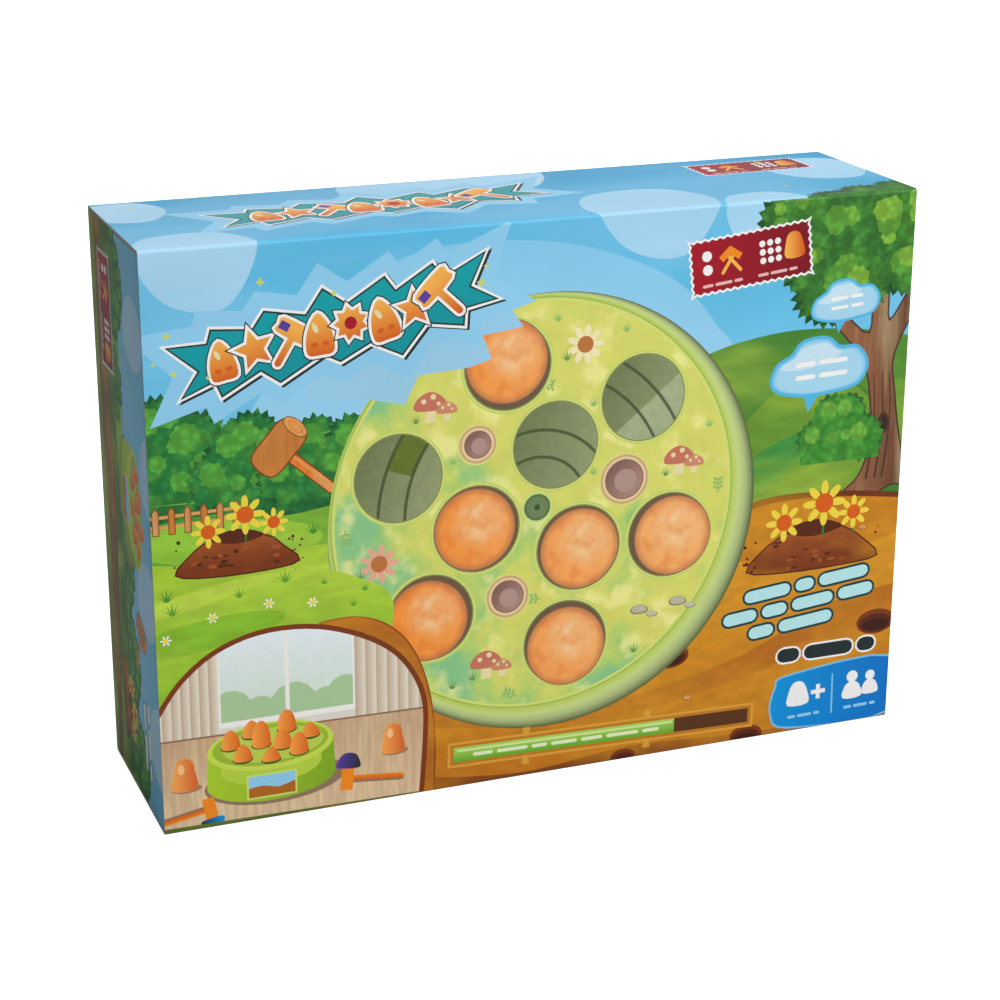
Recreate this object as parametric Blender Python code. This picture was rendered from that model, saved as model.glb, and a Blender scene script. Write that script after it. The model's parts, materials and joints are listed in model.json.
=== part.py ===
"""Boxed mole pounding game: a printed carton that holds a motorised drum, moles and two hammers.

Metres, +Z up. The origin is at the centre of the carton's footprint, and the carton's front faces -Y.
The drum has a frame of its own, with +Z out of its playing deck, which an empty turns towards the front.
"""

import math

import bmesh
import bpy
from mathutils import Matrix, Vector

MM = 0.001

# Clearances and shared values
SEAT_GAP = 0.3 * MM
OVERRUN = 2.0 * MM
WELD = 0.002 * MM
SMOOTH_ANGLE = math.radians(35)
FINE_STEPS = 48
ROUND_STEPS = 16
SMALL_STEPS = 12
QUARTER_TURN = 90.0
HALF_TURN = 180.0
FULL_TURN = 360.0

# Drum shells
DECK_LEVEL = 70.0 * MM
DECK_MARGIN = 15.7 * MM
DECK_WALL = 2.4 * MM
DECK_FILLET = 6.0 * MM
DECK_SKIRT = 15.0 * MM
DECK_SKIRT_FLARE = 0.3 * MM
SHELL_WALL = 2.2 * MM
BASE_FLARE = 2.6 * MM
BASE_FLOOR = 2.4 * MM
BASE_CHAMFER = 2.0 * MM
LIP_HEIGHT = 3.0 * MM
LIP_WALL = 1.6 * MM
FOOT_HEIGHT = 1.5 * MM
FOOT_RADIUS = 6.0 * MM
FOOT_COUNT = 4
FOOT_RING_SHARE = 0.80
FOOT_RING_START = 45.0

# Mole holes, in an outer ring of six and an inner ring of three
OUTER_RING_RADIUS = 63.5 * MM
OUTER_RING_START = 42.0
OUTER_RING_COUNT = 6
INNER_RING_SHARE = 0.433
INNER_RING_START = 73.0
INNER_RING_COUNT = 3
HOLE_SHARE = 0.2866
TUBE_WALL = 1.6 * MM
TUBE_DEPTH = 24.0 * MM
COLLAR_HEIGHT = 1.2 * MM
FILLED_OUTER_HOLES = (1, 3, 4, 5)
FILLED_INNER_HOLES = (1, 2)
MOLE_TURNS = (20.0, -35.0, 60.0, 150.0, -80.0, 110.0)

# Burrow dimples in the deck
DIMPLE_RING_SHARE = 0.63
DIMPLE_ANGLES = (131.0, 11.0, 251.0)
DIMPLE_RADII = (5.4 * MM, 8.2 * MM, 6.7 * MM)
DIMPLE_DEPTH = 1.4 * MM

# Labels
LABEL_THICKNESS = 0.3 * MM
LABEL_GAP = 0.1 * MM
LABEL_EDGE = 1.2 * MM
SIDE_LABEL_LOW_SHARE = 0.24
SIDE_LABEL_HIGH_SHARE = 0.86
SIDE_LABEL_HALF_ANGLE = 24.0
SIDE_LABEL_STEPS = 10

# Moles
MOLE_SLACK = 0.9 * MM
MOLE_SHOULDER = 1.6 * MM
MOLE_WALL = 2.0 * MM
MOLE_HEIGHT = 39.0 * MM
MOLE_SKIRT = 12.0 * MM
MOLE_PROUD = 4.5 * MM
MOLE_TRAVEL = 8.0 * MM
MOLE_STEPS = 12
MOLE_DOME_STEPS = 3
SNOUT_RADIUS_SHARES = (0.40, 0.34, 0.22)
SNOUT_TILT = 50.0
EAR_RADIUS_SHARES = (0.20, 0.16, 0.20)
EAR_TILT = 52.0
EAR_SPREAD = 130.0

# Turntable
PLATE_THICKNESS = 2.4 * MM
PLATE_MARGIN = 0.2 * MM
TRACK_WIDTH = 11.5 * MM
TRACK_HEIGHT = 1.2 * MM
OUTER_LOBES = (12.0, 72.0, 102.0, 162.0, 252.0, 312.0)
OUTER_LOBE_HALF = 12.0
OUTER_LOBE_HEIGHT = MOLE_TRAVEL
INNER_LOBES = (27.0, 207.0)
INNER_LOBE_HALF = 9.0
INNER_LOBE_HEIGHT = 4.0 * MM
LOBE_SHOULDER_SHARE = 0.8
LOBE_RAMP_SHARE = 0.4
TURNTABLE_STEPS = 60
POST_RADIUS = 3.1 * MM
HUB_WALL = 1.8 * MM
HUB_BELOW_DECK = 5.6 * MM
HUB_SLEEVE_BELOW_PLATE = 3.2 * MM
CENTRE_HOLE_RADIUS = 5.8 * MM
PIVOT_FLANGE_THICKNESS = 1.2 * MM
PIVOT_SCREW_RADIUS = 1.6 * MM
PIVOT_HEAD_HEIGHT = 1.6 * MM

# Gear train, from the ring under the turntable down to the motor
RING_MODULE = 1.5 * MM
RING_TEETH = 60
RING_GEAR_WALL = 3.0 * MM
OUTPUT_PINION_TEETH = 10
MIDDLE_MODULE = 1.0 * MM
OUTPUT_WHEEL_TEETH = 36
MIDDLE_PINION_TEETH = 12
MOTOR_MODULE = 0.8 * MM
MIDDLE_WHEEL_TEETH = 32
MOTOR_PINION_TEETH = 8
MESH_SLACK = 0.15 * MM
ADDENDUM_SHARE = 0.7
DEDENDUM_SHARE = 1.05
ROOT_TOOTH_SHARE = 0.50
TIP_TOOTH_SHARE = 0.22
OUTPUT_GEAR_ANGLE = 60.0
MIDDLE_GEAR_ANGLE = -15.0
MOTOR_ANGLE = -40.0
SHAFT_RADIUS = 1.0 * MM
SHAFT_SLACK = 0.2 * MM
GEAR_BOSS_RADIUS = 3.4 * MM
GEAR_BOSS_HEIGHT = 9.7 * MM
WHEEL_THICKNESS = 4.0 * MM
MIDDLE_WHEEL_THICKNESS = 2.5 * MM
WHEEL_FUSION = 0.5 * MM

# Motor
MOTOR_WIDTH = 12.0 * MM
MOTOR_DEPTH = 10.0 * MM
MOTOR_LENGTH = 15.0 * MM
MOTOR_CAP_LENGTH = 2.4 * MM
MOTOR_BOSS_RADIUS = 2.2 * MM
MOTOR_BOSS_HEIGHT = 1.3 * MM
MOTOR_CORNER_STEPS = 4
MOTOR_RIB_THICKNESS = 2.0 * MM
MOTOR_RIB_DEPTH_SHARE = 0.4
MOTOR_RIB_HEIGHT = 9.0 * MM

# Screws that hold the deck to the base
SCREW_RING_INSET = 9.5 * MM
SCREW_RING_START = 12.0
SCREW_COUNT = 3
SCREW_POST_RADIUS = 3.8 * MM
SCREW_POST_HEIGHT = 52.0 * MM
SCREW_HEAD_RADIUS = 2.6 * MM
SCREW_HEAD_HEIGHT = 2.0 * MM
SCREW_SHANK_RADIUS = 1.4 * MM
SCREW_LENGTH = 14.0 * MM
SCREW_SEAT_WALL = 4.0 * MM
SCREW_SLACK = 0.2 * MM

# Battery bay for three AA cells, its door and its contacts
CELL_RADIUS = 7.25 * MM
CELL_LENGTH = 50.5 * MM
CELL_COUNT = 3
BAY_SLACK = 0.5 * MM
BAY_DEPTH = 15.5 * MM
BAY_WALL = 2.0 * MM
BAY_CENTRE_Y = -48.0 * MM
CONTACT_ROOM = 3.5 * MM
CONTACT_THICKNESS = 0.5 * MM
CONTACT_HEIGHT = 10.0 * MM
SPRING_LENGTH = 2.6 * MM
SPRING_BASE_RADIUS = 3.6 * MM
SPRING_TIP_RADIUS = 2.4 * MM
DOOR_THICKNESS = 1.5 * MM
DOOR_LEDGE = 1.8 * MM
DOOR_SCREW_RADIUS = 2.4 * MM
DOOR_SCREW_LENGTH = 5.0 * MM
DOOR_TAB_RADIUS = 5.0 * MM
DOOR_TAB_BOSS_HEIGHT = 7.5 * MM

# On-off switch in the drum's floor
SWITCH_X = -40.0 * MM
SWITCH_Y = 60.0 * MM
SWITCH_TRAVEL = 4.0 * MM
KNOB_LENGTH = 4.0 * MM
KNOB_WIDTH = 4.0 * MM
KNOB_PROUD = 0.9 * MM
KNOB_REACH = 1.8 * MM
KNOB_SLACK = 0.4 * MM
SWITCH_BODY_LENGTH = 15.0 * MM
SWITCH_BODY_WIDTH = 7.0 * MM
SWITCH_BODY_HEIGHT = 6.0 * MM

# Leads between the battery contacts, the switch and the motor
LEAD_RADIUS = 0.6 * MM
LEAD_STEP = 5.0 * MM
LEAD_BEVEL_RESOLUTION = 1
LEAD_HEIGHT = 9.0 * MM
LEAD_STRAIGHT = 4.0 * MM
LEAD_SPACING = 2.4 * MM
LEAD_BAY_OFFSET = 10.0 * MM
RED_LEAD_SHARES = ((0.46, -0.27), (0.59, -0.10))
BLACK_LEAD_SHARES = ((-0.52, -0.18), (-0.57, 0.10), (-0.56, 0.40))
BLUE_LEAD_SHARES = ((-0.08, 0.71), (0.30, 0.80), (0.62, 0.60), (0.74, 0.34))

# Carton
BOARD = 1.2 * MM
DECK_HEADROOM = 13.8 * MM
BAY_WIDTH = 58.3 * MM
DRUM_FLOOR_CLEARANCE = 12.6 * MM
DRUM_CEILING_CLEARANCE = 19.1 * MM
GLUE_LAP_WIDTH = 16.0 * MM
GLUE_LAP_INSET = 5.0 * MM
TONGUE_LENGTH = 14.0 * MM
TONGUE_SETBACK = 1.6 * MM
TONGUE_INSET = 12.0 * MM
TONGUE_CHAMFER = 8.0 * MM
DUST_FLAP_LENGTH = 55.0 * MM
DUST_FLAP_FRONT_TAPER = 12.0
DUST_FLAP_BACK_TAPER = 32.0
DUST_FLAP_SIDE_GAP = 3.0 * MM

# Card inserts that hold the drum and the hammers
DIVIDER_GAP = 0.6 * MM
SHELF_DEPTH = 42.0 * MM
SHELF_NOTCH_SLACK = 1.5 * MM
CRADLE_HALF_WIDTH_SHARE = 0.75
CRADLE_CARD = 3.0 * MM
CRADLE_FRONT_SHARE = 0.86
CRADLE_BACK_SHARE = 0.16
CRADLE_ARC_STEPS = 12

# Hammers
HAMMER_OFFSET = 24.0 * MM
STRIKER_RADIUS = 19.0 * MM
STRIKER_WALL = 2.0 * MM
STRIKER_RIM = 4.0 * MM
STRIKER_STEPS = 16
STRIKER_DOME_STEPS = 3
HEAD_RADIUS = 11.0 * MM
HEAD_FLANGE_RADIUS = 16.5 * MM
HEAD_FLANGE = 3.0 * MM
HEAD_LENGTH = 38.0 * MM
HEAD_TAIL_RADIUS = 7.5 * MM
HEAD_TAIL_SHARE = 0.30
HEAD_SOCKET_SHARE = 0.50
HANDLE_RADIUS = 6.2 * MM
HANDLE_NECK_RADIUS = 5.0 * MM
HANDLE_KNOB_RADIUS = 7.2 * MM
HANDLE_KNOB_LENGTH = 12.0 * MM
HANDLE_SOCKET_DEPTH = 7.0 * MM
HAMMER_HEADROOM = 12.0 * MM
HAMMER_STOW_CLEARANCE = 17.5 * MM
SPARE_MOLE_GAP = 3.4 * MM

# Levels and radii that follow from the values above
INNER_RING_RADIUS = INNER_RING_SHARE * OUTER_RING_RADIUS
HOLE_RADIUS = HOLE_SHARE * OUTER_RING_RADIUS
DIMPLE_RING_RADIUS = DIMPLE_RING_SHARE * OUTER_RING_RADIUS
TUBE_RADIUS = HOLE_RADIUS + TUBE_WALL
MOLE_RIM_RADIUS = HOLE_RADIUS - MOLE_SLACK
MOLE_HEAD_RADIUS = MOLE_RIM_RADIUS - MOLE_SHOULDER
SPARE_MOLE_SPACING = 2 * MOLE_RIM_RADIUS + SPARE_MOLE_GAP
PLATE_RADIUS = OUTER_RING_RADIUS + TUBE_RADIUS + PLATE_MARGIN
DECK_RADIUS = OUTER_RING_RADIUS + TUBE_RADIUS + DECK_MARGIN
SCREW_RING_RADIUS = DECK_RADIUS - SCREW_RING_INSET
MOLE_SEAT_LEVEL = DECK_LEVEL + MOLE_PROUD - MOLE_HEIGHT
TRACK_LEVEL = MOLE_SEAT_LEVEL - OUTER_LOBE_HEIGHT - SEAT_GAP
PLATE_TOP = TRACK_LEVEL - TRACK_HEIGHT
PLATE_BOTTOM = PLATE_TOP - PLATE_THICKNESS
SKIRT_BOTTOM = DECK_LEVEL - DECK_SKIRT
BASE_TOP = SKIRT_BOTTOM - SEAT_GAP
SKIRT_RADIUS = DECK_RADIUS + DECK_SKIRT_FLARE
BASE_RADIUS = SKIRT_RADIUS + BASE_FLARE
LIP_RADIUS = SKIRT_RADIUS - SHELL_WALL - SEAT_GAP
DECK_UNDERSIDE = DECK_LEVEL - DECK_WALL
HUB_BORE = POST_RADIUS + SEAT_GAP
HUB_RADIUS = HUB_BORE + HUB_WALL
HUB_TOP = DECK_LEVEL - HUB_BELOW_DECK
HUB_BOTTOM = PLATE_BOTTOM - HUB_SLEEVE_BELOW_PLATE
BOX_DEPTH = 2 * BOARD + DECK_HEADROOM + DECK_LEVEL + FOOT_HEIGHT + SEAT_GAP
FRONT_FACE = -BOX_DEPTH / 2
BACK_FACE = BOX_DEPTH / 2
DRUM_BASE_Y = BACK_FACE - BOARD - SEAT_GAP - FOOT_HEIGHT
DIVIDER_X = BASE_RADIUS + DIVIDER_GAP
BOX_HALF_WIDTH = DIVIDER_X + BOARD + BAY_WIDTH + 2 * (BOARD + SEAT_GAP)
INNER_FRONT = FRONT_FACE + BOARD
INNER_BACK = BACK_FACE - BOARD
INSERT_FRONT = INNER_FRONT + SEAT_GAP
INSERT_BACK = INNER_BACK - SEAT_GAP
INSERT_FLOOR = BOARD + SEAT_GAP
DRUM_CENTRE_HEIGHT = INSERT_FLOOR + DRUM_FLOOR_CLEARANCE + BASE_RADIUS
INSERT_CEILING = DRUM_CENTRE_HEIGHT + BASE_RADIUS + DRUM_CEILING_CLEARANCE
LAP_LEVEL = INSERT_CEILING + BOARD + SEAT_GAP
SLEEVE_HEIGHT = LAP_LEVEL + BOARD + SEAT_GAP
BAY_CENTRE_X = DIVIDER_X + BOARD + HAMMER_OFFSET
HAMMER_LEVEL = INSERT_CEILING - HAMMER_HEADROOM - STRIKER_RADIUS
HANDLE_LENGTH = HAMMER_LEVEL - INSERT_FLOOR - MOLE_HEIGHT - HAMMER_STOW_CLEARANCE

# Colours of the pieces: red, green, blue, roughness, metallic
COLOURS = {
    "printed_board": (0.35, 0.66, 0.82, 0.35, 0.0),
    "grey_board": (0.62, 0.58, 0.52, 0.8, 0.0),
    "green_plastic": (0.42, 0.68, 0.08, 0.4, 0.0),
    "label_print": (0.72, 0.82, 0.22, 0.45, 0.0),
    "turntable_plastic": (0.20, 0.25, 0.16, 0.5, 0.0),
    "orange_plastic": (0.95, 0.36, 0.08, 0.4, 0.0),
    "blue_plastic": (0.10, 0.45, 0.80, 0.4, 0.0),
    "indigo_rubber": (0.09, 0.06, 0.32, 0.5, 0.0),
    "gear_plastic": (0.85, 0.84, 0.78, 0.45, 0.0),
    "steel": (0.60, 0.60, 0.62, 0.3, 1.0),
    "black_plastic": (0.02, 0.02, 0.02, 0.5, 0.0),
    "red_lead": (0.60, 0.03, 0.02, 0.45, 0.0),
    "black_lead": (0.02, 0.02, 0.02, 0.45, 0.0),
    "blue_lead": (0.02, 0.10, 0.50, 0.45, 0.0),
}


def polar(radius, degrees):
    """A point at this radius and angle, as x and y."""
    angle = math.radians(degrees)
    return Vector((radius * math.cos(angle), radius * math.sin(angle)))


def outer_hole(index):
    return polar(OUTER_RING_RADIUS, OUTER_RING_START + index * FULL_TURN / OUTER_RING_COUNT)


def inner_hole(index):
    return polar(INNER_RING_RADIUS, INNER_RING_START + index * FULL_TURN / INNER_RING_COUNT)


def all_holes():
    outer = [outer_hole(i) for i in range(OUTER_RING_COUNT)]
    return outer + [inner_hole(i) for i in range(INNER_RING_COUNT)]


def screw_place(index):
    return polar(SCREW_RING_RADIUS, SCREW_RING_START + index * FULL_TURN / SCREW_COUNT)


def material(name):
    """The Principled material of this name, made the first time it is asked for."""
    found = bpy.data.materials.get(name)
    if found:
        return found
    red, green, blue, roughness, metallic = COLOURS[name]
    made = bpy.data.materials.new(name)
    made.use_nodes = True
    shader = made.node_tree.nodes["Principled BSDF"]
    shader.inputs["Base Color"].default_value = (red, green, blue, 1.0)
    shader.inputs["Roughness"].default_value = roughness
    shader.inputs["Metallic"].default_value = metallic
    made.diffuse_color = (red, green, blue, 1.0)
    return made


def place(name, shape, finish, parent=None, helper=False):
    """A named object made of a bmesh, with its material, parent and smooth shading."""
    mesh = bpy.data.meshes.new(name)
    bmesh.ops.recalc_face_normals(shape, faces=shape.faces)
    shape.to_mesh(mesh)
    shape.free()
    mesh.shade_smooth()
    mesh.set_sharp_from_angle(angle=SMOOTH_ANGLE)
    item = bpy.data.objects.new(name, mesh)
    bpy.context.scene.collection.objects.link(item)
    item.parent = parent
    if helper:
        item.hide_render = True
        item.display_type = "WIRE"
    else:
        mesh.materials.append(material(finish))
    return item


def boolean(item, operation, shape, label):
    """Adds a Boolean with the bmesh as its hidden second operand."""
    operand = place(f"{item.name}_{label}", shape, None, item.parent, helper=True)
    operand.matrix_basis = item.matrix_basis
    modifier = item.modifiers.new(label, "BOOLEAN")
    modifier.operation = operation
    modifier.object = operand
    modifier.solver = "EXACT"
    return item


def joined(*shapes):
    """One bmesh that holds the given ones as separate bodies."""
    whole = bmesh.new()
    for shape in shapes:
        mesh = bpy.data.meshes.new("joined")
        shape.to_mesh(mesh)
        shape.free()
        whole.from_mesh(mesh)
        bpy.data.meshes.remove(mesh)
    return whole


def moved(shape, offset=(0, 0, 0), turn=None):
    """The shape turned by a matrix and then moved."""
    if turn is not None:
        shape.transform(turn.to_4x4())
    shape.transform(Matrix.Translation(offset))
    return shape


def block(low, high):
    """A box between two corners."""
    shape = bmesh.new()
    bmesh.ops.create_cube(shape, size=1.0)
    low, high = Vector(low), Vector(high)
    size = high - low
    shape.transform(Matrix.Translation((low + high) / 2) @ Matrix.Diagonal((*size, 1.0)))
    return shape


def rod(radius, low, high, centre=(0, 0), steps=SMALL_STEPS, tip_radius=None):
    """A cylinder or cone along Z between two levels."""
    shape = bmesh.new()
    top = radius if tip_radius is None else tip_radius
    bmesh.ops.create_cone(
        shape, cap_ends=True, segments=steps, radius1=radius, radius2=top, depth=high - low
    )
    return moved(shape, (centre[0], centre[1], (low + high) / 2))


def ball(radii, steps=10, rings=6):
    """An ellipsoid about the origin."""
    shape = bmesh.new()
    bmesh.ops.create_uvsphere(shape, u_segments=steps, v_segments=rings, radius=1.0)
    shape.transform(Matrix.Diagonal((*radii, 1.0)))
    return shape


def lathe(profile, steps=FINE_STEPS):
    """A closed outline of (radius, level) points turned about Z. Points on the axis close it."""
    shape = bmesh.new()
    points = [shape.verts.new((radius, 0, level)) for radius, level in profile]
    for first, second in zip(points, points[1:] + points[:1]):
        if first.co.x > 0 or second.co.x > 0:
            shape.edges.new((first, second))
    bmesh.ops.spin(
        shape,
        geom=list(shape.verts) + list(shape.edges),
        cent=(0, 0, 0),
        axis=(0, 0, 1),
        angle=math.tau,
        steps=steps,
        use_merge=True,
    )
    bmesh.ops.remove_doubles(shape, verts=shape.verts, dist=WELD)
    bmesh.ops.recalc_face_normals(shape, faces=shape.faces)
    return shape


def plate(loops, low, high):
    """A flat plate between two levels, from an outline and any number of hole outlines."""
    shape = bmesh.new()
    edges = []
    for loop in loops:
        points = [shape.verts.new((x, y, low)) for x, y in loop]
        edges += [shape.edges.new(pair) for pair in zip(points, points[1:] + points[:1])]
    bmesh.ops.triangle_fill(shape, use_beauty=True, use_dissolve=False, edges=edges)
    raised = bmesh.ops.extrude_face_region(shape, geom=list(shape.faces))["geom"]
    top = [part for part in raised if isinstance(part, bmesh.types.BMVert)]
    bmesh.ops.translate(shape, verts=top, vec=(0, 0, high - low))
    bmesh.ops.recalc_face_normals(shape, faces=shape.faces)
    return shape


def circle(radius, centre=(0, 0), steps=ROUND_STEPS):
    """Points on a circle, as a loop for plate."""
    return [Vector(centre) + polar(radius, i * FULL_TURN / steps) for i in range(steps)]


def arc(radius, start, end, steps, centre=(0, 0)):
    """Points on an arc between two angles, both ends included."""
    return [
        Vector(centre) + polar(radius, start + (end - start) * i / steps)
        for i in range(steps + 1)
    ]


def gear_outline(module, teeth, phase=0.0):
    """A loop of straight-sided teeth, with the middle of one tooth at the phase angle."""
    pitch = FULL_TURN / teeth
    radius = module * teeth / 2
    root = radius - DEDENDUM_SHARE * module
    tip = radius + ADDENDUM_SHARE * module
    loop = []
    for i in range(teeth):
        middle = phase + i * pitch
        loop.append(polar(root, middle - ROOT_TOOTH_SHARE * pitch / 2))
        loop.append(polar(tip, middle - TIP_TOOTH_SHARE * pitch / 2))
        loop.append(polar(tip, middle + TIP_TOOTH_SHARE * pitch / 2))
        loop.append(polar(root, middle + ROOT_TOOTH_SHARE * pitch / 2))
    return loop


def meshing_phase(driver_teeth, driver_phase, teeth, direction):
    """The phase of a gear whose centre lies in this direction, so that it meshes with its driver.

    A tooth gap of the driven gear faces a tooth of the driver along the line of centres.
    """
    driver_pitch = FULL_TURN / driver_teeth
    offset = ((direction - driver_phase) % driver_pitch) / driver_pitch
    pitch = FULL_TURN / teeth
    return direction + HALF_TURN + (offset + 0.5) * pitch


# Places of the gears, from the ring gear outwards
RING_RADIUS = RING_MODULE * RING_TEETH / 2
OUTPUT_DISTANCE = RING_RADIUS + RING_MODULE * OUTPUT_PINION_TEETH / 2 + MESH_SLACK
OUTPUT_CENTRE = polar(OUTPUT_DISTANCE, OUTPUT_GEAR_ANGLE)
MIDDLE_DISTANCE = MIDDLE_MODULE * (OUTPUT_WHEEL_TEETH + MIDDLE_PINION_TEETH) / 2 + MESH_SLACK
MIDDLE_CENTRE = OUTPUT_CENTRE + polar(MIDDLE_DISTANCE, MIDDLE_GEAR_ANGLE)
MOTOR_DISTANCE = MOTOR_MODULE * (MIDDLE_WHEEL_TEETH + MOTOR_PINION_TEETH) / 2 + MESH_SLACK
MOTOR_CENTRE = MIDDLE_CENTRE + polar(MOTOR_DISTANCE, MOTOR_ANGLE)
OUTPUT_PHASE = meshing_phase(RING_TEETH, 0.0, OUTPUT_PINION_TEETH, OUTPUT_GEAR_ANGLE)
MIDDLE_PHASE = meshing_phase(OUTPUT_WHEEL_TEETH, 0.0, MIDDLE_PINION_TEETH, MIDDLE_GEAR_ANGLE)
MOTOR_PHASE = meshing_phase(MIDDLE_WHEEL_TEETH, 0.0, MOTOR_PINION_TEETH, MOTOR_ANGLE)
WHEEL_LOW = GEAR_BOSS_HEIGHT + SEAT_GAP
MOTOR_LOW = BASE_FLOOR + SEAT_GAP
MOTOR_TOP = MOTOR_LOW + MOTOR_LENGTH
MOTOR_PINION_LOW = MOTOR_TOP + MOTOR_BOSS_HEIGHT + SEAT_GAP
GEAR_TOP = PLATE_BOTTOM - 2 * SEAT_GAP


def frame_of_drum():
    """The empty that stands the drum up behind the carton's front."""
    empty = bpy.data.objects.new("drum_frame", None)
    bpy.context.scene.collection.objects.link(empty)
    empty.location = (0, DRUM_BASE_Y, DRUM_CENTRE_HEIGHT)
    empty.rotation_euler = (math.pi / 2, 0, 0)
    return empty


def build_deck(drum):
    """The green cover with nine guide tubes, three burrow dimples and six screw bosses."""
    corner = DECK_RADIUS - DECK_FILLET
    shoulder = DECK_LEVEL - DECK_FILLET
    outside = arc(DECK_FILLET, QUARTER_TURN, 0, 5, (corner, shoulder))
    inside = arc(DECK_FILLET - SHELL_WALL, 0, QUARTER_TURN, 3, (corner, shoulder))
    profile = [(0, DECK_LEVEL)]
    profile += [tuple(point) for point in outside]
    profile += [(SKIRT_RADIUS, SKIRT_BOTTOM), (SKIRT_RADIUS - SHELL_WALL, SKIRT_BOTTOM)]
    profile += [tuple(point) for point in inside[:-1]]
    profile += [(corner, DECK_UNDERSIDE), (0, DECK_UNDERSIDE)]
    deck = place("deck_cover", lathe(profile), "green_plastic", drum)

    tubes = []
    for hole in all_holes():
        low = DECK_LEVEL - TUBE_DEPTH
        tubes.append(rod(TUBE_RADIUS, low, DECK_LEVEL + COLLAR_HEIGHT, hole, ROUND_STEPS))
    boss_low = SCREW_POST_HEIGHT + SEAT_GAP
    for i in range(SCREW_COUNT):
        tubes.append(rod(SCREW_POST_RADIUS, boss_low, DECK_UNDERSIDE + DECK_WALL / 2, screw_place(i)))
    boolean(deck, "UNION", joined(*tubes), "tubes")

    bores = []
    low = DECK_LEVEL - TUBE_DEPTH - OVERRUN
    high = DECK_LEVEL + COLLAR_HEIGHT + OVERRUN
    for hole in all_holes():
        bores.append(rod(HOLE_RADIUS, low, high, hole, ROUND_STEPS))
    for angle, radius in zip(DIMPLE_ANGLES, DIMPLE_RADII):
        centre = polar(DIMPLE_RING_RADIUS, angle)
        bores.append(rod(radius, DECK_LEVEL - DIMPLE_DEPTH, high, centre, ROUND_STEPS))
    bores.append(rod(CENTRE_HOLE_RADIUS, low, high, steps=ROUND_STEPS))
    pilot_low = boss_low - OVERRUN
    pilot_high = SCREW_POST_HEIGHT + SCREW_LENGTH - SCREW_SEAT_WALL + SEAT_GAP
    for i in range(SCREW_COUNT):
        bores.append(rod(SCREW_SHANK_RADIUS + SCREW_SLACK, pilot_low, pilot_high, screw_place(i), 8))
    boolean(deck, "DIFFERENCE", joined(*bores), "bores")


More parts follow.
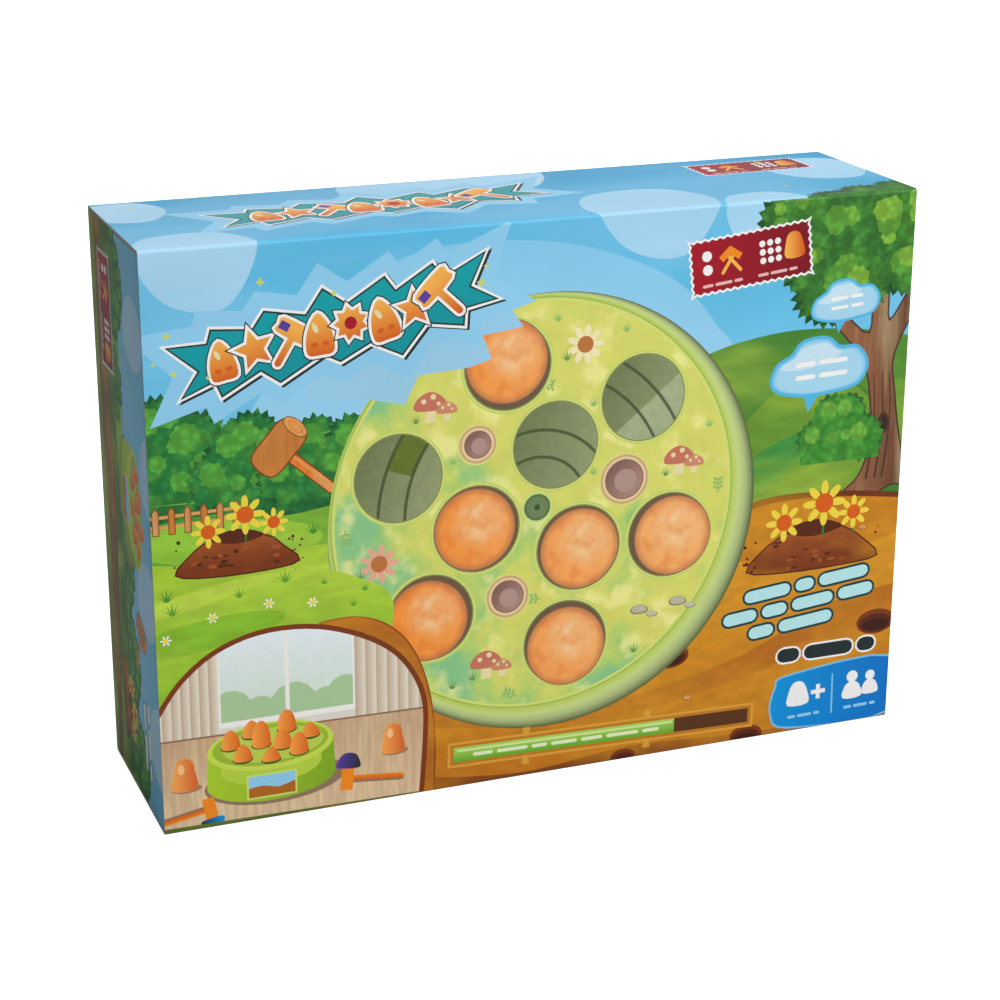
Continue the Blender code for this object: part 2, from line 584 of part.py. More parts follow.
def build_base(drum):
    """The green tub with its posts, gear bosses, battery bay, motor ribs and switch slot."""
    wall_foot = BASE_FLOOR + BASE_CHAMFER
    profile = [
        (0, 0),
        (BASE_RADIUS - BASE_CHAMFER, 0),
        (BASE_RADIUS, BASE_CHAMFER),
        (SKIRT_RADIUS, BASE_TOP),
        (LIP_RADIUS, BASE_TOP),
        (LIP_RADIUS, BASE_TOP + LIP_HEIGHT),
        (LIP_RADIUS - LIP_WALL, BASE_TOP + LIP_HEIGHT),
        (LIP_RADIUS - LIP_WALL, BASE_TOP - LIP_HEIGHT),
        (BASE_RADIUS - SHELL_WALL, wall_foot),
        (BASE_RADIUS - SHELL_WALL - BASE_CHAMFER, BASE_FLOOR),
        (0, BASE_FLOOR),
    ]
    base = place("base_tub", lathe(profile), "green_plastic", drum)
    root = BASE_FLOOR / 2

    pillars = [rod(SCREW_POST_RADIUS, root, SCREW_POST_HEIGHT, screw_place(i)) for i in range(SCREW_COUNT)]
    pivot = [
        (0, root),
        (HUB_RADIUS, root),
        (HUB_RADIUS, HUB_BOTTOM - SEAT_GAP),
        (POST_RADIUS, HUB_BOTTOM - SEAT_GAP),
        (POST_RADIUS, HUB_TOP),
        (0, HUB_TOP),
    ]
    pillars.append(lathe(pivot, ROUND_STEPS))
    for centre in (OUTPUT_CENTRE, MIDDLE_CENTRE):
        pillars.append(rod(GEAR_BOSS_RADIUS, root, GEAR_BOSS_HEIGHT, centre))
    pillars.append(block((*bay_low(BAY_WALL), root), (*bay_high(BAY_WALL), bay_ceiling() + BAY_WALL)))
    pillars += motor_ribs(root)
    boolean(base, "UNION", joined(*pillars), "pillars")
    boolean(base, "UNION", rod(DOOR_TAB_RADIUS, root, DOOR_TAB_BOSS_HEIGHT, tab_centre()), "tab_boss")

    cuts = []
    for i in range(SCREW_COUNT):
        seat = SCREW_POST_HEIGHT - SCREW_SEAT_WALL
        well = [
            (0, -OVERRUN),
            (SCREW_HEAD_RADIUS + SCREW_SLACK, -OVERRUN),
            (SCREW_HEAD_RADIUS + SCREW_SLACK, seat),
            (SCREW_SHANK_RADIUS + SCREW_SLACK, seat),
            (SCREW_SHANK_RADIUS + SCREW_SLACK, SCREW_POST_HEIGHT + OVERRUN),
            (0, SCREW_POST_HEIGHT + OVERRUN),
        ]
        cuts.append(moved(lathe(well, 8), (*screw_place(i), 0)))
    for centre in (OUTPUT_CENTRE, MIDDLE_CENTRE):
        cuts.append(rod(SHAFT_RADIUS + SHAFT_SLACK, BASE_FLOOR, GEAR_BOSS_HEIGHT + OVERRUN, centre, 8))
    cuts.append(rod(PIVOT_SCREW_RADIUS, pivot_screw_low(), HUB_TOP + OVERRUN, steps=8))
    cuts.append(block((*bay_low(), -OVERRUN), (*bay_high(), bay_ceiling())))
    boolean(base, "DIFFERENCE", joined(*cuts), "cuts")

    ledge_level = DOOR_THICKNESS + 2 * SEAT_GAP
    recess = block((*bay_low(DOOR_LEDGE), -OVERRUN), (*bay_high(DOOR_LEDGE), ledge_level))
    lead_ways = [lead_way(side) for side in (-1, 1)]
    boolean(base, "DIFFERENCE", joined(recess, switch_slot(), *lead_ways), "recess")
    tab = rod(DOOR_TAB_RADIUS + SEAT_GAP, -OVERRUN, DOOR_THICKNESS + SEAT_GAP, tab_centre(), ROUND_STEPS)
    boolean(base, "DIFFERENCE", tab, "tab")
    pilot = rod(SCREW_SHANK_RADIUS + SCREW_SLACK, -OVERRUN, DOOR_SCREW_LENGTH + SEAT_GAP, door_screw_place())
    boolean(base, "DIFFERENCE", pilot, "pilot")
    feet = []
    for i in range(FOOT_COUNT):
        spot = polar(FOOT_RING_SHARE * BASE_RADIUS, FOOT_RING_START + i * FULL_TURN / FOOT_COUNT)
        feet.append(rod(FOOT_RADIUS, -FOOT_HEIGHT, root, spot, ROUND_STEPS))
    boolean(base, "UNION", joined(*feet), "feet")


def lead_way(side):
    """The hole in the bay's end wall that a lead comes through."""
    length = 2 * BAY_WALL + OVERRUN
    way = rod(LEAD_RADIUS + SEAT_GAP, -length / 2, length / 2)
    turn = Matrix.Rotation(math.pi / 2, 3, "Y")
    spot = (side * (bay_half_length() + BAY_WALL), bay_high().y - LEAD_BAY_OFFSET, LEAD_HEIGHT)
    return moved(way, spot, turn)


def bay_low(margin=0.0):
    """Low corner of the battery bay in the floor plane, grown by a margin."""
    return Vector((-bay_half_length() - margin, BAY_CENTRE_Y - bay_half_width() - margin))


def bay_high(margin=0.0):
    """High corner of the battery bay in the floor plane, grown by a margin."""
    return Vector((bay_half_length() + margin, BAY_CENTRE_Y + bay_half_width() + margin))


def bay_half_length():
    return CELL_LENGTH / 2 + CONTACT_ROOM


def bay_half_width():
    return CELL_COUNT * CELL_RADIUS + BAY_SLACK


def bay_ceiling():
    return DOOR_THICKNESS + 2 * SEAT_GAP + BAY_DEPTH


def tab_centre():
    """Middle of the door's screw tab, on the bay's side next to the drum's axis."""
    return Vector((0, bay_high(DOOR_LEDGE).y))


def door_screw_place():
    return tab_centre() + Vector((0, DOOR_TAB_RADIUS / 4))


def switch_slot():
    """The slot in the floor that the knob slides in."""
    half_width = KNOB_WIDTH / 2 + KNOB_SLACK
    low = (SWITCH_X - KNOB_LENGTH / 2 - KNOB_SLACK, SWITCH_Y - half_width, -OVERRUN)
    high_x = SWITCH_X + KNOB_LENGTH / 2 + SWITCH_TRAVEL + KNOB_SLACK
    return block(low, (high_x, SWITCH_Y + half_width, BASE_FLOOR + OVERRUN))


def motor_turn():
    """The motor's flat side faces the middle gear."""
    return Matrix.Rotation(math.radians(MOTOR_ANGLE + QUARTER_TURN), 3, "Z")


def motor_ribs(root):
    """Two ribs of the base that hold the motor between them."""
    ribs = []
    for side in (-1, 1):
        near = MOTOR_WIDTH / 2 + SEAT_GAP
        far = near + MOTOR_RIB_THICKNESS
        xs = sorted((side * near, side * far))
        depth = MOTOR_RIB_DEPTH_SHARE * MOTOR_DEPTH
        rib = block((xs[0], -depth, root), (xs[1], depth, MOTOR_RIB_HEIGHT))
        ribs.append(moved(rib, (*MOTOR_CENTRE, 0), motor_turn()))
    return ribs


def pivot_screw_low():
    return HUB_TOP - SCREW_LENGTH - OVERRUN


def build_turntable(drum):
    """The grey-green plate with two lobed tracks, its hub and the ring gear under it."""
    half = TRACK_WIDTH / 2
    outer_low, outer_high = OUTER_RING_RADIUS - half, OUTER_RING_RADIUS + half
    inner_low, inner_high = INNER_RING_RADIUS - half, INNER_RING_RADIUS + half

    def lobe(angle, centres, half_angle, height):
        nearest = min(abs((angle - centre + HALF_TURN) % FULL_TURN - HALF_TURN) for centre in centres)
        share = 1 - nearest / half_angle
        if share <= 0:
            return 0.0
        if share < LOBE_RAMP_SHARE:
            return height * LOBE_SHOULDER_SHARE * share / LOBE_RAMP_SHARE
        return height * (LOBE_SHOULDER_SHARE + (1 - LOBE_SHOULDER_SHARE) * share)

    shape = bmesh.new()
    rings = []
    step_angle = FULL_TURN / TURNTABLE_STEPS
    for i in range(TURNTABLE_STEPS):
        angle = i * step_angle
        outer_level = TRACK_LEVEL + lobe(angle, OUTER_LOBES, OUTER_LOBE_HALF, OUTER_LOBE_HEIGHT)
        inner_level = TRACK_LEVEL + lobe(angle, INNER_LOBES, INNER_LOBE_HALF, INNER_LOBE_HEIGHT)
        section = [
            (HUB_BORE, HUB_BOTTOM),
            (HUB_BORE, HUB_TOP - SEAT_GAP),
            (HUB_RADIUS, HUB_TOP - SEAT_GAP),
            (HUB_RADIUS, PLATE_TOP),
            (inner_low, PLATE_TOP),
            (inner_low, inner_level),
            (inner_high, inner_level),
            (inner_high, PLATE_TOP),
            (outer_low, PLATE_TOP),
            (outer_low, outer_level),
            (outer_high, outer_level),
            (outer_high, PLATE_TOP),
            (PLATE_RADIUS, PLATE_TOP),
            (PLATE_RADIUS, PLATE_BOTTOM),
            (HUB_RADIUS, PLATE_BOTTOM),
            (HUB_RADIUS, HUB_BOTTOM),
        ]
        rings.append([shape.verts.new((*polar(radius, angle), level)) for radius, level in section])
    for here, there in zip(rings, rings[1:] + rings[:1]):
        for i in range(len(here)):
            j = (i + 1) % len(here)
            shape.faces.new((here[i], here[j], there[j], there[i]))
    table = place("turntable", shape, "turntable_plastic", drum)

    outline = gear_outline(RING_MODULE, RING_TEETH)
    wall = circle(RING_RADIUS - DEDENDUM_SHARE * RING_MODULE - RING_GEAR_WALL, steps=RING_TEETH)
    teeth = plate([outline, wall], HUB_BOTTOM, PLATE_BOTTOM + PLATE_THICKNESS / 2)
    boolean(table, "UNION", teeth, "ring_gear")


def build_pivot(drum):
    """The flanged screw that keeps the turntable on its post."""
    flange = HUB_TOP + SEAT_GAP
    head = flange + PIVOT_FLANGE_THICKNESS
    shank = PIVOT_SCREW_RADIUS - SCREW_SLACK
    profile = [
        (0, HUB_TOP - SCREW_LENGTH),
        (shank, HUB_TOP - SCREW_LENGTH),
        (shank, flange),
        (HUB_RADIUS, flange),
        (HUB_RADIUS, head),
        (SCREW_HEAD_RADIUS, head),
        (SCREW_HEAD_RADIUS, head + PIVOT_HEAD_HEIGHT / 2),
        (shank, head + PIVOT_HEAD_HEIGHT),
        (0, head + PIVOT_HEAD_HEIGHT),
    ]
    place("pivot_screw", lathe(profile, SMALL_STEPS), "steel", drum)


def compound_gear(name, centre, wheel, pinion, drum):
    """A wheel and a smaller pinion in one moulding, bored for its shaft."""
    item = place(name, plate([wheel["outline"]], wheel["low"], wheel["high"]), "gear_plastic", drum)
    item.location = (*centre, 0)
    boolean(item, "UNION", plate([pinion["outline"]], pinion["low"], pinion["high"]), "pinion")
    low = min(wheel["low"], pinion["low"]) - OVERRUN
    high = max(wheel["high"], pinion["high"]) + OVERRUN
    boolean(item, "DIFFERENCE", rod(SHAFT_RADIUS + SHAFT_SLACK, low, high, steps=SMALL_STEPS), "bore")
    return item


def build_gears(drum):
    """The two compound gears on their steel shafts."""
    wheel_high = WHEEL_LOW + WHEEL_THICKNESS
    wheel = {"outline": gear_outline(MIDDLE_MODULE, OUTPUT_WHEEL_TEETH), "low": WHEEL_LOW, "high": wheel_high}
    pinion = {
        "outline": gear_outline(RING_MODULE, OUTPUT_PINION_TEETH, OUTPUT_PHASE),
        "low": wheel_high - WHEEL_FUSION,
        "high": GEAR_TOP,
    }
    compound_gear("output_gear", OUTPUT_CENTRE, wheel, pinion, drum)

    middle_low = MOTOR_PINION_LOW + SEAT_GAP
    wheel = {
        "outline": gear_outline(MOTOR_MODULE, MIDDLE_WHEEL_TEETH),
        "low": middle_low,
        "high": middle_low + MIDDLE_WHEEL_THICKNESS,
    }
    pinion = {
        "outline": gear_outline(MIDDLE_MODULE, MIDDLE_PINION_TEETH, MIDDLE_PHASE),
        "low": WHEEL_LOW,
        "high": middle_low + WHEEL_FUSION,
    }
    compound_gear("middle_gear", MIDDLE_CENTRE, wheel, pinion, drum)

    for name, centre in (("output_shaft", OUTPUT_CENTRE), ("middle_shaft", MIDDLE_CENTRE)):
        place(name, rod(SHAFT_RADIUS, BASE_FLOOR + SEAT_GAP, GEAR_TOP, centre), "steel", drum)


def motor_loop(growth=0.0):
    """The motor can's section: round ends joined by two flats."""
    half = MOTOR_DEPTH / 2 + growth
    reach = math.sqrt((MOTOR_WIDTH / 2 + growth) ** 2 - half**2)
    angle = math.degrees(math.atan2(half, reach))
    right = arc(MOTOR_WIDTH / 2 + growth, -angle, angle, MOTOR_CORNER_STEPS)
    left = arc(MOTOR_WIDTH / 2 + growth, HALF_TURN - angle, HALF_TURN + angle, MOTOR_CORNER_STEPS)
    return right + left


def build_motor(drum):
    """The motor can, its end cap, its clamp strap, its shaft and its pinion."""
    turn = motor_turn()
    spot = (*MOTOR_CENTRE, 0)
    cap_high = MOTOR_LOW + MOTOR_CAP_LENGTH
    cap = moved(plate([motor_loop()], MOTOR_LOW, cap_high), spot, turn)
    place("motor_end_cap", cap, "black_plastic", drum)
    can = plate([motor_loop()], cap_high + SEAT_GAP, MOTOR_TOP)
    can = place("motor_can", moved(can, spot, turn), "steel", drum)
    boss = rod(MOTOR_BOSS_RADIUS, MOTOR_TOP - WHEEL_FUSION, MOTOR_TOP + MOTOR_BOSS_HEIGHT, MOTOR_CENTRE)
    boolean(can, "UNION", boss, "boss")
    bore_radius = SHAFT_RADIUS + SHAFT_SLACK
    boolean(can, "DIFFERENCE", rod(bore_radius, MOTOR_TOP, MOTOR_TOP + 2 * OVERRUN, MOTOR_CENTRE), "bore")

    near = MOTOR_WIDTH / 2 + SEAT_GAP
    far = near + MOTOR_RIB_THICKNESS
    depth = MOTOR_RIB_DEPTH_SHARE * MOTOR_DEPTH
    low = MOTOR_TOP + SEAT_GAP
    high = MOTOR_TOP + MOTOR_BOSS_HEIGHT - SEAT_GAP / 2
    outline = [(-far, -depth), (far, -depth), (far, depth), (-far, depth)]
    strap = plate([outline, circle(MOTOR_BOSS_RADIUS + SEAT_GAP, steps=SMALL_STEPS)], low, high)
    clamp = place("motor_clamp", moved(strap, spot, turn), "black_plastic", drum)
    legs = [
        block((side_low, -depth, MOTOR_RIB_HEIGHT + SEAT_GAP), (side_high, depth, (low + high) / 2))
        for side_low, side_high in ((-far, -near), (near, far))
    ]
    boolean(clamp, "UNION", moved(joined(*legs), spot, turn), "legs")

    shaft = rod(SHAFT_RADIUS, MOTOR_TOP + SEAT_GAP, GEAR_TOP, MOTOR_CENTRE, SMALL_STEPS)
    place("motor_shaft", shaft, "steel", drum)
    outline = gear_outline(MOTOR_MODULE, MOTOR_PINION_TEETH, MOTOR_PHASE)
    bore = circle(SHAFT_RADIUS + SHAFT_SLACK, steps=MOTOR_PINION_TEETH)
    pinion = place("motor_pinion", plate([outline, bore], MOTOR_PINION_LOW, GEAR_TOP), "steel", drum)
    pinion.location = (*MOTOR_CENTRE, 0)


def build_screws(drum):
    """The screws that hold the deck to the base, in from the back."""
    seat = SCREW_POST_HEIGHT - SCREW_SEAT_WALL - SEAT_GAP
    profile = [
        (0, seat - SCREW_HEAD_HEIGHT),
        (SCREW_HEAD_RADIUS, seat - SCREW_HEAD_HEIGHT),
        (SCREW_HEAD_RADIUS, seat),
        (SCREW_SHANK_RADIUS, seat),
        (SCREW_SHANK_RADIUS, seat + SCREW_LENGTH),
        (0, seat + SCREW_LENGTH),
    ]
    for i in range(SCREW_COUNT):
        screw = place(f"deck_screw_{i + 1}", lathe(profile, SMALL_STEPS), "steel", drum)
        screw.location = (*screw_place(i), 0)


def build_battery_bay(drum):
    """The door, its screw, the contact plates and the springs."""
    level = SEAT_GAP
    low, high = bay_low(DOOR_LEDGE - SEAT_GAP), bay_high(DOOR_LEDGE - SEAT_GAP)
    door = place("battery_door", block((*low, level), (*high, DOOR_THICKNESS)), "green_plastic", drum)
    tab = rod(DOOR_TAB_RADIUS, level, DOOR_THICKNESS, tab_centre(), ROUND_STEPS)
    boolean(door, "UNION", tab, "tab")
    hole = rod(SCREW_SHANK_RADIUS + SCREW_SLACK, -OVERRUN, DOOR_THICKNESS + OVERRUN, door_screw_place())
    boolean(door, "DIFFERENCE", hole, "hole")
    profile = [
        (0, -DOOR_THICKNESS / 2),
        (DOOR_SCREW_RADIUS, -DOOR_THICKNESS / 2),
        (DOOR_SCREW_RADIUS, 0),
        (SCREW_SHANK_RADIUS, 0),
        (SCREW_SHANK_RADIUS, DOOR_SCREW_LENGTH),
        (0, DOOR_SCREW_LENGTH),
    ]
    place("battery_door_screw", moved(lathe(profile, SMALL_STEPS), (*door_screw_place(), 0)), "steel", drum)
    build_contact("right_battery_contact", 1, (0, 2), drum)
    build_contact("left_battery_contact", -1, (1,), drum)


def build_contact(name, side, cells, drum):
    """A contact plate in one end of the bay, with a coiled spring, kept as a cone, at some of its cells."""
    bottom = bay_ceiling() - SEAT_GAP - CONTACT_HEIGHT
    half_width = bay_half_width() - BAY_SLACK - SEAT_GAP
    wall = bay_half_length() - SEAT_GAP
    face = wall - CONTACT_THICKNESS
    xs = sorted((side * wall, side * face))
    low = (xs[0], BAY_CENTRE_Y - half_width, bottom)
    high = (xs[1], BAY_CENTRE_Y + half_width, bay_ceiling() - SEAT_GAP)
    contact = place(name, block(low, high), "steel", drum)
    turn = Matrix.Rotation(-side * math.pi / 2, 3, "Y")
    cones = []
    for cell in cells:
        y = BAY_CENTRE_Y + (cell - (CELL_COUNT - 1) / 2) * 2 * CELL_RADIUS
        cone = rod(SPRING_BASE_RADIUS, -CONTACT_THICKNESS / 2, SPRING_LENGTH, tip_radius=SPRING_TIP_RADIUS)
        cones.append(moved(cone, (side * face, y, bottom + CONTACT_HEIGHT / 2), turn))
    boolean(contact, "UNION", joined(*cones), "springs")


def build_switch(drum):
    """The knob that slides in the floor, and the switch body over it."""
    level = BASE_FLOOR + SEAT_GAP
    low = (-KNOB_LENGTH / 2, -KNOB_WIDTH / 2, -KNOB_PROUD)
    high = (KNOB_LENGTH / 2, KNOB_WIDTH / 2, BASE_FLOOR + KNOB_REACH)
    knob = place("switch_knob", block(low, high), "black_plastic", drum)
    knob.location = (SWITCH_X, SWITCH_Y, 0)
    middle = SWITCH_X + SWITCH_TRAVEL / 2
    body_low = (middle - SWITCH_BODY_LENGTH / 2, SWITCH_Y - SWITCH_BODY_WIDTH / 2, level)
    body_far = SWITCH_Y + SWITCH_BODY_WIDTH / 2
    body_high = (middle + SWITCH_BODY_LENGTH / 2, body_far, level + SWITCH_BODY_HEIGHT)
    body = place("switch_body", block(body_low, body_high), "steel", drum)
    pocket = switch_slot()
    pocket.transform(Matrix.Translation((0, 0, 2 * SEAT_GAP)))
    boolean(body, "DIFFERENCE", pocket, "pocket")


def smooth_route(route, step):
    """Points spaced about a step apart on a smooth curve through the route's own points."""
    knots = [Vector(point) for point in route]
    knots = [2 * knots[0] - knots[1]] + knots + [2 * knots[-1] - knots[-2]]
    points = []
    for before, start, end, after in zip(knots, knots[1:], knots[2:], knots[3:]):
        count = max(2, round((end - start).length / step))
        for i in range(count):
            t = i / count
            points.append(
                0.5
                * (
                    2 * start
                    + (end - before) * t
                    + (2 * before - 5 * start + 4 * end - after) * t**2
                    + (3 * start - before - 3 * end + after) * t**3
                )
            )
    points.append(knots[-2])
    return points


def build_lead(name, route, finish, drum):
    """One insulated lead along its route, nowhere lower than the drum's floor lets it lie."""
    curve = bpy.data.curves.new(name, "CURVE")
    curve.dimensions = "3D"
    curve.bevel_depth = LEAD_RADIUS
    curve.bevel_resolution = LEAD_BEVEL_RESOLUTION
    curve.use_fill_caps = True
    rest = BASE_FLOOR + SEAT_GAP + LEAD_RADIUS
    points = [(x, y, max(z, rest)) for x, y, z in smooth_route(route, LEAD_STEP)]
    spline = curve.splines.new("POLY")
    spline.points.add(len(points) - 1)
    for knot, point in zip(spline.points, points):
        knot.co = (*point, 1.0)
    curve.materials.append(material(finish))
    item = bpy.data.objects.new(name, curve)
    bpy.context.scene.collection.objects.link(item)
    item.parent = drum


def lead_routes():
    """The knots of the three leads, from the battery contacts and the switch to the motor."""
    rest = BASE_FLOOR + SEAT_GAP + LEAD_RADIUS
    bay_y = bay_high().y - LEAD_BAY_OFFSET
    plate_x = bay_half_length()
    flat = MOTOR_CENTRE + polar(MOTOR_DEPTH / 2 + SEAT_GAP, MOTOR_ANGLE)
    away = polar(LEAD_STRAIGHT, MOTOR_ANGLE)
    across = polar(LEAD_SPACING, MOTOR_ANGLE + QUARTER_TURN)
    switch_level = BASE_FLOOR + SEAT_GAP + SWITCH_BODY_HEIGHT / 2
    middle = SWITCH_X + SWITCH_TRAVEL / 2
    reach = SWITCH_BODY_LENGTH / 2 + SEAT_GAP
    motor_level = rest + LEAD_RADIUS

    def floor(shares):
        return [(x * BASE_RADIUS, y * BASE_RADIUS, rest) for x, y in shares]

    def from_bay(side):
        wall = plate_x + BAY_WALL + LEAD_RADIUS
        return [(side * x, bay_y, LEAD_HEIGHT) for x in (plate_x, wall, wall + LEAD_STRAIGHT)]

    def to_motor(side):
        end = flat + side * across
        return [(*(end + away), motor_level), (*end, motor_level)]

    def at_switch(side):
        return (middle + side * reach, SWITCH_Y, switch_level)

    def before_switch(side):
        return (middle + side * (reach + LEAD_STRAIGHT), SWITCH_Y, switch_level)

    red = from_bay(1) + floor(RED_LEAD_SHARES) + to_motor(-1)
    black = from_bay(-1) + floor(BLACK_LEAD_SHARES) + [before_switch(-1), at_switch(-1)]
    blue = [at_switch(1), before_switch(1)] + floor(BLUE_LEAD_SHARES) + to_motor(1)
    return {"red_lead": red, "black_lead": black, "blue_lead": blue}


def build_labels(drum):
    """The printed disc on the deck and the picture label on the drum's side."""
    low = DECK_LEVEL + LABEL_GAP
    loops = [circle(DECK_RADIUS - DECK_FILLET - LABEL_EDGE, steps=FINE_STEPS)]
    for hole in all_holes():
        loops.append(circle(TUBE_RADIUS + SEAT_GAP, hole))
    for angle, radius in zip(DIMPLE_ANGLES, DIMPLE_RADII):
        loops.append(circle(radius + SEAT_GAP, polar(DIMPLE_RING_RADIUS, angle), SMALL_STEPS))
    loops.append(circle(CENTRE_HOLE_RADIUS + SEAT_GAP, steps=SMALL_STEPS))
    place("deck_label", plate(loops, low, low + LABEL_THICKNESS), "label_print", drum)

    def wall_radius(level):
        rise = (level - BASE_CHAMFER) / (BASE_TOP - BASE_CHAMFER)
        return BASE_RADIUS - BASE_FLARE * rise

    shape = bmesh.new()
    low, high = SIDE_LABEL_LOW_SHARE * BASE_TOP, SIDE_LABEL_HIGH_SHARE * BASE_TOP
    near = LABEL_GAP
    far = LABEL_GAP + LABEL_THICKNESS
    rings = []
    for i in range(SIDE_LABEL_STEPS + 1):
        angle = -QUARTER_TURN + SIDE_LABEL_HALF_ANGLE * (2 * i / SIDE_LABEL_STEPS - 1)
        section = [(low, near), (high, near), (high, far), (low, far)]
        rings.append([shape.verts.new((*polar(wall_radius(z) + gap, angle), z)) for z, gap in section])
    for here, there in zip(rings, rings[1:]):
        for i in range(4):
            j = (i + 1) % 4
            shape.faces.new((here[i], here[j], there[j], there[i]))
    shape.faces.new(rings[0])
    shape.faces.new(rings[-1])
    place("side_label", shape, "label_print", drum)


def mole_shape():
    """A hollow mole with its rim at level zero, a domed head, a snout and two ears."""
    centre = MOLE_HEIGHT - MOLE_HEAD_RADIUS
    inner = MOLE_HEAD_RADIUS - MOLE_WALL
    outside = arc(MOLE_HEAD_RADIUS, 0, QUARTER_TURN, MOLE_DOME_STEPS, (0, centre))
    inside = arc(inner, QUARTER_TURN, 0, MOLE_DOME_STEPS - 1, (0, centre))
    profile = [(MOLE_RIM_RADIUS - MOLE_WALL, 0), (MOLE_RIM_RADIUS, 0), (MOLE_RIM_RADIUS, MOLE_SKIRT)]
    profile += [tuple(point) for point in outside[:-1]] + [(0, MOLE_HEIGHT)]
    profile += [(0, centre + inner)] + [tuple(point) for point in inside[1:]]
    profile += [(MOLE_RIM_RADIUS - MOLE_WALL, MOLE_SKIRT)]
    return lathe(profile, MOLE_STEPS)


def mole_features():
    """The snout and the ears, as ellipsoids sunk into the head."""
    centre = MOLE_HEIGHT - MOLE_HEAD_RADIUS
    reach = MOLE_HEAD_RADIUS
    pieces = []
    for shares, tilt, spin in (
        (SNOUT_RADIUS_SHARES, SNOUT_TILT, 0.0),
        (EAR_RADIUS_SHARES, EAR_TILT, EAR_SPREAD),
        (EAR_RADIUS_SHARES, EAR_TILT, -EAR_SPREAD),
    ):
        lump = ball([share * MOLE_HEAD_RADIUS for share in shares], 6, 4)
        turn = Matrix.Rotation(math.radians(spin), 3, "Z") @ Matrix.Rotation(math.radians(tilt), 3, "Y")
        lump = moved(lump, turn @ Vector((0, 0, reach)), turn)
        pieces.append(moved(lump, (0, 0, centre)))
    return joined(*pieces)


def build_mole(name, spot, spin, parent):
    """One mole: a moulded cup whose features are joined to its head."""
    item = place(name, mole_shape(), "orange_plastic", parent)
    item.location = spot
    item.rotation_euler = (0, 0, math.radians(spin))
    return boolean(item, "UNION", mole_features(), "features")


def build_moles(drum):
    """Six moles in the drum's holes, which slide, and three stowed beside it."""
    seats = [outer_hole(i) for i in FILLED_OUTER_HOLES] + [inner_hole(i) for i in FILLED_INNER_HOLES]
    for number, (seat, spin) in enumerate(zip(seats, MOLE_TURNS), 1):
        build_mole(f"mole_{number}", (*seat, MOLE_SEAT_LEVEL), spin, drum)
    half = SPARE_MOLE_SPACING / 2
    stowed = ((-BAY_CENTRE_X, 0), (BAY_CENTRE_X, -half), (BAY_CENTRE_X, half))
    for number, (x, y) in enumerate(stowed, len(seats) + 1):
        build_mole(f"mole_{number}", (x, y, INSERT_FLOOR), -QUARTER_TURN, None)


def upright(loops, front, back):
    """A plate whose loops are in X and Z, between two depths."""
    shape = plate(loops, -back, -front)
    return moved(shape, turn=Matrix.Rotation(math.pi / 2, 3, "X"))


def build_sleeve():
    """The carton's four walls and its glued lap."""
    half = BOX_HALF_WIDTH
    for name, low, high in (
        ("carton_front", (-half, FRONT_FACE, 0), (half, INNER_FRONT, SLEEVE_HEIGHT)),
        ("carton_back", (-half, INNER_BACK, 0), (half, BACK_FACE, SLEEVE_HEIGHT)),
        ("carton_bottom", (-half, INSERT_FRONT, 0), (half, INSERT_BACK, BOARD)),
        ("carton_top", (-half, INSERT_FRONT, SLEEVE_HEIGHT - BOARD), (half, INSERT_BACK, SLEEVE_HEIGHT)),
    ):
        place(name, block(low, high), "printed_board")
    lap_half = half - GLUE_LAP_INSET
    lap_front = INSERT_BACK - GLUE_LAP_WIDTH
    lap = block((-lap_half, lap_front, LAP_LEVEL - BOARD), (lap_half, INSERT_BACK, LAP_LEVEL))
    place("glue_lap", lap, "grey_board")


def build_end(side, prefix):
    """One end of the carton: a closure flap with its tuck tongue, and two dust flaps."""
    hinge_x = side * BOX_HALF_WIDTH
    panel_low = INSERT_FLOOR
    panel_high = LAP_LEVEL
    depth = INSERT_BACK - INSERT_FRONT
    span = sorted((0, -side * BOARD))
    panel = block((span[0], -depth, panel_low), (span[1], 0, panel_high))
    closure = place(f"{prefix}_closure_flap", panel, "printed_board")
    closure.location = (hinge_x, INSERT_BACK, 0)
    low = panel_low + TONGUE_INSET
    high = panel_high - TONGUE_INSET
    root = -BOARD / 2
    tip = -BOARD - TONGUE_LENGTH
    outline = [
        (side * root, low),
        (side * (tip + TONGUE_CHAMFER), low),
        (side * tip, low + TONGUE_CHAMFER),
        (side * tip, high - TONGUE_CHAMFER),
        (side * (tip + TONGUE_CHAMFER), high),
        (side * root, high),
    ]
    tongue_front = -depth + TONGUE_SETBACK
    boolean(closure, "UNION", upright([outline], tongue_front, tongue_front + BOARD), "tongue")

    hinge_x = side * (BOX_HALF_WIDTH - BOARD - SEAT_GAP)
    front_run = DUST_FLAP_LENGTH * math.tan(math.radians(DUST_FLAP_FRONT_TAPER))
    back_run = DUST_FLAP_LENGTH * math.tan(math.radians(DUST_FLAP_BACK_TAPER))
    near, far = INSERT_FRONT + DUST_FLAP_SIDE_GAP, INSERT_BACK - DUST_FLAP_SIDE_GAP
    for label, level, way in (("top", panel_high, -1), ("bottom", panel_low, 1)):
        reach = way * DUST_FLAP_LENGTH
        outline = [(near, 0), (far, 0), (far - back_run, reach), (near + front_run, reach)]
        flap = plate([outline], span[0], span[1])
        turn = Matrix(((0, 0, 1), (1, 0, 0), (0, 1, 0)))
        item = place(f"{prefix}_{label}_dust_flap", moved(flap, turn=turn), "printed_board")
        item.location = (hinge_x, 0, level)


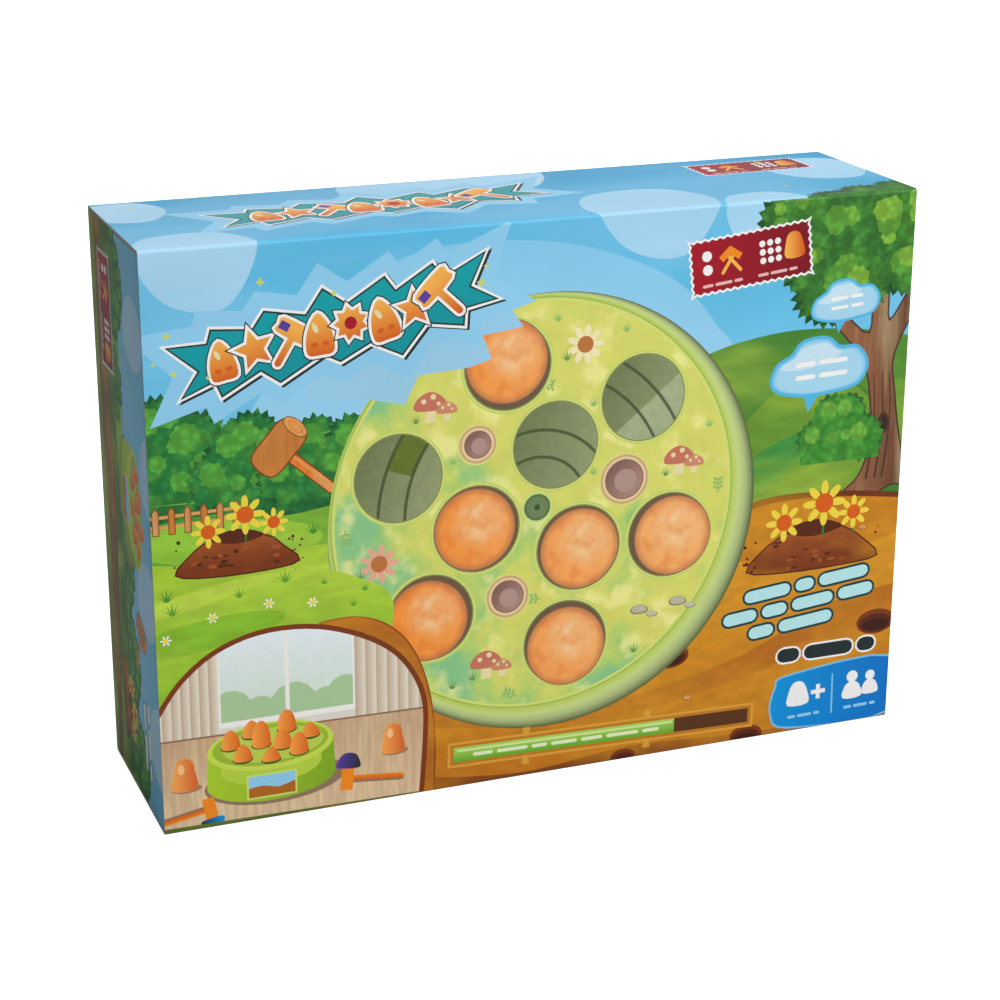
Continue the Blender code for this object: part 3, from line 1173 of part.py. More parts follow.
def build_divider(side, prefix):
    """A card wall beside the drum, with the notched shelf that a hammer hangs on."""
    wall_near = side * DIVIDER_X
    wall_far = side * (DIVIDER_X + BOARD)
    xs = sorted((wall_near, wall_far))
    wall = block((xs[0], INSERT_FRONT + BOARD, INSERT_FLOOR), (xs[1], INSERT_BACK, INSERT_CEILING))
    divider = place(f"{prefix}_divider", wall, "grey_board")
    notch = HANDLE_RADIUS + SHELF_NOTCH_SLACK
    shelf_top = HAMMER_LEVEL - math.sqrt(STRIKER_RADIUS**2 - notch**2) - SEAT_GAP
    reach = DIVIDER_X + BOARD + SHELF_DEPTH
    front = INSERT_FRONT + TONGUE_SETBACK + 2 * BOARD
    back = INSERT_BACK - SEAT_GAP
    handle_y = hammer_y()
    outline = [
        (side * (DIVIDER_X + BOARD / 2), front),
        (side * (BAY_CENTRE_X - notch), front),
        (side * (BAY_CENTRE_X - notch), handle_y + notch),
        (side * (BAY_CENTRE_X + notch), handle_y + notch),
        (side * (BAY_CENTRE_X + notch), front),
        (side * reach, front),
        (side * reach, back),
        (side * (DIVIDER_X + BOARD / 2), back),
    ]
    boolean(divider, "UNION", plate([outline], shelf_top - BOARD, shelf_top), "shelf")


def build_cradle(name, way):
    """A folded card cradle that holds the drum's rim from below or above."""
    level = INSERT_FLOOR if way > 0 else INSERT_CEILING
    half = CRADLE_HALF_WIDTH_SHARE * BASE_RADIUS
    front = DRUM_BASE_Y - CRADLE_FRONT_SHARE * DECK_LEVEL
    back = DRUM_BASE_Y - CRADLE_BACK_SHARE * DECK_LEVEL
    radii = (SKIRT_RADIUS + SEAT_GAP, BASE_RADIUS + SEAT_GAP)
    levels = sorted((level, level + way * BOARD))
    base = block((-half, front, levels[0]), (half, back + CRADLE_CARD, levels[1]))
    cradle = place(name, base, "grey_board")
    cards = []
    for depth, radius in zip((front, back), radii):
        opening = math.degrees(math.asin(half / radius))
        middle = -QUARTER_TURN if way > 0 else QUARTER_TURN
        sweep = arc(radius, middle - opening, middle + opening, CRADLE_ARC_STEPS, (0, DRUM_CENTRE_HEIGHT))
        foot = level + way * BOARD / 2
        corners = [Vector((sweep[-1].x, foot)), Vector((sweep[0].x, foot))]
        cards.append(upright([sweep + corners], depth, depth + CRADLE_CARD))
    boolean(cradle, "UNION", joined(*cards), "cards")


def hammer_y():
    """Depth of the hammers' handles, which centres the heads in the carton."""
    ahead = HEAD_SOCKET_SHARE * HEAD_LENGTH + SEAT_GAP + STRIKER_RIM + STRIKER_RADIUS
    behind = (1 - HEAD_SOCKET_SHARE) * HEAD_LENGTH
    return (ahead - behind) / 2


def build_hammer(prefix, x, plastic):
    """One hammer, hung upright: a handle, a flanged head and a hollow striker facing the front."""
    frame = bpy.data.objects.new(f"{prefix}_hammer_frame", None)
    bpy.context.scene.collection.objects.link(frame)
    frame.location = (x, hammer_y(), HAMMER_LEVEL)
    socket_top = HANDLE_SOCKET_DEPTH
    profile = [
        (0, -HANDLE_LENGTH),
        (HANDLE_KNOB_RADIUS / 2, -HANDLE_LENGTH),
        (HANDLE_KNOB_RADIUS, -HANDLE_LENGTH + HANDLE_KNOB_LENGTH / 4),
        (HANDLE_KNOB_RADIUS, -HANDLE_LENGTH + HANDLE_KNOB_LENGTH * 3 / 4),
        (HANDLE_NECK_RADIUS, -HANDLE_LENGTH + HANDLE_KNOB_LENGTH),
        (HANDLE_RADIUS, -HANDLE_LENGTH / 3),
        (HANDLE_NECK_RADIUS, -HEAD_RADIUS),
        (HANDLE_NECK_RADIUS, socket_top),
        (0, socket_top),
    ]
    place(f"{prefix}_hammer_handle", lathe(profile, SMALL_STEPS), plastic, frame)

    tail = HEAD_TAIL_SHARE * HEAD_LENGTH
    back = -(1 - HEAD_SOCKET_SHARE) * HEAD_LENGTH
    front = HEAD_SOCKET_SHARE * HEAD_LENGTH
    profile = [
        (0, back),
        (HEAD_TAIL_RADIUS, back),
        (HEAD_TAIL_RADIUS, back + tail / 2),
        (HEAD_RADIUS, back + tail),
        (HEAD_RADIUS, front - 2 * HEAD_FLANGE),
        (HEAD_FLANGE_RADIUS, front - HEAD_FLANGE),
        (HEAD_FLANGE_RADIUS, front),
        (0, front),
    ]
    to_front = Matrix.Rotation(math.pi / 2, 3, "X")
    head = place(f"{prefix}_hammer_head", moved(lathe(profile, STRIKER_STEPS), turn=to_front), plastic, frame)
    socket = rod(HANDLE_NECK_RADIUS + SEAT_GAP, -HEAD_RADIUS - OVERRUN, socket_top + SEAT_GAP)
    boolean(head, "DIFFERENCE", socket, "socket")

    rim = front + SEAT_GAP
    shoulder = rim + STRIKER_RIM
    inner = STRIKER_RADIUS - STRIKER_WALL
    outside = arc(STRIKER_RADIUS, 0, QUARTER_TURN, STRIKER_DOME_STEPS, (0, shoulder))
    inside = arc(inner, QUARTER_TURN, 0, STRIKER_DOME_STEPS - 1, (0, shoulder))
    profile = [(STRIKER_RADIUS, rim)] + [tuple(point) for point in outside[:-1]]
    profile += [(0, shoulder + STRIKER_RADIUS), (0, shoulder + inner)]
    profile += [tuple(point) for point in inside[1:]] + [(HEAD_FLANGE_RADIUS / 2, rim + STRIKER_WALL)]
    profile += [(HEAD_FLANGE_RADIUS / 2, rim)]
    striker = moved(lathe(profile, STRIKER_STEPS), turn=to_front)
    place(f"{prefix}_hammer_striker", striker, "indigo_rubber", frame)


def build():
    for item in list(bpy.data.objects):
        bpy.data.objects.remove(item)
    drum = frame_of_drum()
    build_deck(drum)
    build_base(drum)
    build_turntable(drum)
    build_pivot(drum)
    build_gears(drum)
    build_motor(drum)
    build_screws(drum)
    build_battery_bay(drum)
    build_switch(drum)
    for name, route in lead_routes().items():
        build_lead(name, route, name, drum)
    build_labels(drum)
    build_moles(drum)
    build_sleeve()
    for side, prefix in ((1, "right"), (-1, "left")):
        build_end(side, prefix)
        build_divider(side, prefix)
    build_cradle("lower_cradle", 1)
    build_cradle("upper_cradle", -1)
    build_hammer("orange", BAY_CENTRE_X, "orange_plastic")
    build_hammer("blue", -BAY_CENTRE_X, "blue_plastic")


build()
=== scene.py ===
"""Looks of a boxed mole pounding game: a printed carton that holds a round drum game.

The print is laid out flat, in millimetres, as overlapping shapes. Each panel's shapes become one
triangulated skin in which the topmost shape gives every face its ink, and the skin is then folded
round the carton's edges.
"""

import json
import logging
import math
import random
from collections.abc import Callable, Sequence
from dataclasses import dataclass, field, replace
from enum import Enum

import bmesh
import bpy
from mathutils import Matrix, Vector
from mathutils.geometry import delaunay_2d_cdt


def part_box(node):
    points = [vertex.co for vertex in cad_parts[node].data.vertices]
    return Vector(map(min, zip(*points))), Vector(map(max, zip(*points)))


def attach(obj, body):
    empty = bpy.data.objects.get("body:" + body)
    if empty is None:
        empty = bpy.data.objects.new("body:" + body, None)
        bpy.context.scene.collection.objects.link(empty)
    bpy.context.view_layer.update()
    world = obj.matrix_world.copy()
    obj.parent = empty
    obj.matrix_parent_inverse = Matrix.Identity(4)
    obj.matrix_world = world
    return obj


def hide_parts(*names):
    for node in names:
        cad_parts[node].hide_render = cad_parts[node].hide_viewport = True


logging.basicConfig(level=logging.INFO, format="%(message)s")
LOG = logging.getLogger("scene")

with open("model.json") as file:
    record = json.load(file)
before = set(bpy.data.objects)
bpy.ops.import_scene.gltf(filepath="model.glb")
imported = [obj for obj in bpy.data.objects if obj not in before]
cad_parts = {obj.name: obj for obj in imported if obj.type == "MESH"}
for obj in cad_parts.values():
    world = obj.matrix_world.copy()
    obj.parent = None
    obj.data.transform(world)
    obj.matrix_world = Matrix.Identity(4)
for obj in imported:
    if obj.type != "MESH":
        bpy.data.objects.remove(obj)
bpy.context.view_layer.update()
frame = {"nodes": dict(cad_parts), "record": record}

MM = 0.001
Point = tuple[float, float]
Triple = tuple[float, float, float]
Colour = tuple[int, int, int]
Linear = tuple[float, float, float, float]
Socket = bpy.types.NodeSocket
Material = bpy.types.Material
BMesh = bmesh.types.BMesh


def linear(colour: Colour, gain: float = 1.0) -> Linear:
    """Turns a colour of 0 to 255 steps into the opaque linear colour that shaders use.

    Args:
        colour: The colour.
        gain: What its light is multiplied by.

    Returns:
        The linear colour.
    """
    shares = [step / 255 for step in colour]
    light = [share / 12.92 if share <= 0.04045 else ((share + 0.055) / 1.055) ** 2.4 for share in shares]
    return (*[value * gain for value in light], 1.0)


class Tone:
    """The carton's printing colours."""

    SKY = (84, 190, 234)
    SKY_PALE = (148, 212, 246)
    CLOUD = (178, 223, 250)
    WHITE = (250, 250, 248)
    TEAL = (0, 165, 172)
    TEAL_DARK = (0, 120, 135)
    INK = (34, 48, 50)
    ORANGE = (250, 142, 26)
    ORANGE_PALE = (255, 186, 80)
    ORANGE_DEEP = (222, 98, 20)
    RED = (172, 12, 36)
    RED_DEEP = (128, 6, 28)
    LAWN = (166, 206, 52)
    LAWN_PALE = (190, 218, 74)
    LAWN_DEEP = (112, 172, 46)
    HEDGE = (38, 128, 58)
    HEDGE_DARK = (20, 92, 46)
    HEDGE_PALE = (88, 170, 62)
    LEAF = (60, 124, 40)
    LEAF_DARK = (26, 82, 36)
    LEAF_PALE = (132, 184, 60)
    EARTH = (208, 134, 24)
    EARTH_PALE = (222, 154, 36)
    EARTH_DEEP = (184, 106, 28)
    SOIL = (128, 58, 20)
    SOIL_DARK = (92, 38, 16)
    SOIL_PALE = (168, 86, 36)
    BARK_DARK = (78, 50, 40)
    TIMBER = (206, 128, 56)
    TIMBER_PALE = (232, 164, 88)
    BLUE = (20, 148, 222)
    BLUE_DEEP = (0, 116, 202)
    CREAM = (240, 226, 172)
    YELLOW = (246, 220, 70)
    VIOLET = (88, 62, 160)
    DECK = (222, 224, 110)
    DECK_GREEN = (166, 214, 118)
    DECK_TEAL = (124, 202, 150)
    RIM = (206, 232, 140)
    TRACK_DARK = (68, 84, 48)
    LIME = (206, 222, 110)
    SAND = (214, 170, 128)
    SAND_PALE = (238, 214, 164)
    SHADOW = (150, 122, 96)
    TABLE = (226, 196, 160)
    CLAY = (196, 118, 26)
    MEADOW = (96, 176, 60)
    MEADOW_DEEP = (130, 190, 60)


class Ink(Enum):
    """The kinds of printed surface, each with its own grain."""

    PLAIN = "plain"
    SKY = "sky"
    LAWN = "lawn"
    LEAVES = "leaves"
    EARTH = "earth"
    TIMBER = "timber"
    DECK = "deck"
    TRACK = "track"
    DOME = "dome"


class NodeTree:
    """A node tree that is built a node at a time."""

    def __init__(self, tree: bpy.types.NodeTree, prefix: str) -> None:
        """Empties a tree, whose nodes' types mostly start with the prefix."""
        tree.nodes.clear()
        self.tree = tree
        self.prefix = prefix

    def add(self, kind: str, inputs: dict | None = None, **settings: object) -> bpy.types.Node:
        """Adds one node.

        Args:
            kind: The node's type, with or without the prefix.
            inputs: Values, sockets or lists of sockets for its inputs, by name or number.
            settings: Properties of the node itself.

        Returns:
            The new node.
        """
        node = self.tree.nodes.new(kind if "Node" in kind else self.prefix + kind)
        for key, value in settings.items():
            setattr(node, key, value)
        for key, value in (inputs or {}).items():
            for item in value if isinstance(value, list) else [value]:
                if isinstance(item, Socket):
                    self.tree.links.new(item, node.inputs[key])
                else:
                    node.inputs[key].default_value = item
        return node

    def out(self, kind: str, inputs: dict | None = None, **settings: object) -> Socket:
        """Adds one node and gives its first output."""
        return self.add(kind, inputs, **settings).outputs[0]


class Shading(NodeTree):
    """A material's shader nodes."""

    def __init__(self, name: str) -> None:
        """Makes the material with an empty tree."""
        self.material = bpy.data.materials.new(name)
        self.material.use_nodes = True
        super().__init__(self.material.node_tree, "ShaderNode")

    def place(self, scale: Triple = (1, 1, 1), turn: float = 0.0) -> Socket:
        """Object coordinates in millimetres, turned about Y and stretched."""
        inputs = {"Rotation": (0, turn, 0), "Scale": tuple(share / MM for share in scale)}
        return self.out("Mapping", {"Vector": self.add("TexCoord").outputs["Object"]} | inputs)

    def spot(self) -> Socket:
        """The place in a round motif, whose radius is 1."""
        return self.add("Attribute", attribute_name="motif").outputs["Vector"]

    def noise(self, where: Socket, scale: float, detail: float = 3.0) -> Socket:
        """A smooth random value from 0 to 1."""
        return self.out("TexNoise", {"Vector": where, "Scale": scale, "Detail": detail})

    def math(self, operation: str, *values: object) -> Socket:
        """One sum or comparison."""
        return self.out("Math", dict(enumerate(values)), operation=operation)

    def vector(self, operation: str, *values: object) -> Socket:
        """One sum of vectors, or a number where the operation gives one."""
        node = self.add("VectorMath", dict(enumerate(values)), operation=operation)
        return node.outputs[1 if operation in ("LENGTH", "DOT_PRODUCT") else 0]

    def span(self, value: Socket, low: float, high: float, to_low: float = 0, to_high: float = 1) -> Socket:
        """Maps a range of values smoothly to another."""
        inputs = {"Value": value, "From Min": low, "From Max": high, "To Min": to_low, "To Max": to_high}
        return self.out("MapRange", inputs, interpolation_type="SMOOTHSTEP")

    def mix(self, share: Socket, first: object, second: object) -> Socket:
        """Mixes two colours."""
        return self.add("Mix", {"Factor": share, 6: first, 7: second}, data_type="RGBA").outputs[2]

    def bump(self, height: Socket, distance: float) -> Socket:
        """Turns a height into a surface direction, for a relief of some millimetres."""
        return self.out("Bump", {"Height": height, "Distance": distance * MM})

    def surface(self, colour: Socket, roughness: object, **more: object) -> Material:
        """Ends the tree in a Principled shader.

        Args:
            colour: Its base colour.
            roughness: Its roughness.
            more: Its other inputs, with underscores for spaces.

        Returns:
            The finished material.
        """
        inputs = {"Base Color": colour, "Roughness": roughness}
        inputs |= {label.replace("_", " "): value for label, value in more.items()}
        self.add("OutputMaterial", {"Surface": self.out("BsdfPrincipled", inputs)})
        return self.material


@dataclass(frozen=True)
class PrintFinish:
    """Laminated print: the painted colour, varied as its motif is, under a thin gloss."""

    ink: Ink
    stretch: Triple = (1, 1, 1)
    turn: float = 0.0
    coarse: float = 0.03
    fine: float = 0.25
    swing: float = 0.0
    tint: Colour | None = None
    tint_share: float = 0.0
    cell_scale: float = 0.0

    def build(self) -> Material:
        """Builds the ink's material.

        Returns:
            The print under the carton's clear film.
        """
        tree = Shading(f"print_{self.ink.value}")
        where = tree.place(self.stretch, self.turn)
        colour = tree.add("Attribute", attribute_name="ink").outputs["Color"]
        if self.tint:
            share = tree.span(tree.noise(where, self.coarse), 0.42, 0.66, 0, self.tint_share)
            colour = tree.mix(share, colour, linear(self.tint))
        if self.cell_scale:
            lobes = tree.out("TexVoronoi", {"Vector": tree.place(), "Scale": self.cell_scale})
            shade = tree.span(lobes, 0.1, 0.75, 1 + self.swing, 1 - self.swing)
        else:
            shade = tree.span(tree.noise(where, self.fine, 4), 0.3, 0.7, 1 - self.swing, 1 + self.swing)
        colour = tree.out("VectorMath", {0: colour, "Scale": shade}, operation="SCALE")
        card, fibre = tree.noise(tree.place(), 0.035, 2), tree.noise(tree.place(), 1.6, 2)
        relief = tree.bump(tree.math("ADD", card, tree.math("MULTIPLY", fibre, 0.03)), 0.25)
        film = {"Coat_Weight": 0.08, "Coat_Roughness": 0.25, "Specular_IOR_Level": 0.22, "Normal": relief}
        return tree.surface(self.motif(tree, colour), tree.span(fibre, 0.3, 0.7, 0.36, 0.46), **film)

    def motif(self, tree: Shading, colour: Socket) -> Socket:
        """Adds what a round motif has; a plain ink adds nothing."""
        return colour


@dataclass(frozen=True)
class DomeFinish(PrintFinish):
    """The photographed look of a moulded mole: warm, dark at its rim, with soft lumps."""

    lit: Triple = (0.16, 0.22, 0)
    other_place: Triple = (3, 5, 1)
    pale: Colour = (255, 214, 158)
    deep: Colour = (236, 116, 44)
    rim: Colour = (176, 108, 76)

    def motif(self, tree: Shading, colour: Socket) -> Socket:
        """Shades the dome.

        Args:
            tree: The material's nodes.
            colour: The print's colour.

        Returns:
            The colour with its glow, its lumps and its dark rim.
        """
        where = tree.spot()
        glow = tree.span(tree.vector("LENGTH", tree.vector("SUBTRACT", where, self.lit)), 0.1, 0.9, 1, 0)
        sheen = tree.noise(tree.vector("ADD", where, self.other_place), 2.6, 3)
        share = tree.math("MULTIPLY", glow, tree.span(sheen, 0.38, 0.66, 0.35, 0.95))
        colour = tree.mix(share, colour, linear(self.pale))
        lump = tree.span(tree.noise(where, 2.1, 2), 0.34, 0.52, 0.34, 0)
        colour = tree.mix(lump, colour, linear(self.deep))
        return tree.mix(tree.span(tree.vector("LENGTH", where), 0.8, 1.0, 0, 0.55), colour, linear(self.rim))


@dataclass(frozen=True)
class TrackFinish(PrintFinish):
    """The photographed turntable: grey-green, with the concentric lines of its tracks."""

    lines: tuple[float, ...] = (0.231, 0.354, 0.615, 0.737)
    line_width: float = 0.0075

    def motif(self, tree: Shading, colour: Socket) -> Socket:
        """Draws the track lines.

        Args:
            tree: The material's nodes.
            colour: The print's colour.

        Returns:
            The colour with its lines.
        """
        reach = tree.vector("LENGTH", tree.spot())
        for line in self.lines:
            away = tree.math("ABSOLUTE", tree.math("SUBTRACT", reach, line))
            share = tree.span(away, self.line_width * 0.5, self.line_width * 1.4, 0.9, 0)
            colour = tree.mix(share, colour, linear(Tone.TRACK_DARK))
        return colour


@dataclass(frozen=True)
class DeckFinish(PrintFinish):
    """The deck's print: yellow-green, with greener and bluer blotches towards its lower left."""

    slope: Triple = (-0.16, -0.15, 0.0)
    pale: Colour = (255, 250, 164)

    def motif(self, tree: Shading, colour: Socket) -> Socket:
        """Blots the deck.

        Args:
            tree: The material's nodes.
            colour: The print's colour.

        Returns:
            The colour with its blotches.
        """
        where = tree.spot()
        blot = tree.math("ADD", tree.noise(where, 2.8, 4), tree.vector("DOT_PRODUCT", where, self.slope))
        for low, high, tone in ((0.5, 0.64, Tone.DECK_GREEN), (0.6, 0.72, Tone.DECK_TEAL)):
            colour = tree.mix(tree.span(blot, low, high, 0, 0.75), colour, linear(tone))
        return tree.mix(tree.span(tree.noise(where, 5.0, 3), 0.5, 0.66, 0, 0.7), colour, linear(self.pale))


@dataclass(frozen=True)
class BoardFinish:
    """Bare carton board: grey or white pulp with flecks and fibres."""

    name: str
    colour: Colour
    fleck: Colour
    fleck_share: float
    roughness: float

    def build(self) -> Material:
        """Builds the board's material.

        Returns:
            The material.
        """
        tree = Shading(self.name)
        fibre = tree.noise(tree.place((0.3, 1, 1), 0.2), 0.9, 5)
        cloudy = tree.noise(tree.place(), 0.05, 2)
        base = tree.mix(tree.span(cloudy, 0.3, 0.7, 0, 0.35), linear(self.colour), linear(self.colour, 0.86))
        flecks = tree.span(tree.noise(tree.place(), 2.2, 3), 0.6, 0.7, 0, self.fleck_share)
        base = tree.mix(flecks, base, linear(self.fleck))
        relief = tree.bump(tree.math("ADD", fibre, tree.math("MULTIPLY", cloudy, 0.6)), 0.12)
        rough = tree.span(fibre, 0.3, 0.7, self.roughness - 0.06, self.roughness + 0.05)
        return tree.surface(base, rough, Specular_IOR_Level=0.25, Normal=relief)


@dataclass(frozen=True)
class PlasticFinish:
    """Moulded plastic or rubber with a fine grain and soft flow marks."""

    name: str
    colour: Colour
    roughness: float
    grain: float = 0.05
    glow: float = 0.06
    wear: float = 0.12

    def build(self) -> Material:
        """Builds the plastic's material.

        Returns:
            The material.
        """
        tree = Shading(self.name)
        flow = tree.span(tree.noise(tree.place((1, 1, 0.3), 0.3), 0.04, 3), 0.3, 0.7)
        colour = tree.mix(flow, linear(self.colour, 0.93), linear(self.colour, 1.04))
        scuffs = tree.span(tree.noise(tree.place((0.15, 1, 1), 0.7), 1.2, 4), 0.55, 0.75, 0, self.wear)
        skin = {"Normal": tree.bump(tree.noise(tree.place(), 3.5, 2), self.grain), "Specular_IOR_Level": 0.4}
        depth = {"Subsurface_Weight": self.glow, "Subsurface_Scale": 2 * MM}
        return tree.surface(colour, tree.math("ADD", self.roughness, scuffs), **skin, **depth)


@dataclass(frozen=True)
class MetalFinish:
    """Plated steel, drawn or turned, with faint scratches."""

    name: str
    colour: Colour
    roughness: float

    def build(self) -> Material:
        """Builds the metal's material.

        Returns:
            The material.
        """
        tree = Shading(self.name)
        drawn = tree.noise(tree.place((1, 1, 0.04), 0.1), 2.5, 4)
        stain = tree.span(tree.noise(tree.place(), 0.2, 3), 0.45, 0.75, 0, 0.4)
        colour = tree.mix(stain, linear(self.colour), linear(self.colour, 0.7))
        rough = tree.span(drawn, 0.3, 0.7, self.roughness - 0.06, self.roughness + 0.1)
        return tree.surface(colour, rough, Metallic=1.0, Normal=tree.bump(drawn, 0.03))


PRINT_FINISHES = (
    PrintFinish(Ink.PLAIN, fine=0.4, swing=0.015),
    PrintFinish(Ink.SKY, (0.4, 1, 1.2), 0.1, 0.02, 0.03, 0.035, Tone.SKY_PALE, 0.35),
    PrintFinish(Ink.LAWN, (0.35, 1, 1), 0.25, 0.03, 0.16, 0.11, Tone.LAWN_PALE, 0.5),
    PrintFinish(Ink.LEAVES, coarse=0.12, swing=0.2, tint=Tone.HEDGE_PALE, tint_share=0.55, cell_scale=0.3),
    PrintFinish(Ink.EARTH, (0.5, 1, 1), -0.2, 0.03, 0.22, 0.09, Tone.EARTH_PALE, 0.5),
    PrintFinish(Ink.TIMBER, (1, 1, 0.12), 0.05, 0.12, 0.5, 0.12, Tone.CREAM, 0.25),
    DeckFinish(Ink.DECK, fine=0.12, swing=0.04),
    TrackFinish(Ink.TRACK, fine=0.3, swing=0.06),
    DomeFinish(Ink.DOME, fine=0.2, swing=0.04),
)
BOARD_INSIDE = BoardFinish("board_inside", (206, 202, 194), (150, 146, 138), 0.5, 0.78)
BOARD_EDGE = BoardFinish("board_edge", (196, 190, 180), (140, 134, 124), 0.6, 0.85)
LABEL_BACK = BoardFinish("label_back", (236, 234, 228), (220, 216, 208), 0.2, 0.6)
ORANGE_MOLE = PlasticFinish("orange_mole", (250, 134, 44), 0.3, glow=0.14)
BLUE_HAMMER = PlasticFinish("blue_hammer", (44, 136, 212), 0.3, glow=0.1)
INDIGO_STRIKER = PlasticFinish("indigo_striker", (76, 56, 150), 0.6, 0.08, 0.05)
SLOT_FINISHES = {
    "grey_board": BoardFinish("board_grey", (170, 162, 148), (120, 110, 98), 0.6, 0.82),
    "printed_board": BoardFinish("board_flap", (206, 202, 194), (150, 146, 138), 0.5, 0.7),
    "green_plastic": PlasticFinish("green_shell", (150, 200, 40), 0.34),
    "label_print": PlasticFinish("label_paper", (206, 222, 110), 0.4),
    "turntable_plastic": PlasticFinish("turntable_grey", (112, 128, 100), 0.46),
    "orange_plastic": PlasticFinish("orange_toy", (248, 134, 44), 0.32, glow=0.12),
    "blue_plastic": PlasticFinish("blue_toy", (44, 136, 212), 0.32, glow=0.1),
    "indigo_rubber": PlasticFinish("indigo_soft", (76, 56, 150), 0.62, 0.09, 0.05),
    "gear_plastic": PlasticFinish("gear_natural", (228, 226, 208), 0.42, glow=0.2),
    "black_plastic": PlasticFinish("black_moulding", (24, 24, 26), 0.45),
    "red_lead": PlasticFinish("lead_red", (190, 28, 24), 0.4),
    "black_lead": PlasticFinish("lead_black", (20, 20, 22), 0.4),
    "blue_lead": PlasticFinish("lead_blue", (26, 60, 168), 0.4),
    "steel": MetalFinish("steel_plated", (196, 198, 202), 0.28),
}


def finish_nodes() -> None:
    """Gives every CAD node the finish of its slot."""
    finishes = {slot: finish.build() for slot, finish in SLOT_FINISHES.items()}
    for row in frame["record"]["subparts"]:
        data = frame["nodes"][row["node"]].data
        data.materials.clear()
        data.materials.append(finishes[row["material_slot"]])
    LOG.info("finished %d nodes", len(frame["nodes"]))


@dataclass(frozen=True)
class Wash:
    """A colour that changes evenly from one point to another."""

    start: Point
    end: Point
    first: Colour
    last: Colour

    def at(self, point: Point) -> Linear:
        """Mixes the colour at a point.

        Args:
            point: The point.

        Returns:
            Its linear colour.
        """
        way = (self.end[0] - self.start[0], self.end[1] - self.start[1])
        reach = (point[0] - self.start[0]) * way[0] + (point[1] - self.start[1]) * way[1]
        share = min(1.0, max(0.0, reach / (way[0] ** 2 + way[1] ** 2)))
        return tuple(low + (high - low) * share for low, high in zip(linear(self.first), linear(self.last)))


@dataclass(frozen=True)
class Shape:
    """One printed shape: its outline, its ink, what colours it and the round motif that it may be."""

    outline: Sequence[Point]
    ink: Ink
    wash: Wash | Colour
    centre: Point
    radius: float
    mask: int | None

    def colour(self, point: Point) -> Linear:
        """The linear colour at a point."""
        return self.wash.at(point) if isinstance(self.wash, Wash) else linear(self.wash)

    def place(self, point: Point) -> Triple:
        """The point's place in the motif, whose radius is 1."""
        return ((point[0] - self.centre[0]) / self.radius, (point[1] - self.centre[1]) / self.radius, 0.0)


@dataclass
class Sheet:
    """A flat stretch of print inside an outline, and the shapes that are laid on it in order."""

    outline: Sequence[Point]
    shapes: list[Shape] = field(default_factory=list)
    holes: list[Sequence[Point]] = field(default_factory=list)

    def arrange(self, lines: Sequence[float], axis: int) -> tuple[list, list, list]:
        """Cuts the sheet along every outline and fold line.

        Args:
            lines: Where the sheet needs a straight line of points.
            axis: The axis that these places lie along.

        Returns:
            The points, the triangles and each triangle's topmost shape.
        """
        points: list[Point] = []
        faces = []
        for outline in (self.outline, *[shape.outline for shape in self.shapes], *self.holes):
            faces.append(list(range(len(points), len(points) + len(outline))))
            points += outline
        edges = [(len(points) + 2 * index, len(points) + 2 * index + 1) for index in range(len(lines))]
        across = [point[1 - axis] for point in self.outline]
        for line in lines:
            for end in (min(across) - 1, max(across) + 1):
                points.append((line, end) if axis == 0 else (end, line))
        hull, tolerance = 0, 1e-5
        spots = [Vector(point) for point in points]
        found = delaunay_2d_cdt(spots, edges, faces, hull, tolerance, True)
        triangles, owners = [], []
        for corners, sources in zip(found[2], found[5]):
            inside = set(sources)
            if 0 not in inside or max(inside) > len(self.shapes):
                continue
            shapes = [self.shapes[number - 1] for number in sorted(inside - {0}, reverse=True)]
            seen = [shape for shape in shapes if shape.mask is None or shape.mask + 1 in inside]
            if seen:
                triangles.append(corners)
                owners.append(seen[0])
        return [tuple(point) for point in found[0]], triangles, owners


def wound(outline: Sequence[Point]) -> list[Point]:
    """The outline, turned anticlockwise."""
    area = sum(x0 * z1 - x1 * z0 for (x0, z0), (x1, z1) in zip(outline, [*outline[1:], outline[0]]))
    return list(outline) if area > 0 else list(outline)[::-1]


def around(centre: Point, radius: float, angle: float) -> Point:
    """The point at a distance and an angle, in radians, from a centre."""
    return (centre[0] + radius * math.cos(angle), centre[1] + radius * math.sin(angle))


def ring_spot(radius: float, degrees: float) -> Point:
    """The point at a radius and an angle about the origin."""
    return around((0.0, 0.0), radius, math.radians(degrees))


def oblong(left: float, low: float, right: float, high: float) -> list[Point]:
    """The corners of a level rectangle."""
    return [(left, low), (right, low), (right, high), (left, high)]


def ellipse(centre: Point, radii: Point, steps: int = 24, turn: float = 0.0) -> list[Point]:
    """Points round an ellipse.

    Args:
        centre: Its middle.
        radii: Its two radii.
        steps: How many points it has.
        turn: How many degrees it is turned.

    Returns:
        The points.
    """
    lean = math.radians(turn)
    points = []
    for index in range(steps):
        angle = 2 * math.pi * index / steps
        x, z = radii[0] * math.cos(angle), radii[1] * math.sin(angle)
        x, z = x * math.cos(lean) - z * math.sin(lean), x * math.sin(lean) + z * math.cos(lean)
        points.append((centre[0] + x, centre[1] + z))
    return points


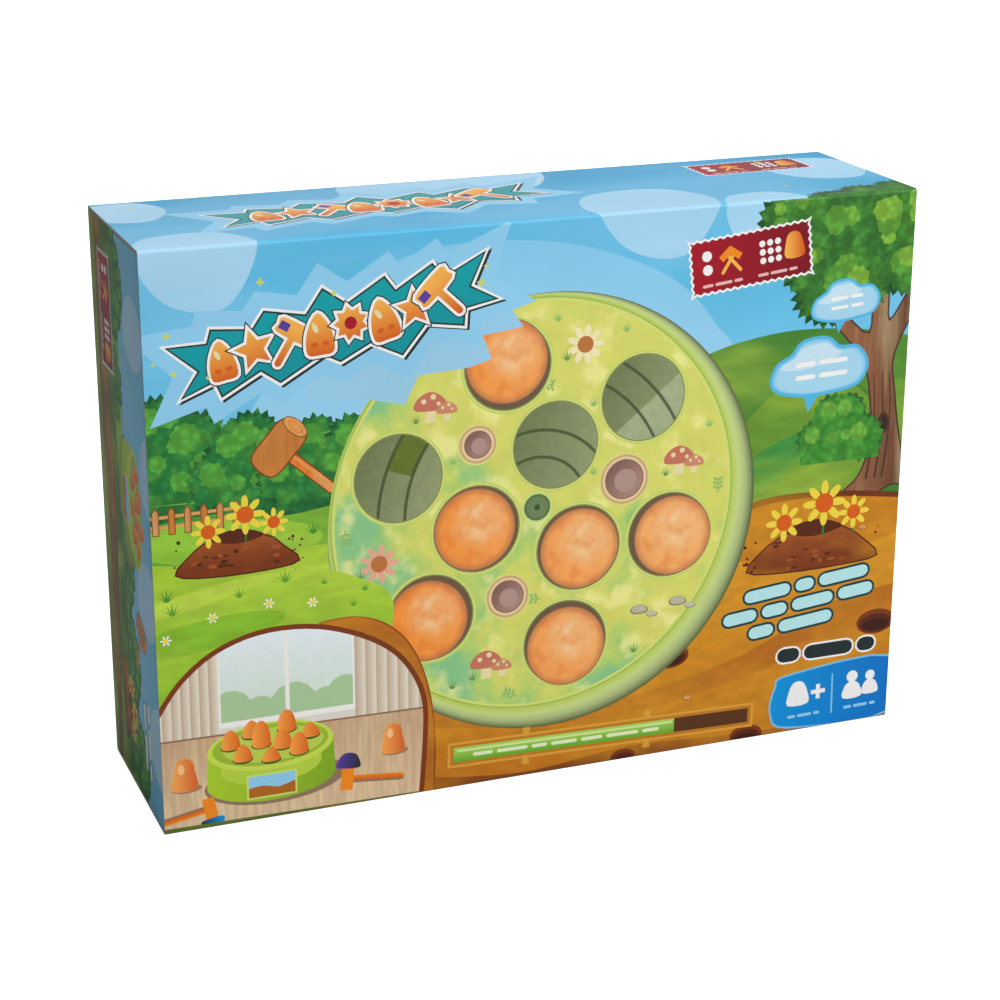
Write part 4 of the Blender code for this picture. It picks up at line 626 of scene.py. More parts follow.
def curve(points: Sequence[Point], steps: int = 5, closed: bool = True) -> list[Point]:
    """A smooth line through some points.

    Args:
        points: The points.
        steps: How many stretches each gap is cut into.
        closed: Whether the line comes back to its start.

    Returns:
        The line's points.
    """
    count = len(points)
    found = []
    for index in range(count if closed else count - 1):
        near = [index + offset for offset in (-1, 0, 1, 2)]
        spots = [points[place % count] if closed else points[min(count - 1, max(0, place))] for place in near]
        for step in range(steps):
            t = step / steps
            weights = (-t + 2 * t**2 - t**3, 2 - 5 * t**2 + 3 * t**3, t + 4 * t**2 - 3 * t**3, t**3 - t**2)
            found.append(tuple(sum(w * spot[axis] for w, spot in zip(weights, spots)) / 2 for axis in (0, 1)))
    return found if closed else [*found, points[-1]]


def ribbon(line: Sequence[Point], start: float, end: float) -> list[Point]:
    """A stroke along a line.

    Args:
        line: The line's points.
        start: Its width at the first point.
        end: Its width at the last.

    Returns:
        The stroke's outline.
    """
    left, right = [], []
    for index, (x, z) in enumerate(line):
        before, after = line[max(0, index - 1)], line[min(len(line) - 1, index + 1)]
        way = Vector((after[0] - before[0], after[1] - before[1])).normalized()
        half = (start + (end - start) * index / (len(line) - 1)) / 2
        left.append((x - way.y * half, z + way.x * half))
        right.append((x + way.y * half, z - way.x * half))
    return left + right[::-1]


def capsule(start: Point, end: Point, width: float, steps: int = 5) -> list[Point]:
    """A straight stroke with round ends.

    Args:
        start: The middle of its first end's round.
        end: The middle of its last end's round.
        width: Its width.
        steps: How many stretches each round end has.

    Returns:
        The stroke's outline.
    """
    way = math.atan2(end[1] - start[1], end[0] - start[0])
    points = []
    for centre, first in ((end, way - math.pi / 2), (start, way + math.pi / 2)):
        points += [around(centre, width / 2, first + math.pi * index / steps) for index in range(steps + 1)]
    return points


def star(centre: Point, outer: float, inner: float, count: int, turn: float = 90.0) -> list[Point]:
    """A star's outline, from the radii of its tips and its notches and the angle of its first tip."""
    angles = [math.radians(turn + 180 * index / count) for index in range(2 * count)]
    return [around(centre, inner if index % 2 else outer, angle) for index, angle in enumerate(angles)]


def outset(outline: Sequence[Point], width: float) -> list[Point]:
    """The outline, moved outwards.

    Args:
        outline: The outline.
        width: How far it moves; its sharp corners are held back.

    Returns:
        The wider outline.
    """
    sharpest = 0.45
    points = [Vector(point) for point in wound(outline)]
    found = []
    for index, point in enumerate(points):
        before = (point - points[index - 1]).normalized()
        after = (points[(index + 1) % len(points)] - point).normalized()
        side = Vector((before.y, -before.x))
        normal = side + Vector((after.y, -after.x))
        normal = normal.normalized() if normal.length > 1e-6 else side
        found.append(tuple(point + normal * width / max(sharpest, normal.dot(side))))
    return found


@dataclass(frozen=True)
class Brush:
    """Lays shapes on a sheet, moved, turned and scaled from where they are drawn."""

    sheet: Sheet
    origin: Point = (0.0, 0.0)
    scale: float = 1.0
    turn: float = 0.0
    mask: int | None = None

    def to_sheet(self, point: Point) -> Point:
        """Finds a drawn point on the sheet.

        Args:
            point: The point as drawn.

        Returns:
            Its place on the sheet.
        """
        lean = math.radians(self.turn)
        x, z = point[0] * self.scale, point[1] * self.scale
        across = self.origin[0] + x * math.cos(lean) - z * math.sin(lean)
        return (across, self.origin[1] + x * math.sin(lean) + z * math.cos(lean))

    def at(self, x: float, z: float, scale: float = 1.0, turn: float = 0.0) -> "Brush":
        """A brush for a motif that is drawn round its own origin."""
        return replace(self, origin=self.to_sheet((x, z)), scale=self.scale * scale, turn=self.turn + turn)

    def inside(self, number: int) -> "Brush":
        """A brush that only marks the inside of a shape."""
        return replace(self, mask=number)

    def fill(
        self,
        outline: Sequence[Point],
        colour: Colour | Wash,
        ink: Ink = Ink.PLAIN,
        centre: Point = (0.0, 0.0),
        radius: float = 1.0,
    ) -> int:
        """Lays one shape.

        Args:
            outline: Its points as drawn.
            colour: Its colour or wash, as drawn.
            ink: Its ink.
            centre: The middle of its motif.
            radius: The radius of its motif.

        Returns:
            The shape's number, for a mask.
        """
        if isinstance(colour, Wash):
            colour = replace(colour, start=self.to_sheet(colour.start), end=self.to_sheet(colour.end))
        points = wound([self.to_sheet(point) for point in outline])
        shape = Shape(points, ink, colour, self.to_sheet(centre), radius * self.scale, self.mask)
        self.sheet.shapes.append(shape)
        return len(self.sheet.shapes) - 1

    def disc(
        self, spot: Point, radius: float, colour: Colour | Wash, steps: int = 24, ink: Ink = Ink.PLAIN
    ) -> None:
        """Lays a disc, whose motif is centred on it."""
        self.fill(ellipse(spot, (radius, radius), steps), colour, ink, spot, radius)

    def edged(
        self,
        outline: Sequence[Point],
        colour: Colour | Wash,
        edge: Colour,
        width: float,
        ink: Ink = Ink.PLAIN,
    ) -> int:
        """Lays a shape with a line round it and gives the shape's number."""
        self.fill(outset(outline, width), edge)
        return self.fill(outline, colour, ink)


def leafy(centre: Point, radius: float, dice: random.Random) -> list[Point]:
    """A round outline with small leaf bumps.

    Args:
        centre: Its middle.
        radius: Its radius.
        dice: What varies the bumps.

    Returns:
        The outline.
    """
    count = max(7, round(radius * 1.6))
    points = []
    for index in range(2 * count):
        reach = radius * (dice.uniform(1.0, 1.1) if index % 2 else dice.uniform(0.84, 0.92))
        points.append(around(centre, reach, math.pi * index / count))
    return points


@dataclass(frozen=True)
class Plants:
    """Bushes, tufts and flowers, drawn with a fixed seed; a bush has a shaded, a plain and a lit tone."""

    brush: Brush
    seed: int = 1
    blades: int = 5
    tones: Sequence[Colour] = (Tone.HEDGE_DARK, Tone.HEDGE, Tone.HEDGE_PALE)

    def bush(self, x: float, z: float, width: float, height: float) -> None:
        """Lays a rounded bush that stands on z.

        Args:
            x: Its middle.
            z: Its foot.
            width: Its width.
            height: Its height.
        """
        dice = random.Random(f"{self.seed} {x:.1f} {z:.1f}")
        count = max(4, round(width / 7))
        lumps = []
        for index in range(count):
            share = (index + 0.5) / count
            rise = height * (0.35 + 0.65 * math.sin(math.pi * share))
            radius = height * dice.uniform(0.2, 0.3)
            lumps.append((x - width / 2 + width * share, z + rise - radius, radius))
        dark, mid, pale = self.tones
        for grow, colour in ((1.3, dark), (1.12, mid)):
            for cx, cz, radius in lumps:
                self.brush.fill(leafy((cx, cz), radius * grow, dice), colour, Ink.LEAVES)
                self.brush.fill(oblong(cx - radius, z, cx + radius, cz), colour, Ink.LEAVES)
        for cx, cz, radius in lumps:
            lit = (cx - radius * 0.25, cz + radius * 0.3)
            self.brush.fill(leafy(lit, radius * 0.55, dice), pale, Ink.LEAVES)
            spot = (cx + dice.uniform(-0.6, 0.6) * radius, cz - dice.uniform(0.9, 1.8) * radius)
            if spot[1] > z + radius * 0.4:
                self.brush.fill(leafy(spot, radius * 0.36, dice), pale, Ink.LEAVES)

    def tuft(self, x: float, z: float, size: float, colour: Colour) -> None:
        """Lays a tuft of grass blades that fan out of one point.

        Args:
            x: Its middle.
            z: Its foot.
            size: Its height.
            colour: Its colour.
        """
        for index in range(self.blades):
            lean = math.radians(-52 + 104 * index / (self.blades - 1))
            reach = size * (1 - 0.25 * abs(index - (self.blades - 1) / 2) / (self.blades / 2))
            tip = (x + reach * math.sin(lean), z + reach * math.cos(lean))
            self.brush.fill([(x - size * 0.1, z), tip, (x + size * 0.1, z)], colour)

    def flower(self, spot: Point, size: float, petal: Colour, heart: Colour, petals: int = 8) -> None:
        """Lays a flower seen from the front.

        Args:
            spot: Its middle.
            size: Its radius.
            petal: The colour of its petals.
            heart: The colour of its heart.
            petals: How many petals it has.
        """
        for index in range(petals):
            turn = 360 * index / petals
            middle = around(spot, size * 0.62, math.radians(turn))
            self.brush.fill(ellipse(middle, (size * 0.36, size * 0.17), 10, turn), petal)
        self.brush.disc(spot, size * 0.42, heart, 14)

    def sprig(self, x: float, z: float, size: float, colour: Colour, turn: float) -> None:
        """Lays a stem with leaves in pairs.

        Args:
            x: Its middle.
            z: Its middle's height.
            size: Its length.
            colour: Its colour.
            turn: How many degrees it leans.
        """
        brush = self.brush.at(x, z, 1, turn)
        brush.fill(capsule((0, -size * 0.5), (0, size * 0.5), size * 0.09, 3), colour)
        for level in (-0.15, 0.15, 0.42):
            for side in (-1, 1):
                spot = (side * size * 0.2, size * level)
                brush.fill(ellipse(spot, (size * 0.21, size * 0.09), 10, side * 35), colour)


def rock(brush: Brush, colour: Colour, shade: Colour) -> None:
    """Lays a pebble of radius 1.

    Args:
        brush: Where to lay it.
        colour: Its colour.
        shade: The colour of its foot.
    """
    upper = [(-1, 0.08), (-0.7, 0.48), (0, 0.68), (0.75, 0.4), (1, -0.08)]
    outline = curve([*upper, (0.5, -0.36), (-0.6, -0.32)], 3)
    brush.fill(outline, shade)
    brush.fill([(x * 0.82, z * 0.8 + 0.1) for x, z in outline], colour)


def mushroom(brush: Brush, cap: Colour) -> None:
    """Lays a mushroom, just over 1 tall, that stands on the origin.

    Args:
        brush: Where to lay it.
        cap: The colour of its cap.
    """
    brush.fill([(-0.22, 0), (0.22, 0), (0.16, 0.6), (-0.16, 0.6)], Tone.CREAM)
    dome = [(-0.62, 0.5), (-0.5, 0.9), (0, 1.15), (0.5, 0.9), (0.62, 0.5), (0, 0.42)]
    brush.fill(curve(dome, 3), cap)
    for spot, radius in (((-0.25, 0.8), 0.1), ((0.12, 0.95), 0.11), ((0.32, 0.68), 0.08)):
        brush.disc(spot, radius, Tone.CREAM, 8)


def mallet(brush: Brush) -> None:
    """Lays a wooden mallet about its head, with its handle towards +X.

    Args:
        brush: Where to lay it.
    """
    wood, edge = (236, 128, 48), Tone.SOIL
    brush.edged(capsule((2, 0), (33, 0), 4.4), wood, edge, 0.6, Ink.TIMBER)
    brush.fill(capsule((9, 0.8), (31, 0.8), 1.2), Tone.TIMBER_PALE)
    barrel = curve([(-6.5, -12), (6, -12.5), (7.6, 0), (6, 12.5), (-6.5, 12), (-8, 0)], 4)
    brush.edged(barrel, Tone.TIMBER, edge, 0.7, Ink.TIMBER)
    end, wide, tall = (-0.3, 12), 6.6, 3.1
    brush.edged(ellipse(end, (wide, tall), 16), Tone.TIMBER_PALE, edge, 0.4, Ink.TIMBER)
    for ring in (0.66, 0.33):
        for share, colour in ((ring, wood), (ring * 0.8, Tone.TIMBER_PALE)):
            brush.fill(ellipse(end, (wide * share, tall * share), 12), colour)


def mound(brush: Brush, width: float, seed: int, flowers: bool = True) -> None:
    """Lays a dug mound of earth on its own foot, with loose crumbs beside it.

    Args:
        brush: Where to lay it.
        width: Its width.
        seed: What varies it.
        flowers: Whether flowers grow on it.
    """
    dice = random.Random(seed)
    half, steps = width / 2, 12
    crest = []
    for index in range(steps + 1):
        share = index / steps
        rise = 0.30 * width * math.sin(math.pi * share) ** 0.6
        crest.append((-half + width * share, rise + dice.uniform(-0.4, 0.5)))
    foot = [(half * 1.12, -1.2), (half * 0.5, -3.4), (-half * 0.5, -3.6)]
    outline = curve([(-half * 1.12, -1.2), *crest[1:-1], *foot], 3)
    earth = Wash((0, 0), (0, 0.3 * width), Tone.SOIL, Tone.SOIL_PALE)
    brush.edged(outline, earth, Tone.SOIL_DARK, 0.7, Ink.EARTH)
    for _ in range(16):
        spot = (dice.uniform(-0.8, 0.8) * half, dice.uniform(-0.04, 0.2) * width)
        clod = ellipse(spot, (dice.uniform(1, 2.2), dice.uniform(0.5, 1)), 7)
        brush.fill(clod, dice.choice([Tone.SOIL_DARK, Tone.SOIL_PALE]))
    hollow = [(-half * 0.5, 0.26 * width), (0, 0.34 * width), (half * 0.5, 0.26 * width), (0, 0.2 * width)]
    brush.fill(curve(hollow, 4), Tone.SOIL_DARK)
    for _ in range(12):
        side = dice.choice([-1, 1])
        spot = (side * half * dice.uniform(0.95, 1.2), dice.uniform(-3, 12))
        brush.disc(spot, dice.uniform(0.4, 1.0), Tone.SOIL_DARK, 6)
    for x, z, size in ((-0.26, 0.34, 0.16), (0.08, 0.46, 0.19), (0.34, 0.36, 0.14)) if flowers else ():
        brush.fill(capsule((x * width, 0.2 * width), (x * width, z * width), width * 0.018), Tone.LEAF)
        Plants(brush).flower((x * width, z * width), size * width, Tone.YELLOW, Tone.ORANGE_DEEP)


def cloud() -> list[Point]:
    """The outline of a cloud about its own middle, some 40 mm wide."""
    upper = [(-20, -4), (-19, 4), (-12, 8), (-7, 13), (3, 13.5), (9, 9), (17, 8), (21, 1)]
    return curve([*upper, (17, -6), (6, -8), (-8, -8)], 4)


def band(turns: Point, radii: Point) -> list[Point]:
    """Part of a ring about the origin.

    Args:
        turns: Its first and last angle in degrees.
        radii: Its inner and outer radius.

    Returns:
        The outline.
    """
    steps, (first, last) = 8, turns
    inner = [ring_spot(radii[0], first + (last - first) * step / steps) for step in range(steps + 1)]
    return inner + [ring_spot(radii[1], last - (last - first) * step / steps) for step in range(steps + 1)]


def strokes(
    brush: Brush,
    widths: Sequence[float],
    gap: float,
    height: float,
    colour: Colour,
    edge: Colour | None = None,
    rim: float = 0.9,
) -> None:
    """Lays a row of plain round-ended strokes, centred on the brush.

    Args:
        brush: Where to lay them.
        widths: The width of each.
        gap: The gap between two.
        height: Their height.
        colour: Their colour.
        edge: The colour of the line round each, if it has one.
        rim: The width of that line.
    """
    for grow, tint in ((rim, edge), (0.0, colour)):
        left = -(sum(widths) + gap * (len(widths) - 1)) / 2
        for width in widths:
            if tint:
                right = left + max(width, height * 1.02)
                brush.fill(capsule((left + height / 2, 0), (right - height / 2, 0), height + 2 * grow), tint)
            left += width + gap


@dataclass(frozen=True)
class Art:
    """Printed artwork that is laid with a brush."""

    brush: Brush

    def sparks(self, *places: Triple) -> None:
        """Lays small four-pointed stars, each given by its place and its size."""
        for x, z, size in places:
            self.brush.fill(star((x, z), size, size * 0.5, 4, 80), Tone.LIME)


@dataclass(frozen=True)
class Banner(Art):
    """The teal burst with a row of orange toy shapes on it."""

    BURST = (
        (-76, -12), (-66, -2), (-78, 12), (-60, 9), (-57, 15), (-38, 10), (-31, 17), (-12, 10), (-2, 20),
        (8, 10), (28, 18), (32, 10), (52, 18), (56, 10), (78, 17), (68, 3), (80, -6), (64, -6), (62, -14),
        (44, -8), (30, -20), (16, -10), (0, -15), (-8, -9), (-30, -17), (-38, -9), (-58, -16), (-60, -8),
    )
    KINDS = ("mole", "star", "hammer", "mole", "flower")
    PARTS = {
        "mole": [curve([(-5.2, -7), (0, -8), (5.2, -7), (4.6, 1.4), (0, 8), (-4.6, 1.4)], 4)],
        "star": [star((0, 0), 7.8, 3.6, 5)],
        "flower": [star((0, 0), 7.2, 5.0, 9)],
        "hammer": [
            capsule((0, -8), (0, 4), 2.8),
            curve([(-7, 3), (7, 3), (7.6, 6), (7, 9.4), (-7, 9.4), (-7.6, 6)], 3),
        ],
    }

    def lay(self) -> None:
        """Lays the burst, its shadow lines and its shapes."""
        brush = self.brush
        brush.fill(outset(self.BURST, 9.5), Tone.SKY_PALE, Ink.SKY)
        brush.at(1.2, -1.2).fill(outset(self.BURST, 2.0), Tone.INK)
        brush.fill(outset(self.BURST, 2.2), Tone.WHITE)
        brush.fill(outset(self.BURST, 0.9), Tone.INK)
        brush.fill(self.BURST, Wash((0, -18), (0, 18), (0, 150, 160), Tone.TEAL))
        for index in range(8):
            lift, size = 1.5 * math.sin(index * 2.1), 1.18 + 0.08 * (index % 2)
            self.toy(brush.at(-55 + 15.8 * index, lift, size, 6 * math.sin(index * 1.7)), index)

    def toy(self, brush: Brush, index: int) -> None:
        """Lays one toy shape with a dark and a white line round it.

        Args:
            brush: Where to lay it.
            index: Its place in the row, which chooses its kind.
        """
        kind = self.KINDS[index % len(self.KINDS)]
        if kind == "hammer":
            brush = brush.at(0, 0, 1, 40 if index % 2 else -40)
        for grow, colour in ((1.6, Tone.INK), (1.1, Tone.WHITE)):
            for part in self.PARTS[kind]:
                brush.fill(outset(part, grow), colour)
        for part in self.PARTS[kind]:
            brush.fill(part, Wash((0, -8), (0, 8), Tone.ORANGE_DEEP, Tone.ORANGE_PALE))
        if kind == "mole":
            for side in (-1, 1):
                brush.fill(ellipse((side * 2.21, -3.8), (1.5, 1.0), 10), Tone.ORANGE_DEEP)
            brush.fill(ellipse((-1.4, 2.6), (1.0, 2.2), 10, 20), Tone.CREAM)
        elif kind == "flower":
            brush.disc((0, 0), 2.6, Tone.RED, 14)
        elif kind == "hammer":
            brush.fill(oblong(-7.2, 4.6, -3, 8), Tone.VIOLET)


@dataclass(frozen=True)
class DrumPicture(Art):
    """The printed picture of the round game, drawn about the middle of its holes."""

    outer_ring: float = 62.7
    inner_ring: float = 27.1
    hole: float = 18.2
    deck: float = 89.0
    wall: float = 94.2
    wall_shift: Point = (4.7, -4.2)
    wall_steps: int = 12
    empty: tuple[int, ...] = (0, 2, 6)
    shaded: int = 2
    dimples: tuple[Point, ...] = ((11.0, 8.2), (131.0, 5.4), (251.0, 6.7))
    dimple_ring: float = 39.5

    WALL_TONES = (
        (0.0, (98, 112, 68)), (0.12, (138, 152, 102)), (0.36, (182, 200, 134)), (0.7, (208, 224, 140)),
        (1.0, (190, 214, 96)),
    )
    HUB_TONES = ((6.6, Tone.RIM), (5.8, (96, 122, 78)), (4.6, (112, 138, 92)), (1.3, Tone.TRACK_DARK))
    MOTIFS = (
        (73, 70, "flower"), (133, 66, "mushroom"), (193, 70, "flower"), (252, 69, "mushroom"),
        (312, 70, "pebbles"), (12, 66, "mushroom"), (60, 49, "tuft"), (86, 52, "sprig"), (146, 44, "tuft"),
        (176, 40, "sprig"), (216, 44, "tuft"), (268, 40, "sprig"), (303, 44, "tuft"), (28, 28, "tuft"),
        (345, 44, "sprig"), (20, 82, "tuft"), (62, 82, "tuft"), (124, 82, "tuft"), (182, 82, "sprig"),
        (243, 82, "tuft"), (262, 82, "sprig"), (303, 82, "tuft"), (322, 82, "pebbles"), (0, 82, "sprig"),
        (84, 80, "tuft"),
    )

    def lay(self) -> None:
        """Lays the drum from its wall up to its hub."""
        self.lay_wall()
        for inset, colour in ((0.6, (168, 192, 84)), (1.2, (216, 230, 124))):
            self.brush.disc((0, 0), self.deck - inset, colour, 96)
        self.brush.disc((0, 0), self.deck - 2.4, Tone.DECK, 96, Ink.DECK)
        self.lay_motifs()
        for index, spot in enumerate(self.holes()):
            for grow, colour in ((1.9, (206, 222, 108)), (1.1, (222, 232, 136)), (0.6, (140, 150, 84))):
                self.brush.disc(spot, self.hole + grow, colour, 40)
            if index in self.empty:
                self.lay_track(spot, index == self.shaded)
            else:
                self.lay_mole(spot)
        for angle, radius in self.dimples:
            self.lay_dimple(ring_spot(self.dimple_ring, angle), radius)
        for radius, colour in self.HUB_TONES:
            self.brush.disc((0, 0), radius, colour, 20)

    def holes(self) -> list[Point]:
        """The middles of the six outer and the three inner holes."""
        outer = [ring_spot(self.outer_ring, 42 + 60 * index) for index in range(6)]
        return outer + [ring_spot(self.inner_ring, 73 + 120 * index) for index in range(3)]

    def lay_wall(self) -> None:
        """Lays the drum's side, as ever smaller discs from its foot to its deck."""
        for index in range(self.wall_steps + 1):
            share = index / self.wall_steps
            pairs = zip(self.WALL_TONES, self.WALL_TONES[1:])
            (low, first), (high, last) = next(pair for pair in pairs if share <= pair[1][0])
            part = (share - low) / (high - low)
            colour = tuple(round(a + (b - a) * part) for a, b in zip(first, last))
            across, up = self.wall_shift
            centre = (across * (1 - share), up * (1 - share))
            self.brush.disc(centre, self.wall + (self.deck - self.wall) * share, colour, 96)

    def lay_motifs(self) -> None:
        """Lays the small garden pictures between the holes."""
        brush, plants = self.brush, Plants(self.brush)
        leaf, pale = (104, 160, 84), (150, 196, 110)
        for angle, reach, kind in self.MOTIFS:
            x, z = ring_spot(reach, angle)
            if kind == "flower":
                petal = (250, 240, 190) if angle < 100 else (240, 176, 150)
                plants.flower((x, z), 8.5, petal, (196, 120, 60), 9)
                plants.tuft(x - 8, z - 6, 5, leaf)
            elif kind == "mushroom":
                mushroom(brush.at(x - 1, z - 7, 11), (206, 120, 96))
                mushroom(brush.at(x + 6, z - 7, 7), (214, 142, 110))
                plants.tuft(x - 7, z - 7, 4.5, leaf)
            elif kind == "pebbles":
                rock(brush.at(x, z, 4.2), (196, 190, 168), (150, 140, 118))
                rock(brush.at(x + 6, z - 2.5, 2.6), (206, 200, 180), (156, 148, 124))
            elif kind == "sprig":
                plants.sprig(x, z, 6.5, pale, angle * 3)
            else:
                plants.tuft(x, z - 2, 5, leaf if angle % 2 else pale)

    def lay_track(self, spot: Point, shaded: bool) -> None:
        """Lays the turntable that shows in an empty hole.

        Args:
            spot: The hole's middle.
            shaded: Whether the track in it lies in shade.
        """
        x, z = spot
        wash = Wash((x - self.hole, z), (x + self.hole, z - self.hole), (118, 130, 86), (158, 168, 122))
        motif = {"ink": Ink.TRACK, "radius": 93.0}
        inside = self.brush.inside(self.brush.fill(ellipse(spot, (self.hole, self.hole), 40), wash, **motif))
        angle = math.degrees(math.atan2(z, x))
        if shaded:
            inside.fill(band((angle - 24, angle - 2), (57.2, 68.2)), (104, 120, 44), **motif)
        elif x > self.hole:
            inside.fill(band((angle - 30, angle - 3), (30.0, 90.0)), (170, 182, 140), **motif)

    def lay_mole(self, spot: Point) -> None:
        """Lays the mole that fills a hole and leans a little away from the hub.

        Args:
            spot: The hole's middle.
        """
        away = 1.03
        middle = (spot[0] * away, spot[1] * away)
        self.brush.disc(spot, self.hole, (112, 92, 66), 40)
        self.brush.disc(middle, self.hole - 0.5, (166, 112, 80), 36)
        glow = Wash((-60, 0), (45, 0), (255, 152, 56), (255, 180, 106))
        self.brush.disc(middle, self.hole - 1.0, glow, 36, Ink.DOME)

    def lay_dimple(self, spot: Point, radius: float) -> None:
        """Lays one burrow with its pale earth ring.

        Args:
            spot: Its middle.
            radius: Its radius.
        """
        (x, z), disc = spot, self.brush.disc
        rings = ((3.4, (226, 226, 130)), (2.5, Tone.SAND), (1.6, Tone.SAND_PALE), (0.5, (150, 104, 84)))
        for grow, colour in rings:
            disc(spot, radius + grow, colour, 28)
        wash = Wash((x - radius, z + radius), (x + radius, z - radius), (122, 84, 78), (186, 148, 136))
        disc(spot, radius, wash)
        disc((x + 0.5, z - 0.6), radius * 0.62, (184, 150, 140), 18)


@dataclass(frozen=True)
class SmallDrum(Art):
    """The game seen from the side on a table, drawn about the middle of its deck."""

    half: float = 27.0
    tall: float = 15.0

    MOLES = (
        (-8, 5.6, 4), (7, 6.2, 6), (-17, 1.6, 5), (17, 2.0, 3), (-4, 0.8, 8), (5, -1.2, 5), (-12, -4.6, 4),
        (12, -4.8, 6), (0, -6.4, 3),
    )

    def lay(self) -> None:
        """Lays the drum's shadow, its wall and its deck with the moles up."""
        brush, half, tall = self.brush, self.half, self.tall
        brush.fill(ellipse((1.5, -tall - 1), (half * 1.12, half * 0.38), 36), Tone.SHADOW)
        green = Wash((-half, 0), (half, 0), (176, 212, 48), (132, 176, 36))
        brush.fill(self.side(half, 1.02, 0.36, 0, tall), green)
        brush.fill(self.side(half * 0.8, 1, 0.375, -6, 9), (188, 218, 70))
        number = brush.edged(oblong(-10, -22.5, 10, -13), Tone.SKY_PALE, (210, 230, 120), 0.8)
        hill = curve([(-12, -19), (-4, -17.6), (3, -19), (12, -17.2), (12, -24), (-12, -24)], 3)
        brush.inside(number).fill(hill, Tone.EARTH_DEEP)
        brush.fill(ellipse((0, 0), (half, half * 0.4), 40), (206, 228, 84))
        brush.fill(ellipse((0, 0.6), (half * 0.92, half * 0.34), 36), (160, 192, 56))
        brush.fill(ellipse((1, 0.4), (half * 0.8, half * 0.28), 30), (192, 216, 84))
        for x, z, lift in self.MOLES:
            brush.fill(ellipse((x, z), (4.4, 1.9), 16), (70, 96, 30))
            head = [(x + 3.1, z + lift), (x, z + lift + 3), (x - 3.1, z + lift)]
            dome = curve([(x - 3.6, z - 0.5), (x + 3.6, z - 0.5), *head], 3)
            brush.fill(dome, Wash((x - 3.6, z), (x + 3.6, z), (255, 168, 70), (232, 104, 30)))

    def side(self, half: float, wide: float, deep: float, top: float, foot: float) -> list[Point]:
        """The outline of the wall or of a stripe on it, with a round lower edge.

        Args:
            half: Half its width at the top.
            wide: The lower edge's half width, as a share of that.
            deep: The lower edge's depth, as a share of it.
            top: The height of its top.
            foot: How far the lower edge's middle line lies under the deck.

        Returns:
            The outline.
        """
        turns = [math.pi + math.pi * step / 18 for step in range(19)]
        edge = [(half * wide * math.cos(turn), half * deep * math.sin(turn) - foot) for turn in turns]
        return [(-half, top), *edge, (half, top)]


def toy_hammer(brush: Brush, head: Colour) -> None:
    """Lays one of the game's hammers, lying with its handle towards +X.

    Args:
        brush: Where to lay it.
        head: The colour of its striker.
    """
    brush.fill(capsule((0, -0.8), (26, -0.8), 3.2), Tone.SHADOW)
    brush.fill(capsule((0, 0), (26, 0), 2.6), Wash((0, -1.3), (0, 1.3), Tone.ORANGE_DEEP, Tone.ORANGE))
    brush.fill(oblong(-3, -6, 3, 6), Tone.ORANGE)
    dome = curve([(-5, 5), (5, 5), (5.4, 8), (3.4, 11.6), (0, 12.6), (-3.4, 11.6), (-5.4, 8)], 3)
    brush.fill(dome, Wash((-5, 0), (5, 0), head, Tone.INK))


@dataclass(frozen=True)
class TablePicture(Art):
    """The picture panel with the game set out on a table in a bright room."""

    def lay(self) -> None:
        """Lays the panel from its back wall to the toys."""
        arch = [(-166, 50), (-156, 64), (-142, 75), (-124, 81), (-104, 81), (-86, 76), (-70, 67), (-60, 55)]
        outline = curve([*arch, (-55, 40), (-55.5, 18)], 4, False) + [(-57, 0), (-57, -1), (-166, -1)]
        self.brush.fill(outset(outline, 2.2), Tone.SOIL)
        number = self.brush.fill(outline, Wash((0, 40), (0, 84), (232, 226, 214), (206, 204, 198)))
        inside = self.brush.inside(number)
        self.lay_window(inside)
        for left, right in ((-168, -141), (-84, -52)):
            edges = [left + (right - left) * step / 7 for step in range(8)]
            for low, high in zip(edges, edges[1:]):
                cloth = Wash((low, 0), (high, 0), (196, 176, 150), (240, 230, 212))
                inside.fill(oblong(low, 36, high, 92), cloth)
        top = Wash((0, 0), (0, 40), Tone.TABLE, (206, 170, 134))
        inside.fill([(-168, -2), (-50, -2), (-50, 39), (-168, 41)], top, Ink.TIMBER)
        inside.fill([(-168, 40.4), (-50, 38.4), (-50, 39.2), (-168, 41.2)], (150, 112, 82))
        SmallDrum(inside.at(-120, 32.5, 0.98)).lay()
        toy_hammer(inside.at(-88, 12.5, 0.9, -6), Tone.VIOLET)
        toy_hammer(inside.at(-146, 8.5, 0.85, 190), Tone.BLUE)
        for x, z, size in ((-156, 24, 0.95), (-68, 26, 0.9)):
            self.cup(inside.at(x, z, size))

    def lay_window(self, brush: Brush) -> None:
        """Lays the window with the garden outside.

        Args:
            brush: Where to lay it.
        """
        daylight = Wash((0, 44), (0, 80), (214, 232, 214), (236, 246, 250))
        glass = brush.fill(oblong(-141, 44, -84, 90), daylight)
        for x, z, radius in ((-136, 50, 9), (-124, 47, 8), (-110, 49, 10), (-96, 47, 8), (-88, 51, 8)):
            brush.inside(glass).disc((x, z), radius, (176, 208, 160), 14)
        for x in (-141, -112.5, -84):
            brush.fill(oblong(x - 0.9, 44, x + 0.9, 90), (248, 246, 240))
        brush.fill(oblong(-143, 43, -82, 45.4), (250, 248, 244))

    def cup(self, brush: Brush) -> None:
        """Lays a mole that stands on the table.

        Args:
            brush: Where to lay it.
        """
        brush.fill(ellipse((0.8, -5.2), (6.6, 2.0), 18), (160, 130, 102))
        body = curve([(-5.6, -5), (0, -6.4), (5.6, -5), (4.4, 3), (3.6, 7), (0, 9), (-3.6, 7), (-4.4, 3)], 3)
        brush.fill(body, Wash((-5, 0), (5, 0), (255, 170, 84), (224, 104, 40)))
        brush.fill(ellipse((-1.4, 4), (1.5, 2.4), 10), (255, 202, 140))


